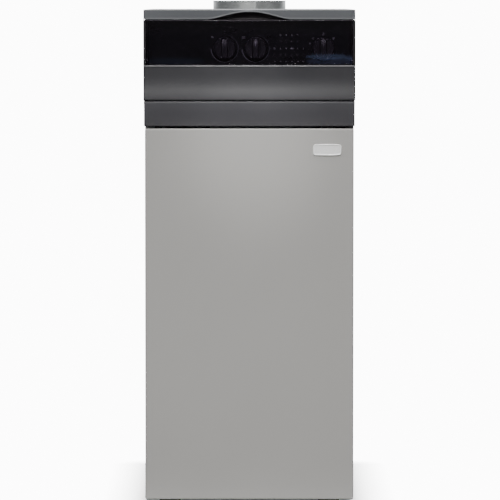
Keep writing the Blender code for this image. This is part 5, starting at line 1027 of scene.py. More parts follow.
# Light grey strips inside the flap's top and side edges: a painted highlight of the rounded edges lit from
# above.
FLAP_EDGE_HIGHLIGHT = Moulded("painted_highlight_acrylic_edge", "smoked", (0.11, 0.105, 0.115), 0.5, 10e-6)
LAMP_CLEAR = Clear("clear_lamp_guide", "lamp", (0.04, 0.04, 0.045), 0.1)
SIGHT_CLEAR = Clear("blue_sight_glass", "steel", (0.45, 0.6, 0.8), 0.8)
ZINC = Galvanised("galvanised_sheet", "zinc", (0.5, 0.52, 0.53))
COLLAR_ZINC = Galvanised("spun_collar_zinc", "zinc", (0.44, 0.455, 0.45), 0.38, 420, 0.9)
BRIGHT_STEEL = Plated("bright_plated_steel", "steel", (0.55, 0.55, 0.56))
HOT_STEEL = Plated("heat_dulled_steel", "chamber", (0.42, 0.42, 0.43), 0.42, (1, 1, 0.2), 0.55)
BURNER_STEEL = Plated("stainless_burner_steel", "burner", (0.5, 0.49, 0.47), 0.3, (1, 0.06, 1), 0.4)
CAST_IRON = Cast("cast_iron", "iron", (0.07, 0.07, 0.075))
VALVE_CAST = Cast("die_cast_valve", "valve", (0.6, 0.6, 0.61), 0.42, 0.85, 60e-6, 700, 0.15, (0.4,) * 3)
BRASS = Plated(
    "drawn_brass", "brass_fitting", (0.72, 0.53, 0.24), 0.25, (1, 0.1, 1), 0.15, (0.45, 0.27, 0.12)
)
BADGE_METAL = Plated("bare_badge_metal", "badge", (0.98, 0.98, 0.97), 0.38, (0.3, 1, 1), metallic=0.25)
FOIL = Foil("foil_faced_wool", "insulation", (0.75, 0.76, 0.77))
LINING = Fibre("ceramic_fibre_board", "lining", (0.62, 0.6, 0.55))
BOARD = Laminate("green_circuit_board", "board", (0.02, 0.14, 0.05))
CERAMIC = Glaze("white_glazed_ceramic", "white_ceramic", (0.8, 0.79, 0.75))
RUBBER = Rubber("black_rubber", "rubber_part", (0.03, 0.03, 0.031))
LEAD_SLEEVE = Braid("braided_lead_sleeve", "lead_sheath", (0.06, 0.06, 0.065))
PRINT_PALE = Ink("pale_plate_print", "plate", (0.5, 0.5, 0.54))
PRINT_GREY = Ink("grey_plate_print", "plate", (0.17, 0.17, 0.2))

# Studio


def aimed(name: str, data: bpy.types.Light, place: Point, aim: Point) -> bpy.types.Object:
    """Puts a light in the scene.

    Args:
        name: its name.
        data: the light.
        place: where it stands.
        aim: the point that it faces.

    Returns:
        Its object.
    """
    made = put(name, data)
    made.location = place
    made.rotation_euler = (Vector(aim) - Vector(place)).to_track_quat("-Z", "Y").to_euler()
    return made


@dataclass
class Studio:
    """The camera, the lights, the sky and a pale floor that fades out, in metres."""

    camera_place: Point = (0.0011, -7.3125, 0.849)
    camera_pitch: float = -3.419
    lens: float = 300
    floor_radius: float = 1.5
    footprint: Pair = (0.17, 0.295)
    floor_fade: float = 0.08
    fade_power: float = 0.9
    backdrop: float = 12
    brightness: float = 1.32
    pool_place: Point = (-0.05, -1.5, 1.45)
    pool_aim: Point = (0.004, -0.3065, 0.63)
    pool_cone: float = 12.5
    pool_power: float = 32

    def build(self) -> None:
        """Sets everything up round the boiler."""
        self.add_camera()
        self.add_floor()
        self.add_sky()
        self.add_lights()
        self.add_spot()

    def add_camera(self) -> None:
        """The photograph's view: level with the cover and far away."""
        data = bpy.data.cameras.new("photo_camera")
        data.lens = self.lens
        data.sensor_width = 36
        camera = put("photo_camera", data)
        camera.location = self.camera_place
        camera.rotation_euler = (radians(90 + self.camera_pitch), 0, 0)
        bpy.context.scene.camera = camera

    def add_floor(self) -> None:
        """A pale disc at z = 0 that grows clear away from the casing's footprint."""
        material = bpy.data.materials.new("studio_floor")
        material.use_nodes = True
        graph = Graph(material.node_tree)
        sides = []
        for axis, half in zip((X, Y), self.footprint):
            apart = graph.reckon("SUBTRACT", graph.reckon("ABSOLUTE", graph.part(graph.place, axis)), half)
            outside = graph.reckon("MAXIMUM", apart, 0)
            sides.append(graph.reckon("MULTIPLY", outside, outside))
        apart = graph.reckon("SQRT", graph.reckon("ADD", *sides))
        fade = graph.reckon("POWER", graph.ranged(apart, 0, self.floor_fade), self.fade_power)
        pale = graph.mixed(graph.noise(3), (0.86,) * 3, (0.88,) * 3)
        matt = graph.add("ShaderNodeBsdfDiffuse", {"Color": pale, "Roughness": 0.6})
        graph.end(graph.blend(fade, matt, graph.add("ShaderNodeBsdfTransparent")))
        surface = turned([(share * self.floor_radius, 0) for share in (0, 0.5, 1)], Z, ORIGIN, 96)
        mesh = bpy.data.meshes.new("studio_floor")
        mesh.from_pydata(surface.reshape(-1, 3), [], grid_faces(*surface.shape[:2], False, True))
        mesh.materials.append(material)
        put("studio_floor", mesh)

    def add_sky(self) -> None:
        """White behind the boiler. What lights it is soft, and dark at the front horizon."""
        world = bpy.data.worlds.new("studio_sky")
        world.use_nodes = True
        bpy.context.scene.world = world
        graph = Graph(world.node_tree)

        def spread(axis: Axis, *ends: float) -> Value:
            """Light along one axis, by low, high, start and end."""
            return graph.ranged(graph.part(graph.direction, axis), *ends, interpolation_type="SMOOTHSTEP")

        dark = graph.reckon("MULTIPLY", spread(Y, -0.8, -0.3, 0.92, 0), spread(Z, 0.05, 0.32, 1, 0))
        level = graph.reckon("MULTIPLY", spread(Z, 0, 0.6, 0.14, 0.75), graph.reckon("SUBTRACT", 1, dark))
        rear = graph.reckon("MULTIPLY", spread(Y, 0.5, 0.85, 0, 2.6), spread(Z, 0.15, 0.55, 1, 0.2))
        strength = graph.reckon("MULTIPLY", graph.reckon("ADD", level, rear), 0.7 * self.brightness)
        lit = graph.add("ShaderNodeBackground", {"Color": (0.97, 0.98, 1), "Strength": strength})
        plain = graph.add("ShaderNodeBackground", {"Color": (1, 1, 1), "Strength": self.backdrop})
        seen = graph.add("ShaderNodeLightPath").outputs["Is Camera Ray"]
        graph.end(graph.blend(seen, lit, plain), "ShaderNodeOutputWorld")

    def add_lights(self) -> None:
        """A key above the front, fills round it and cool panels, none of which the camera sees."""
        front = (0, -0.2, 0.5)
        warm = (1, 0.99, 0.97)
        white = (1, 1, 1)
        for name, place, aim, size, power, colour in (
            ("key", (-0.3, -3.3, 2.7), front, (3, 1.7), 104, warm),
            ("low_glow", (0, -1.15, 0.12), (0, -0.31, 0.15), (0.5, 0.08), 0.7, warm),
            ("left_fill", (-3.2, -1.5, 2.8), front, (1.6, 2), 8, (0.96, 0.98, 1)),
            ("right_fill", (3.2, -1.3, 2.8), front, (1.6, 2), 22, (1, 0.99, 0.98)),
            ("behind", (0.6, 3.2, 2.4), front, (2.4, 1.4), 14, white),
            ("above", (0, 0.4, 3.8), (0, 0, 0.8), (2.2, 2.2), 26, white),
            ("cool_panel", (0.275, -7.3, 0.656), (0.14, -0.3, 0.75), (0.17, 0.02), 0.0065, (0.4, 0.55, 1)),
            ("left_panel", (-0.25, -7.3, 0.64), (-0.125, -0.3, 0.747), (0.2, 0.022), 0.0014, (0.3, 0.5, 1)),
        ):
            data = bpy.data.lights.new(name, "AREA")
            data.shape = "ELLIPSE" if name.endswith("panel") else "RECTANGLE"
            data.size, data.size_y = size
            data.energy = power * self.brightness
            data.color = colour
            aimed(name, data, place, aim).visible_camera = False

    def add_spot(self) -> None:
        """A soft pool of light on the top of the door."""
        data = bpy.data.lights.new("door_pool", "SPOT")
        data.energy = self.pool_power * self.brightness
        data.spot_size = radians(self.pool_cone)
        data.spot_blend = 1
        data.shadow_soft_size = 0.06
        aimed("door_pool", data, self.pool_place, self.pool_aim)


# Places that several sub-assemblies share

PIPE_X = 92
FLOW_Z = 596
RETURN_Z = 336
GAS_Z = 119
TUBES_X = (-62.025, 0, 62.025)
TUBES_Z = 222
PIPE_END = 625


def dress(finish: Finish, *names: str) -> None:
    """Gives CAD nodes a material through their own slots."""
    for name in names:
        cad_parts[name].material_slots[0].material = finish.material()
        LOG.info("dressed %s in %s", name, finish.name)


def wrap_front(name: str, outer: Rows, inner: Rows, size: Pair, finish: Finish, node: str) -> None:
    """A moulding carried across the front and back round both corners.

    Where the plan faces along n, a point that lies s behind the section's front stands at the plan's
    depth + s |n_y|. On the sides the outer points keep the full width, and the inner ones lie a wall
    inside it.

    Args:
        name: the piece's name.
        outer: (depth, height) pairs of the face.
        inner: the same for the back, from its lower edge up.
        size: half the width, and how far back the sides reach.
        finish: what it is dressed in.
        node: the CAD node that it stands for.
    """
    half, rear = size
    corner = 2
    wall = 2.2
    section = np.array([*outer, *inner])
    is_inner = np.arange(len(section)) >= len(outer)
    sides = [(-half, depth, -1, 0) for depth in (rear, 0.6 * rear, corner + 7)]
    for a in np.linspace(0, QUARTER, 7):
        nx, ny = cos(a), sin(a)
        sides.append((corner * (1 - nx) - half, corner * (1 - ny), -nx, -ny))
    across = [(share * (half - corner), 0, 0, -1) for share in np.linspace(-0.97, 0.97, 15)]
    plan = np.array(sides + across + [(-x, depth, -nx, ny) for x, depth, nx, ny in sides[::-1]])
    inset = section[None, :, 0]
    x = plan[:, :1] - plan[:, 2:3] * np.where(is_inner, wall, np.clip(inset, 0, 0.25))
    depth = plan[:, 1:2] + inset * abs(plan[:, 3:4])
    surface = stand(x, depth, section[None, :, 1], Z)
    Skin(name).sealed(surface).piece(finish, crease=40, node=node)


@dataclass
class Casing:
    """The cover, the flue collar, the panels, the trim, the tray and the feet."""

    cover_half_width: float = 178.2
    cover_front: float = 5
    cover_rear: float = 602.5
    cover_top: float = 835
    cover_bottom: float = 818
    cover_edge: float = 2
    cover_sheet: float = 1.5
    arch_width: float = 139
    arch_height: float = 12.6
    flue_depth: float = 490
    seam: float = radians(-82.6)

    def build(self) -> None:
        """Makes the casing's pieces and dresses the rest."""
        dress(DOOR_PAINT, "left_side_panel", "right_side_panel")
        dress(ZINC, "base_tray", "rear_panel", "front_crossbar", "smoke_collector", "draught_diverter")
        self.add_cover()
        self.add_collar()
        self.add_trim()
        self.add_feet()
        self.add_fixings()

    def add_cover(self) -> None:
        """The pressed cover: rings from the flue hole out to the edge, down the lip and back inside.

        Near the hole a ring lies at hole + r n(k), where n(k) points from the hole to the outline's
        point k. Further out it is a share of the way to the outline. The lip's lower edge rises by
        A (1/2 + 1/2 cos(2 pi x / w))^0.7 over the finger arch.
        """
        half_depth = (self.cover_rear - self.cover_front) / 2
        middle = (0, self.cover_front + half_depth)
        hole = np.array([0, self.flue_depth])
        top, sheet, edge = self.cover_top, self.cover_sheet, self.cover_edge

        def ring(inset: float) -> Array:
            """The cover's outline in plan, inset."""
            corner = max(edge - inset, 0.3)
            return outline(self.cover_half_width - inset, half_depth - inset, corner, 6, 84) + middle

        def raised(plan: Array, z: float | Array) -> Array:
            """A plan at a height."""
            return np.column_stack((plan, np.broadcast_to(z, len(plan))))

        rim = ring(edge + 0.5)
        away = rim - hole
        away /= np.linalg.norm(away, axis=1, keepdims=True)
        x, depth = ring(0).T
        arch = 0.5 + 0.5 * np.cos(2 * pi * np.clip(x / self.arch_width, -0.5, 0.5))
        lower = self.cover_bottom + np.where(depth < self.cover_front + 1, self.arch_height * arch**0.7, 0)
        limit = np.maximum(top - edge, lower)

        def hole_ring(radius: float, drop: float) -> Array:
            """A round ring about the hole, dropped from the top."""
            return raised(hole + radius * away, top - drop)

        def between(share: float, drop: float) -> Array:
            """A share of the way from the last round ring to the rim."""
            return raised((hole + 92 * away) * (1 - share) + rim * share, top - drop)

        def down(inset: float, z: float) -> Array:
            """The outline at a height, but not under the lip's edge."""
            return raised(ring(inset), np.maximum(z, lower))

        def above_lip(inset: float, rise: float) -> Array:
            """The outline a little above the lip's lower edge."""
            return raised(ring(inset), np.minimum(lower + rise, limit))

        swage = ((70.4, 0), (74, 0), (78, 0), (79.5, 0.3), (81, 0.9), (84, 1.2), (87, 0.9), (88.5, 0.3))
        turn = np.linspace(0, QUARTER, 8)
        hem = (sheet + 0.26) / 2
        inner = edge - sheet
        rows = [hole_ring(radius, drop) for radius, drop in ((70, sheet), (70, 0.4), *swage)]
        rows += [between(share, 0) for share in (0, 0.3, 0.6, 0.85, 1)]
        rows += [down(edge * (1 - sin(a)), top - edge * (1 - cos(a))) for a in turn]
        rows += [down(0, 826), down(0, 822.5), above_lip(0, 2.6), above_lip(-0.26, 0.9)]
        fold = np.linspace(0, pi, 7)
        rows += [above_lip(hem * (1 - cos(a)) - 0.26, 0.4 - 0.4 * sin(a)) for a in fold]
        rows += [down(sheet, 822), down(sheet, 826)]
        rows += [down(edge - inner * sin(a), top - edge + inner * cos(a)) for a in turn[::-1]]
        rows += [between(share, sheet) for share in (1, 0.6, 0.3, 0)]
        rows += [hole_ring(radius, drop + sheet) for radius, drop in swage[::-1]]
        skin = Skin("cover_shell").loop(np.stack(rows))
        skin.heads([(x, self.cover_rear, 826, 0.2 + x) for x in (-120, 0, 120)], Y, 1, 3.8)
        skin.piece(COVER_PAINT, crease=50, node="top_cover")

    def lap(self, angle: Array, along: Array) -> Array:
        """The collar's swell: its wrap steps up at the seam and falls away after it."""
        ahead = np.mod(angle - self.seam, 2 * pi)
        above = np.clip((along - 778) / 4, 0, 1)
        return 1 + 0.0125 * above * np.clip(ahead / 0.012, 0, 1) * np.clip((0.3 - ahead) / 0.28, 0, 1)

    def add_collar(self) -> None:
        """The flue collar: a spun spigot whose wrap is lapped a little to the right of the front."""
        profile = [
            (63.5, 772.8), (78, 772.8), (78, 774.3), (68, 774.3), (66.2, 775), (65.2, 777), (65, 779),
            (65, 800), (65, 818), (65.9, 819.4), (66.3, 821), (65.9, 822.6), (65, 824), (65, 836),
            (65, 847.6), (65.1, 848.6), (65.3, 849.3), (65, 849.8), (64.4, 850), (63.8, 849.7), (63.5, 848.8),
            (63.5, 824), (64.4, 822.6), (64.8, 821), (64.4, 819.4), (63.5, 818), (63.5, 800),
        ]
        place = (0, self.flue_depth, 0)
        skin = Skin("flue_collar_wrap").loop(turned(profile, Z, place, 240, self.lap, self.seam - 0.0001))
        for k in range(4):
            a = radians(45 + 90 * k)
            skin.heads([(72.5 * cos(a), self.flue_depth + 72.5 * sin(a), 774.3, k)], Z, 1, 3.2)
        skin.piece(COLLAR_ZINC, crease=40, node="flue_collar")

    def add_trim(self) -> None:
        """The lower trim: d = 5 t^2 down its face, carried round both front corners to its sleeves."""
        share = np.linspace(0, 1, 12)[1:-1]
        z = 680.5 - 41.5 * share
        face = 5 * share**2
        outer = [(6, 680.4), (1.3, 680.5), (0.4, 680.3), (0.05, 679.7), *zip(face, z)]
        outer += [(4.9, 640), (5.2, 639.4), (5.8, 639.05), (6.8, 639)]
        inner = [(7.4, 639.4), *zip(face[::-1] + 2.4, z[::-1]), (2.6, 678.2), (6, 678.4)]
        # The trim wears the lighter, lit copy of the graphite plastic.
        wrap_front("lower_trim_shell", outer, inner, (177.6, 44.5), LIT_TRIM_PLASTIC, "lower_trim")

    def add_feet(self) -> None:
        """Four levelling feet: a rubber pad with rings, a nut and a stud."""
        pad = [
            (0, 0), (15.4, 0), (16.2, 0.4), (17.4, 0.4), (18, 1.2), (18, 3), (17.4, 4), (15, 4.4),
            (13.4, 5), (12, 6.2), (11.2, 6.5), (0, 6.5),
        ]
        for row, depth in (("front", 65), ("rear", 559.5)):
            for side, x in (("left", -135), ("right", 135)):
                name = f"foot_{row}_{side}"
                place = (x, depth, 0)
                Skin(f"{name}_pad").turn(pad, Z, [place], 64).piece(RUBBER, node=name)
                metal = Skin(f"{name}_stud").lay(nut(place, Z, 6.5, 9.9, 9))
                metal.loop(screw_thread(Z, place, (5, 0.05), (9.8, 31.7), 1.25, 0.4)).piece(BRIGHT_STEEL)

    def add_fixings(self) -> None:
        """The rear panel's screws, pipe rings, bare plate and rolled slot lips."""
        heights = (40, 230, 420, 610, 800)
        places = [(x, 600, z, z) for x in (-167.5, 167.5) for z in heights]
        Skin("rear_panel_screws").heads(places, Y, 1, 3.8).piece(BRIGHT_STEEL)
        lips = Skin("relief_slot_lips")
        roll = [(0, 600), (0.3, 600.7), (0.8, 600.9), (1.3, 600.6), (1.4, 600), (1.3, 598.9), (0.9, 598.6)]
        for k in range(5):
            lips.loop(Pressed(72.4, 4.9, 4, Y, (0, 0, 695.5 + 11.6 * k), 6, 8).surface(roll))
        lips.piece(ZINC)
        grommets = Skin("rear_panel_grommets")
        lip = ((0.1, 598), (2.6, 597.6), (5, 600.05), (4.6, 601.4), (3, 602.1), (0.9, 601.8), (0.1, 600.9))
        for x, z, radius in ((0, GAS_Z, 13.4), (PIPE_X, FLOW_Z, 16.8), (PIPE_X, RETURN_Z, 16.8)):
            grommets.turn([(radius + out, depth) for out, depth in lip], Y, [(x, 0, z)], 72, ring=True)
        grommets.piece(RUBBER)
        rows = [(0, 600.05), (0.1, 600.5), (0.4, 600.7)]
        plate = Skin("rating_plate").lay(Pressed(40, 27, 3, Y, (-70, 0, 470)).shut(rows))
        places = [(x, 600.7, z, x + z) for x in (-105, -35) for z in (449, 491)]
        plate.heads(places, Y, 1, 1.6).piece(BADGE_METAL)


@dataclass
class ControlPanel:
    """The fascia, flap, printed plate, knobs and lamps, and what is behind them."""

    knob_height: float = 769.1
    hot_water_x: float = -41.6
    heating_x: float = 10.6
    selector_x: float = 124.6
    lamp_x: float = 42.8
    lamp_pitch: float = 9.65
    lamp_heights: Pair = (781, 757.8)
    plate_face: float = 33

    def build(self) -> None:
        """Makes the controls and dresses what they hide."""
        dress(PLATE_GLOSS, "control_plate")
        dress(LAMP_CLEAR, "lamp_light_guide")
        dress(ZINC, "control_box")
        dress(BOARD, "control_board")
        dress(HOUSING_PLASTIC, "hot_water_potentiometer", "heating_potentiometer", "selector_switch")
        dress(BRIGHT_STEEL, "hot_water_spindle", "heating_spindle", "selector_spindle")
        self.add_fascia()
        self.add_scoop()
        self.add_flap()
        self.add_knob("hot_water", self.hot_water_x)
        self.add_knob("heating", self.heating_x)
        self.add_knob("selector", self.selector_x)
        self.add_print()
        self.add_lamps()
        self.add_board_parts()

    def add_fascia(self) -> None:
        """The band with its lip, ledge, cheeks and recess.

        The band's face is upright at its top. Further down its slope grows as a smoothstep and then
        eases a little.
        """
        share = np.linspace(0, 1, 20)
        z = 739.5 - 56.8 * share[1:-1]
        grown = np.clip((share - 0.22) / 0.6, 0, 1)
        slope = grown**2 * (3 - 2 * grown) * (1 - 0.35 * np.clip((share - 0.75) / 0.25, 0, 1))
        lean = np.cumsum(slope) / slope.sum()
        face = 3.4 - 3.4 * lean[1:-1]
        outer = [(6.4, 739.3), (6.5, 740.4), (6, 741), (4.4, 740.95), (3.7, 740.6), (3.25, 740), (3, 739.2)]
        outer += [(3.3, 738.7), (3.4, 738.4), *zip(face, z), (0.1, 683.3), (0.5, 682.7), (1.2, 682.7)]
        inner = [(2.4, 682.8), (2.6, 683.4), *zip(face[::-1] + 2.5, z[::-1])]
        # The band wears the darker, shaded copy of the graphite plastic.
        wrap_front("fascia_band", outer, inner, (178.5, 25.5), SHADED_FASCIA_PLASTIC, "control_fascia")
        black = Skin("fascia_recess")
        black.pair((175.1, 4.5, 740.8), (178.5, 25.5, 817.4), 0.9)
        black.pair((176.3, 25, 683), (178.4, 44.5, 817.4), 0.5)
        black.pair((172.2, 14, 739.6), (174.5, 34.8, 831.8), 0.4)
        black.pair((172.4, 14, 739.6), (176, 17, 817.2), 0.4)
        black.pair((175.9, 1.6, 679.6), (177.3, 44, 683.6), 0.3)
        black.block((-174.4, 4.6, 737.2), (174.4, 35, 739.4), 0.4)
        black.block((-174.4, 8, 829.6), (174.4, 35, 832), 0.5)
        for x in np.linspace(-150, 150, 7):
            black.block((x - 1, 7.6, 700), (x + 1, 24, 737.4), 0.3)
        black.piece(CHEEK_PLASTIC)
        # The lip bead is lighter plastic that paints the highlight along the rounded ledge under the flap.
        Skin("fascia_lip_highlight_bead").block((-178.3, 2.9, 738.7), (178.3, 6.8, 741.1), 1.1, X).piece(HIGHLIGHT_LIP_PLASTIC)

    def add_scoop(self) -> None:
        """The finger scoop behind the cover's arch: one folded section, carried across."""
        front = [(9, 829.3, 0), (21, 829.3, 5), (24, 817.6, 4), (12.2, 817.6, 0)]
        back = [(12.2, 816.9, 0), (25, 816.9, 4.5), (22, 830, 5.5), (9, 830, 0)]
        line = np.concatenate((eased(front, 8), eased(back, 8)))
        surface = stand(line[:, 0], line[:, 1], np.linspace(-72, 72, 25)[:, None], X)
        Skin("finger_scoop").sealed(surface).piece(SCOOP_PLASTIC)

    def add_flap(self) -> None:
        """The smoked flap, its finger grip and its two hinge ears, with steel pivot pins."""
        flap = Skin("smoked_flap").block((-174.7, 5, 742.8), (174.7, 8, 816.9), 0.3, Y, 1)
        flap.block((-60, 8.02, 813.9), (60, 11.5, 816.6), 1, Z, 1.2)
        flap.pair((169, 8.02, 743.3), (174.4, 13, 750), 0.8, X, 1.6)
        flap.piece(SMOKED_ACRYLIC, "flap", node="control_flap")
        # Grey strips inside the flap's edges paint the highlight that its rounded edges catch.
        edges = Skin("flap_edge_highlights").block((-173.9, 5.3, 816), (173.9, 7.7, 816.8), 0.3, X)
        edges.pair((174.1, 5.4, 744.5), (174.6, 7.6, 815.8), 0.2).piece(FLAP_EDGE_HIGHLIGHT, "flap")
        pins = Skin("flap_pivot_pins")
        for side in SIDES:
            profile = [(0, 174.5), (1.45, 174.5), (1.5, 174.7), (1.5, 175.05), (0, 175.05)]
            pins.turn([(radius, side * x) for radius, x in profile], X, [(0, 9.5, 746.5)], 24)
        pins.piece(BRIGHT_STEEL, "flap")

    def flutes(self, angle: Array, along: Array) -> Array:
        """A knob's swell: 48 fine flutes that grow in behind its rim."""
        return 1 - 0.008 * np.clip((along - 25) / 3, 0, 1) * (0.5 + 0.5 * np.cos(48 * angle)) ** 3

    def add_knob(self, name: str, x: float) -> None:
        """A round disc with a fine rim, a grip bar, and a short printed line.

        Args:
            name: the control's name.
            x: the knob's middle.
        """
        disc = [
            (0, 32.4), (3.2, 32.4), (18.4, 32.4), (18.9, 32.2), (19, 31.8), (18.6, 28), (18.3, 25.4),
            (18.2, 24.2), (17.9, 23.5), (17.4, 23.05), (16.8, 22.9), (16.3, 23), (15.9, 23.25), (14, 23.3),
            (0, 23.3),
        ]
        z = self.knob_height
        body = f"{name}_control"
        knob = Skin(f"{name}_knob_shell").lay(turned(disc, Y, (x, 0, z), 192, self.flutes))
        knob.lay(self.grip((x, 0, z))).piece(KNOB_PLASTIC, body, 28, f"{name}_knob")
        line = Skin(f"{name}_knob_line")
        line.block((x - 0.45, 13.84, z + 4.6), (x + 0.45, 13.96, z + 9), 0.05, Y, 0.4).piece(PRINT_GREY, body)

    def grip(self, centre: Point) -> Array:
        """The grip bar: outlines that narrow from 12.6 mm at the disc to 9 mm at the face.

        The face's upper third falls away over the line z = 9 - 0.9 |x|.

        Args:
            centre: the knob's middle.

        Returns:
            A grid that its columns close.
        """
        rows = [(0, 24), (0.55, 20), (1.15, 16.4), (1.45, 15), (1.8, 14.3), (2.5, 13.95)]
        rows += [(3.2, 13.9), (4.4, 13.9), (5.4, 13.9)]
        x, depth, z = np.moveaxis(Pressed(6.3, 17.5, 3.4, Y, (0, 0, 0), 7, 14).shut(rows), -1, 0)
        top = np.clip((z - 9 + 0.9 * np.abs(x)) / 2, 0, 1)
        face = np.clip((17.2 - depth) / 3, 0, 1)
        fall = face * top * (0.5 + 0.16 * (z - 9))
        return stand(x, depth + np.maximum(fall, 0), z, Z, centre)

    def ribbon(self, skin: Skin, points: Array, width: float | Array) -> None:
        """A printed line on the plate: points (x, z), moved half a width to both sides.

        Args:
            skin: what it is added to.
            points: (x, z) pairs.
            width: its width, which may vary along it.
        """
        along = np.gradient(points, axis=0)
        along /= np.linalg.norm(along, axis=1, keepdims=True)
        across = np.column_stack((-along[:, 1], along[:, 0])) * np.reshape(width, (-1, 1)) / 2
        near, far = self.plate_face - 0.06, self.plate_face + 0.02
        corners = ((across, near), (-across, near), (-across, far), (across, far))
        rings = [np.insert(points + shift, 1, depth, axis=1) for shift, depth in corners]
        skin.sealed(np.stack(rings, axis=1))

    def stroke(self, skin: Skin, place: Pair, lines: Sequence[Rows], width: float) -> None:
        """Printed lines round a place, in six pieces between their points.

        Args:
            skin: what they are added to.
            place: the place's (x, z).
            lines: each line's (right, up) points from the place.
            width: their width.
        """
        for line in lines:
            points = np.array(line, float) + place
            steps = np.linspace(0, len(points) - 1, 6 * (len(points) - 1) + 1)
            even = [np.interp(steps, np.arange(len(points)), points[:, k]) for k in range(2)]
            self.ribbon(skin, np.column_stack(even), width)

    def arc(self, x: float, z: float, radius: float, start: float = 0, end: float = 360) -> Array:
        """Points round part of a circle, by degrees from +X."""
        angle = np.radians(np.linspace(start, end, 25))
        return np.column_stack((x + radius * np.cos(angle), z + radius * np.sin(angle)))

    def add_print(self) -> None:
        """Rings that swell round the two dials, marks round the selector, icons and lamp numbers."""
        grey = Skin("plate_print_rings")
        share = np.linspace(0, 1, 90)
        angle = np.radians(np.linspace(86, -178, 90))
        ticks = [radians(tick) for tick in range(-180, 100, 30)]
        ticks = [[(r * cos(a), r * sin(a)) for r in (24.6, 26)] for a in ticks]
        for x in (self.hot_water_x, self.heating_x):
            ring = np.column_stack((x + 23 * np.cos(angle), self.knob_height + 23 * np.sin(angle)))
            self.ribbon(grey, ring, 0.35 + 1.25 * share**1.6)
            self.stroke(grey, (x, self.knob_height), ticks, 0.4)
        grey.piece(PRINT_GREY)
        pale = Skin("plate_print_icons")
        tap = [[(-2.4, 0.6), (0.8, 0.6), (1.6, 0), (1.6, -1.4)], [(-0.8, 0.6), (-0.8, 2.2)]]
        tap.append([(-2, 2.2), (0.4, 2.2)])
        self.stroke(pale, (self.hot_water_x - 20.6, self.knob_height + 18.6), tap, 0.55)
        ribs = [[(k, -1.5), (k, 1.5)] for k in (-2.4, -1.2, 0, 1.2, 2.4)]
        ribs += [[(-2.8, z), (2.8, z)] for z in (1.5, -1.5)]
        self.stroke(pale, (self.heating_x - 20.6, self.knob_height + 18.4), ribs, 0.4)
        marks = {
            -69: [[(-1.6, -1.2), (0, 1.4), (1.6, -1.2), (-1.6, -1.2)]],
            -45: [[(0, 1.6), (0, 0)], self.arc(0, 0, 1.3, 125, 415)],
            0: [self.arc(0, 0, 1.2), [(0, 1.6), (0, 2.4)]],
            45: [[(-1.6, -1.3), (-1.6, 1.3), (1.6, 1.3), (1.6, -1.3), (-1.6, -1.3)], [(0, -1.3), (0, 1.3)]],
        }
        for turn, lines in marks.items():
            a = radians(turn)
            place = (self.selector_x + 24.2 * sin(a), self.knob_height + 24.2 * cos(a))
            self.stroke(pale, place, lines, 0.45)
        self.add_icons(pale)
        self.add_numbers(pale)
        pale.piece(PRINT_PALE)

    def add_icons(self, skin: Skin) -> None:
        """The icons over the two rows of lamps.

        Args:
            skin: what they are added to.
        """
        star = [[(-a, -b), (a, b)] for a, b in ((1.3, 0), (0, 1.3), (0.9, 0.9), (0.9, -0.9))]
        upper = {
            1: [self.arc(0, -0.4, 1.1, -220, 40), [(-0.85, 0.3), (0, 1.8), (0.85, 0.3)]],
            2: star,
            3: [[(-1.3, 0), (0, 1.3), (1.3, 0), (0, -1.3), (-1.3, 0)]],
            4: [self.arc(0, -0.4, 1.4, 30, 150)],
        }
        middle = {
            0: [self.arc(0, 0, 1.2, 40, 320)],
            1: [[(-1.2, -1), (1.2, -1)], [(0, -1), (0, 1.2)]],
            2: [[(-1.1, 1.1), (0, -1.1), (1.1, 1.1)]],
            3: [[(-2.4, -0.9), (-2.4, 0.9), (2.4, 0.9), (2.4, -0.9), (-2.4, -0.9)], [(-1.2, 0), (1.2, 0)]],
            4: [[(0, -1.6), (0, 1.6)]],
            5: [[(0, 1.5), (0, -1.4)], [(-0.9, -0.5), (0, -1.5), (0.9, -0.5)]],
        }
        for z, icons in ((791.9, upper), (769.3, middle)):
            for k, lines in icons.items():
                self.stroke(skin, (self.lamp_x + self.lamp_pitch * k, z), lines, 0.42)

    def add_numbers(self, skin: Skin) -> None:
        """30 to 80 in strokes, one under each lower lamp.

        Args:
            skin: what they are added to.
        """
        strokes = {
            "0": [self.arc(0, 0, 0.62)],
            "3": [self.arc(0, 0.36, 0.36, 150, -90), self.arc(0, -0.36, 0.4, 90, -150)],
            "4": [[(0.3, -0.75), (0.3, 0.75), (-0.5, -0.25), (0.6, -0.25)]],
            "5": [[(0.45, 0.75), (-0.4, 0.75), (-0.4, 0.1)], self.arc(-0.02, -0.25, 0.46, 130, -140)],
            "6": [self.arc(0, -0.3, 0.45), [(-0.42, -0.2), (0.2, 0.8)]],
            "7": [[(-0.5, 0.75), (0.5, 0.75), (-0.15, -0.75)]],
            "8": [self.arc(0, 0.4, 0.34), self.arc(0, -0.35, 0.42)],
        }
        for k, digit in enumerate("345678"):
            for shift, figure in ((-0.85, digit), (0.85, "0")):
                self.stroke(skin, (self.lamp_x + self.lamp_pitch * k + shift, 747.4), strokes[figure], 0.24)

    def add_lamps(self) -> None:
        """A domed lens on each lamp of the light guide, in a thin dark collar."""
        upper, lower = self.lamp_heights
        spots = [(k, upper) for k in range(1, 5)] + [(k, lower) for k in range(6)]
        places = [(self.lamp_x + self.lamp_pitch * k, 0, z) for k, z in spots]
        dome = [(0, 32.55), (1.6, 32.55), (1.55, 32.3), (1.3, 31.95), (0.8, 31.7), (0.3, 31.6), (0, 31.6)]
        collar = [(1.75, 32.95), (1.75, 32.5), (1.9, 32.4), (2.2, 32.5), (2.35, 32.8), (2.4, 33.02)]
        Skin("lamp_lenses").turn(dome, Y, places, 32).piece(LAMP_CLEAR)
        Skin("lamp_collars").turn(collar, Y, places, 32, ring=True).piece(HOUSING_PLASTIC)

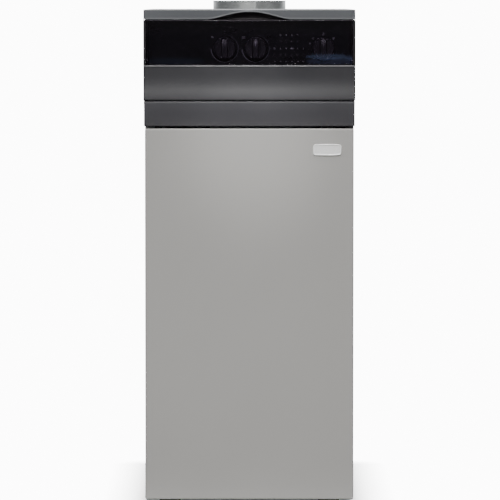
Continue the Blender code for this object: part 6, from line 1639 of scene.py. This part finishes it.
    def add_board_parts(self) -> None:
        """Relays, connectors with pins, and capacitors on the control board's rear."""
        cases = Skin("board_relays")
        for x, z in ((20, 770), (44, 770), (68, 770), (20, 730)):
            cases.block((x - 9, 48.5, z - 13), (x + 9, 64, z + 13), 0.8, Y)
        cases.piece(HOUSING_PLASTIC)
        plugs = Skin("board_connectors")
        for x in np.linspace(-8, 96, 5):
            plugs.block((x - 9, 48.5, 708), (x + 9, 59, 716), 0.6, Y)
            for pin in np.linspace(x - 7, x + 5, 4):
                plugs.block((pin, 58.8, 709.4), (pin + 2.4, 60, 714.6), 0.3, Y)
        plugs.piece(WHITE_PLASTIC)
        can = [(0, 48.5), (5, 48.5), (5.2, 49.2), (4.8, 50), (5.2, 50.8), (5.2, 66), (4.8, 66.6), (0, 66.6)]
        places = [(x, 0, z) for x, z in ((-30, 785), (-30, 770), (100, 770), (114, 770))]
        Skin("board_capacitors").turn(can, Y, places, 32).piece(BRIGHT_STEEL)


@dataclass
class FrontDoor:
    """The door's pan, insulation pad, bare badge, hinges and catches."""

    half_width: float = 175.9
    low: float = 8
    high: float = 635.1
    front: float = 6
    edge: float = 3
    badge_x: float = 131
    badge_z: float = 599.1
    pad_half_width: float = 162.7
    pad_half_height: float = 300.35
    pad_back: float = 7.5

    def build(self) -> None:
        """Makes the door's pieces and dresses what holds it."""
        dress(ZINC, "upper_hinge_bracket", "lower_hinge_bracket")
        dress(HOUSING_PLASTIC, "upper_magnet_catch", "lower_magnet_catch")
        self.add_pan()
        self.add_pad()
        self.add_badge()
        self.add_catch_parts()

    def add_pan(self) -> None:
        """A pan with rolled edges, side returns and a flat rim turned in behind, on two bushes."""
        middle = (self.low + self.high) / 2
        shape = Pressed(self.half_width, (self.high - self.low) / 2, 3, Y, (0, 0, middle), 6, 10)
        turn = np.linspace(0, QUARTER, 7)
        rows = [(40, self.front), (6, self.front)]
        rows += [(self.edge * (1 - sin(a)), self.front + self.edge * (1 - cos(a))) for a in turn]
        rows += [(0, 14), (0, 21.8), (0.3, 22.6), (0.9, 23), (2, 23), (9.4, 23), (10, 22.7)]
        rows += [(10, 22.1), (9.4, 21.8), (1.6, 21.8), (1.2, 21.2), (1.2, 9.6), (1.8, 8), (3, 7.2), (40, 7.2)]
        Skin("door_pan").lay(shape.shut(rows)).piece(DOOR_PAINT, "door", 40, "front_door")
        bushes = Skin("door_pivot_bushes")
        for low, top in ((8.6, 21), (622.1, 634.4)):
            profile = [(0.05, low), (4.3, low), (4.6, low + 0.4), (4.6, top - 0.4), (4.3, top), (0.05, top)]
            bushes.turn(profile, Z, [(-170.4, 18.3, 0)], 36, ring=True)
        bushes.piece(BRIGHT_STEEL, "door")

    def add_pad(self) -> None:
        """The insulation pad, 10.6 mm - dimples + creases thick, with a washer in each dimple.

        Its rim rounds off as a quarter circle.
        """
        half_x, half_z = self.pad_half_width, self.pad_half_height
        centre_z = (self.low + self.high) / 2
        places = [(x, 0, z) for x in (-108, 0, 108) for z in (96, 246, 396, 546)]
        x = np.linspace(-half_x, half_x, 97)[None, :]
        z = np.linspace(-half_z, half_z, 171)[:, None] + centre_z
        rim = np.minimum((half_x - abs(x)) / 7, (half_z - abs(z - centre_z)) / 7)
        rim = np.sqrt(np.clip(1 - (1 - np.clip(rim, 0, 1)) ** 2, 0, 1))
        dimple = sum(4.2 * np.exp(-((x - px) ** 2 + (z - pz) ** 2) / 22**2) for px, _, pz in places)
        wave = 0.55 * crinkle(x, z, 5, 9)
        rear = self.pad_back + (10.6 - dimple * rim + wave * rim) * (0.35 + 0.65 * rim)
        depths = (np.minimum(rear, 18.5), np.full_like(rear, self.pad_back))
        sheets = [stand(x, depth, z, Z) for depth in depths]
        border = [np.concatenate((s[0], s[1:, -1], s[-1, -2::-1], s[-2:0:-1, 0])) for s in sheets]
        pad = Skin("door_pad").lay(sheets[0], close_columns=False).lay(sheets[1], close_columns=False)
        pad.lay(np.stack(border)).piece(FOIL, "door", 70, "door_insulation")
        washer = [(0, 15.2), (2, 15.2), (2.4, 14.6), (11.6, 14.2), (12, 14), (12, 13.7), (0, 13.7)]
        Skin("door_pad_washers").turn(washer, Y, places, 40).piece(BRIGHT_STEEL, "door")

    def add_badge(self) -> None:
        """The bare badge: a plate whose long edges bow out a little, in a raised rim."""
        rows = [(0.2, 5.95), (0, 5.2), (0.05, 4.3), (0.35, 3.7), (0.8, 3.42), (1.3, 3.45), (1.75, 3.7)]
        rows += [(2, 4.1), (2.3, 4.3), (3, 4.3)]
        surface = Pressed(24, 8.75, 4.2, Y, (self.badge_x, 0, self.badge_z), 8, 12).shut(rows)
        bow = 1 + 0.13 * np.cos(pi * (surface[..., 0] - self.badge_x) / 52)
        surface[..., 2] = self.badge_z + np.clip((surface[..., 2] - self.badge_z) * bow, -10, 10)
        Skin("badge_shell").lay(surface).piece(BADGE_METAL, "door", node="door_badge")

    def add_catch_parts(self) -> None:
        """A round steel-cased magnet in each catch, and the bracket's screws."""
        face = [(0, 23.25), (4.2, 23.25), (4.5, 23.1), (6.4, 23.08), (6.8, 23.2), (6.8, 23.6), (0, 23.6)]
        places = [(151.7, 0, 628.5), (151.7, 0, 20)]
        Skin("catch_magnets").turn(face, Y, places, 40).piece(BRIGHT_STEEL)
        places = [(-168, depth, 636.25, depth) for depth in (34, 52)]
        Skin("bracket_screws").heads(places, Z, -1, 3).piece(BRIGHT_STEEL)


@dataclass
class HeatExchanger:
    """The iron sections in their foil blanket, their stand and the hoods' screws."""

    half_width: float = 156
    middle: float = 282
    half_depth: float = 188
    low: float = 300
    high: float = 630
    wool: float = 16
    strap_pitch: float = 110

    def build(self) -> None:
        """Makes the blanket with its straps and dresses the iron and the sheet metal."""
        dress(CAST_IRON, "boiler_section_1", "boiler_section_2", "boiler_section_3")
        dress(BRIGHT_STEEL, "left_tie_rod", "right_tie_rod")
        dress(ZINC, "exchanger_stand")
        self.add_blanket()
        self.add_straps()
        self.add_hood_screws()

    def add_blanket(self) -> None:
        """The blanket: the rounded outline of the CAD jacket, billowed between its straps.

        A point stands out by (B + creases) |sin(pi (z - z0) / s)|^0.7, less what the cut edges take.
        The inner face is plain, and the outer lies flat round the drain cock and the two pipes.
        """
        shape = Pressed(self.half_width, self.half_depth, 14, Z, (0, self.middle, 0), 8, 34)
        heights = np.linspace(self.low, self.high, 121)
        outside = shape.surface([(2.4, z) for z in heights])
        x, depth, z = np.moveaxis(outside, -1, 0)
        around = np.cumsum(np.linalg.norm(np.diff(outside, axis=1, append=outside[:, :1]), axis=2), axis=1)
        billow = np.abs(np.sin(pi * (z - self.low) / self.strap_pitch)) ** 0.7
        end = np.clip(np.minimum(z - self.low, self.high - z) / 5, 0, 1)
        out = (2.2 + 1.4 * crinkle(around, z, 11, 11)) * billow * end
        out = out - 2.5 * (1 - np.sqrt(1 - (1 - end) ** 2))
        away = np.stack((x / self.half_width, (depth - self.middle) / self.half_depth), axis=-1) ** 9
        away /= np.linalg.norm(away, axis=-1, keepdims=True)
        at_rear = abs(away[..., 1]) > 0.9
        for hole_x, hole_z in ((-PIPE_X, RETURN_Z), (PIPE_X, RETURN_Z), (PIPE_X, FLOW_Z)):
            near = np.exp(-((x - hole_x) ** 2 + (z - hole_z) ** 2) / 26**2)
            out = out * (1 - np.where(at_rear, near, 0))
        outside[..., :2] += away * out[..., None]
        inside = shape.surface([(self.wool, z) for z in heights[::-1]])
        blanket = Skin("foil_blanket").loop(np.concatenate((outside, inside)))
        blanket.piece(FOIL, crease=70, node="insulation_jacket")

    def add_straps(self) -> None:
        """Two steel bands round the blanket, each with a buckle at the front."""
        bands = Skin("blanket_straps")
        half_x, half_y = self.half_width - 1.6, self.half_depth - 1.6
        rows = [(-0.8, -6.5), (-1.2, -6.2), (-1.2, 6.2), (-0.8, 6.5), (1, 6.5), (1, -6.5)]
        for z in (self.low + self.strap_pitch, self.low + 2 * self.strap_pitch):
            bands.loop(Pressed(half_x, half_y, 14, Z, (0, self.middle, z), 8, 16).surface(rows))
            bands.block((28, 93, z - 9.5), (58, 96.6, z + 9.5), 0.7, Y, 2)
            bands.block((36, 92.2, z - 5), (50, 94, z + 5), 0.6, Y, 1.2)
        bands.piece(ZINC)

    def add_hood_screws(self) -> None:
        """Screws along the collector's and the diverter's flanges."""
        spots = (-60, 0, 60)
        screws = Skin("hood_screws").heads([(x, 380, 690, x) for x in spots], Y, -1, 3.2)
        screws.heads([(x, 575, 690, x) for x in spots], Y, 1, 3.2)
        screws.heads([(x, 575, 764, x + 1) for x in spots], Y, 1, 3.2)
        for side in SIDES:
            screws.heads([(85 * side, depth, 690, depth) for depth in (420, 480, 540)], X, side, 3.2)
        screws.piece(BRIGHT_STEEL)


@dataclass
class Burner:
    """The chamber, its front plate with sight glass and electrode, and the tubes."""

    sight_z: float = 272
    electrode: Point = (-46, 0, 262)

    def build(self) -> None:
        """Makes the small fittings and dresses the chamber and the tubes."""
        dress(LINING, "combustion_chamber")
        dress(HOT_STEEL, "burner_front_plate")
        dress(BURNER_STEEL, "burner_tube_1", "burner_tube_2", "burner_tube_3")
        self.add_ports()
        self.add_sight_glass()
        self.add_electrode()
        self.add_plate_screws()

    def add_ports(self) -> None:
        """Raised port strips across the top of each tube: short arcs every 6 mm."""
        strips = Skin("burner_ports")
        for x in TUBES_X:
            for depth in np.arange(146, 416, 6):
                strips.sealed(hoop((22.35, 21.6), 1.1, (52, 128), 13, Y, (x, depth, TUBES_Z)))
        strips.piece(HOT_STEEL)

    def add_sight_glass(self) -> None:
        """A plated bezel with two lugs and a blue heat-proof pane."""
        places = [(0, 0, self.sight_z)]
        rim = [(11.2, 117.3), (15, 117.3), (15, 114.6), (14.6, 113.4), (13.6, 112.6), (12.6, 112.4)]
        rim += [(11.7, 112.8), (11.2, 113.6)]
        bezel = Skin("sight_bezel").turn(rim, Y, places, 72, ring=True)
        bezel.pair((14, 115.6, self.sight_z - 5), (25, 117.4, self.sight_z + 5), 0.5, Y, 3)
        bezel.heads([(20.5 * side, 115.6, self.sight_z, side) for side in SIDES], Y, -1, 2.9)
        bezel.piece(BRIGHT_STEEL, node="sight_glass")
        pane = [(0, 116.6), (11.25, 116.6), (11.25, 114.8), (10.8, 114.4), (0, 114.2)]
        Skin("sight_pane").turn(pane, Y, places, 64).piece(SIGHT_CLEAR)

    def add_electrode(self) -> None:
        """A glazed insulator with three ribs, a clamp plate and a wire tip over the tubes."""
        body = [
            (0, 101.4), (2.4, 101.4), (3.3, 102), (3.5, 103), (3.5, 105), (4.3, 105.8), (3.5, 106.6),
            (3.5, 108.4), (4.3, 109.2), (3.5, 110), (3.5, 111.8), (4.3, 112.6), (3.5, 113.4), (3.5, 114.3),
            (6.6, 114.5), (7, 115), (7, 117), (6.6, 117.4), (3.5, 117.4), (3.5, 138.6), (2.8, 139.6),
            (0, 139.7),
        ]
        insulator = Skin("electrode_insulator").turn(body, Y, [self.electrode], 48)
        insulator.piece(CERAMIC, node="ignition_electrode")
        x, _, z = self.electrode
        tip = curve_through([(x, 139, z), (x, 150, z), (x, 160, z - 0.8), (x, 165.3, z - 2.6)], 2)
        wire = Skin("electrode_wire").lay(carried(circle(1.15, 16), tip, (1, 0, 0)))
        wire.block((x - 7, 113.2, z - 6), (x + 7, 114.4, z + 6), 0.4, Y, 2.5).piece(HOT_STEEL)

    def add_plate_screws(self) -> None:
        """Hexagon screws with washers round the burner's front plate."""
        screws = Skin("burner_plate_screws")
        washer = [(0, 117.65), (5.2, 117.65), (5.4, 117.4), (5.2, 116.9), (0, 116.9)]
        places = [(x, 0, z) for x in (-101, 101) for z in (160, 224, 288)]
        places += [(0, 0, 160), (-60, 0, 289), (60, 0, 289)]
        for place in places:
            screws.turn(washer, Y, [place], 32).lay(nut(place, Y, 116.9, 113.6, 4))
        screws.piece(BRIGHT_STEEL)


@dataclass
class GasTrain:
    """The gas pipe, the valve and the manifold with its injectors."""

    bar_depth: float = 69.7

    def build(self) -> None:
        """Makes the manifold, the pipe and the valve's fittings."""
        dress(VALVE_CAST, "gas_valve")
        self.add_manifold()
        self.add_pipe()
        self.add_valve_parts()

    def add_manifold(self) -> None:
        """A square bar with plugged ends, brass injectors, bolts and a riser with its flange."""
        depth = self.bar_depth
        half = 12
        bar = Skin("manifold_bar")
        bar.block((-88, depth - half, TUBES_Z - half), (88, depth + half, TUBES_Z + half), 2.6, X)
        riser = [
            (0, 150.3), (15.2, 150.3), (16.6, 150.8), (17, 151.8), (17, 154.2), (16.4, 155.1), (10.2, 155.3),
            (9.3, 156.2), (9, 157.6), (9, 205), (9.6, 208), (11, 211), (0, 211),
        ]
        bar.turn(riser, Z, [(0, depth, 0)], 64)
        bolts_at = [(31 * side, 0, TUBES_Z) for side in SIDES]
        strut = [(0, 81), (5, 81), (5, 116.4), (4.6, 117.4), (0, 117.4)]
        bar.turn(strut, Y, bolts_at, 32).piece(GAS_PAINT, node="gas_manifold")
        brass = Skin("manifold_injectors")
        tip = [(0, 87.6), (3.6, 87.6), (3.4, 91), (2.6, 94.2), (1.9, 95.6), (0.8, 95.8), (0.7, 94.6)]
        tip.append((0, 94.6))
        for x in TUBES_X:
            brass.lay(nut((x, 0, TUBES_Z), Y, 81.6, 87.7, 6)).turn(tip, Y, [(x, 0, TUBES_Z)], 32)
        for side in SIDES:
            brass.lay(nut((0, depth, TUBES_Z), X, 87.9 * side, 93 * side, 8))
        brass.piece(BRASS)
        bolts = Skin("manifold_bolts")
        for place in bolts_at:
            bolts.lay(nut(place, Y, 57.75, 53, 5.2))
        for a in np.radians([45, 135, 225, 315]):
            bolts.lay(nut((13 * cos(a), depth + 13 * sin(a), 0), Z, 155, 157.6, 2.5))
        bolts.piece(BRIGHT_STEEL)

    def add_pipe(self) -> None:
        """The inlet pipe with a union nut by the valve and a thread on its free end."""
        centre = (0, 0, GAS_Z)
        rows = [(10.4, 606), (10.4, 115.35), (13, 115.35), (13.4, 116), (13.4, 606), (12.9, 606.5)]
        pipe = Skin("gas_pipe").turn(rows, Y, [centre], 72, ring=True)
        pipe.loop(screw_thread(Y, centre, (13.3, 10.4), (606.3, PIPE_END), 2.3, 0.9))
        pipe.piece(GAS_PAINT, node="gas_inlet_pipe")
        collar = [(13.5, 133.8), (16.2, 133.8), (16.2, 138), (15.4, 139.4), (13.5, 139.8)]
        union = Skin("gas_union_nut").lay(nut(centre, Y, 118, 134, 18.5))
        union.turn(collar, Y, [centre], 64, ring=True).piece(BRASS)

    def fluted(self, angle: Array, along: Array) -> Array:
        """The regulator cap's swell: 18 flutes."""
        return 1 + 0.03 * np.cos(18 * angle)

    def add_valve_parts(self) -> None:
        """Test nipples, a regulator cap, a cover with its screws and the coil's plug."""
        brass = Skin("valve_nipples")
        nipple = [(0, 45.4), (3.4, 45.4), (3.4, 42.6), (2.9, 42.2), (2.9, 39.6), (3.3, 38.8), (2.6, 37.4)]
        nipple.append((0, 37.2))
        for x in (-22, 22):
            brass.lay(nut((x, 0, 140), Y, 45.2, 42.4, 4.8)).turn(nipple, Y, [(x, 0, 140)], 32)
        brass.piece(BRASS)
        rows = [(0, 45.3), (12, 45.3), (12.3, 44.8), (12, 36.6), (11.2, 35.8), (3.2, 35.6), (2.9, 36.6)]
        rows.append((0, 36.6))
        cap = Skin("valve_caps").lay(turned(rows, Y, (0, 0, 108), 108, self.fluted))
        cap.block((72.1, 64, 108), (79.5, 86, 130), 1.2, X, 2).piece(HOUSING_PLASTIC)
        Skin("valve_cover").block((-30, 43.4, 94), (30, 45.2, 146), 0.6, Y, 5).piece(VALVE_CAST)
        places = [(x, 43.4, z, x * z) for x in (-25.5, 25.5) for z in (98.5, 126)]
        Skin("valve_screws").heads(places, Y, -1, 3.2).piece(BRIGHT_STEEL)


@dataclass
class WaterSide:
    """The flow and return pipes, the drain cock and the mains gland."""

    def build(self) -> None:
        """Makes the pipes and fittings."""
        dress(BRASS, "drain_cock")
        self.add_pipe("flow_pipe", FLOW_Z)
        self.add_pipe("return_pipe", RETURN_Z)
        self.add_handle()
        self.add_gland()

    def add_pipe(self, name: str, z: float) -> None:
        """A painted pipe with a welded collar at the section and a threaded end.

        Args:
            name: the CAD node that it stands for.
            z: its height.
        """
        centre = (PIPE_X, 0, z)
        rows = [(13.5, 604), (13.5, 440.35), (16.4, 440.35), (16.8, 441), (16.8, 604), (16.2, 604.6)]
        pipe = Skin(f"{name}_wall").turn(rows, Y, [centre], 72, ring=True)
        pipe.loop(screw_thread(Y, centre, (16.6, 13.5), (604.4, PIPE_END), 2.3, 1))
        pipe.piece(PIPE_PAINT, node=name)

    def add_handle(self) -> None:
        """The drain cock's lever: a hub with a screw, and two arms carried along x.

        Half an arm's width is 3.5 - 0.9 sin^2(pi s), where s is its share of the reach. Its section is
        a square with round corners that closes at its end.
        """
        centre = (-PIPE_X, 0, RETURN_Z)
        hub = [(0, 53.4), (10.6, 53.4), (11, 53), (11, 48), (10.4, 46.9), (9.2, 46.4), (5.2, 46.4)]
        handle = Skin("drain_handle_shell").turn([*hub, (4.8, 47.2), (0, 47.2)], Y, [centre], 64)
        along = np.linspace(-19, 19, 33)
        path = stand(along - PIPE_X, 50.2, RETURN_Z, Z)
        reach = abs(along) / 19
        width = (3.5 - 0.9 * np.sin(pi * reach) ** 2) * np.sqrt(np.clip(1.02 - reach**10, 0.0004, 1))
        thick = 2 * np.sqrt(np.clip(1.02 - reach**12, 0.0004, 1))
        ring = circle(1, 28)
        square = np.sign(ring) * np.abs(ring) ** 0.55
        section = square * np.stack((thick, width), axis=-1)[:, None]
        handle.lay(carried(section, path, (0, 0, 1)))
        handle.turn([(0, 53), (2.95, 53), (2.95, 61.9), (0, 61.9)], Y, [centre], 32)
        handle.piece(KNOB_PLASTIC, "drain_handle", node="drain_knob")
        screw = Skin("drain_handle_screw").heads([(-PIPE_X, 47.2, RETURN_Z, 0.3)], Y, -1, 3.6)
        screw.piece(BRIGHT_STEEL, "drain_handle")

    def ribbed(self, angle: Array, along: Array) -> Array:
        """The clamping cap's swell: 16 ribs past the hex body."""
        return 1 - 0.03 * np.clip((along - 606) / 0.5, 0, 1) * (0.5 + 0.5 * np.cos(16 * angle))

    def add_gland(self) -> None:
        """The mains gland: hex body outside, lock nut inside, and a domed clamping cap."""
        centre = (-120, 0, 650)
        rows = [
            (4.6, 613.2), (4.6, 589.6), (5.2, 588.9), (10.8, 588.9), (10.8, 600.2), (10.8, 606.4),
            (10.4, 610), (9, 612.8), (6.8, 614.2), (5.2, 614.2),
        ]
        gland = Skin("gland_body").loop(turned(rows, Y, centre, 96, self.ribbed))
        for start, end in ((600.1, 606.1), (598.7, 593)):
            gland.loop(hexagon(centre, Y, start, end, [(10.6, 0), (13.4, 0), (15, 0.8)], 72))
        gland.piece(RUBBER, node="mains_gland")


@dataclass
class Wiring:
    """The two leads, with their grommets, boot and clips."""

    radius: float = 3.2
    valve_x: float = 118
    ignition_x: float = -70
    hang: float = 89.3
    exit: float = 79.7

    def build(self) -> None:
        """Makes both leads and what holds them."""
        x, hang, top = self.valve_x, self.hang, self.exit
        valve = [(x, top, 696.8), (x, top, 686.8), (x, hang, 632), (x, hang, 466), (x, hang, 300)]
        valve += [(x, 75, TUBES_Z), (x, 75, 150), (92.3, 75, GAS_Z), (82.3, 75, GAS_Z), (72.3, 75, GAS_Z)]
        x = self.ignition_x
        ignition = [(x, top, 696.8), (x, top, 686.8), (x, hang, 632), (x, hang, 466)]
        ignition += [(-46, hang - 10, 310), (-46, 81.1, 272), (-46, 91.1, 262), (-46, 101.1, 262)]
        self.add_lead("valve_lead", valve, RUBBER, (0, 1, 0))
        self.add_lead("ignition_lead", ignition, LEAD_SLEEVE, (1, 0, 0))
        self.add_boots()
        self.add_clips()

    def add_lead(self, name: str, places: Points, finish: Finish, side: Point) -> None:
        """A round lead through its places, with a wrap that counts strands of 2.4 mm along it.

        Args:
            name: the CAD node that it stands for.
            places: where it passes.
            finish: what it is dressed in.
            side: a direction that it never takes.
        """
        path = curve_through(places, 4)
        length = float(np.linalg.norm(np.diff(path, axis=0), axis=1).sum())
        run = carried(circle(self.radius, 24), path, side)
        Skin(f"{name}_run").lay(run, strands=length / 2.4).piece(finish, node=name)

    def add_boots(self) -> None:
        """Rubber grommets under the control box and a boot on the electrode."""
        ring = [
            (3.25, 691.6), (6.2, 691.6), (6.8, 692.4), (6.8, 694.2), (6.2, 695.1), (4, 695.2), (4, 697.6),
            (5.6, 697.7), (5.4, 698.8), (3.25, 699),
        ]
        places = [(x, self.exit, 0) for x in (self.valve_x, self.ignition_x)]
        boot = [(3.25, 94), (4.6, 94.2), (5.4, 95.4), (5.6, 98), (5.2, 103.6), (4.8, 104.4), (3.6, 104.4)]
        boot.append((3.4, 101.2))
        rubber = Skin("lead_grommets").turn(ring, Z, places, 40, ring=True)
        rubber.turn(boot, Y, [(-46, 0, 262)], 40, ring=True).piece(RUBBER)

    def add_clips(self) -> None:
        """Steel clips on the blanket: a flat foot with a hoop over the lead."""
        clips = Skin("lead_clips")
        places = [(self.valve_x, z) for z in (560, 466, 372)]
        for x, z in [*places, (self.ignition_x, 560), (self.ignition_x, 480)]:
            clips.block((x - 8, 92.3, z - 3.5), (x + 8, 93.9, z + 3.5), 0.4, Y, 1.5)
            clips.sealed(hoop((3.9, 3.3), 3.2, (0, -180), 17, Z, (x, self.hang, z)))
        clips.piece(BRIGHT_STEEL)


def main() -> None:
    """Builds the studio and each sub-assembly."""
    logging.basicConfig(level=logging.INFO, format="%(name)s: %(message)s")
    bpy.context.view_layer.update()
    Studio().build()
    for kind in (Casing, ControlPanel, FrontDoor, HeatExchanger, Burner, GasTrain, WaterSide, Wiring):
        LOG.info("building %s", kind.__name__)
        kind().build()


if __name__ == "__main__":
    main()
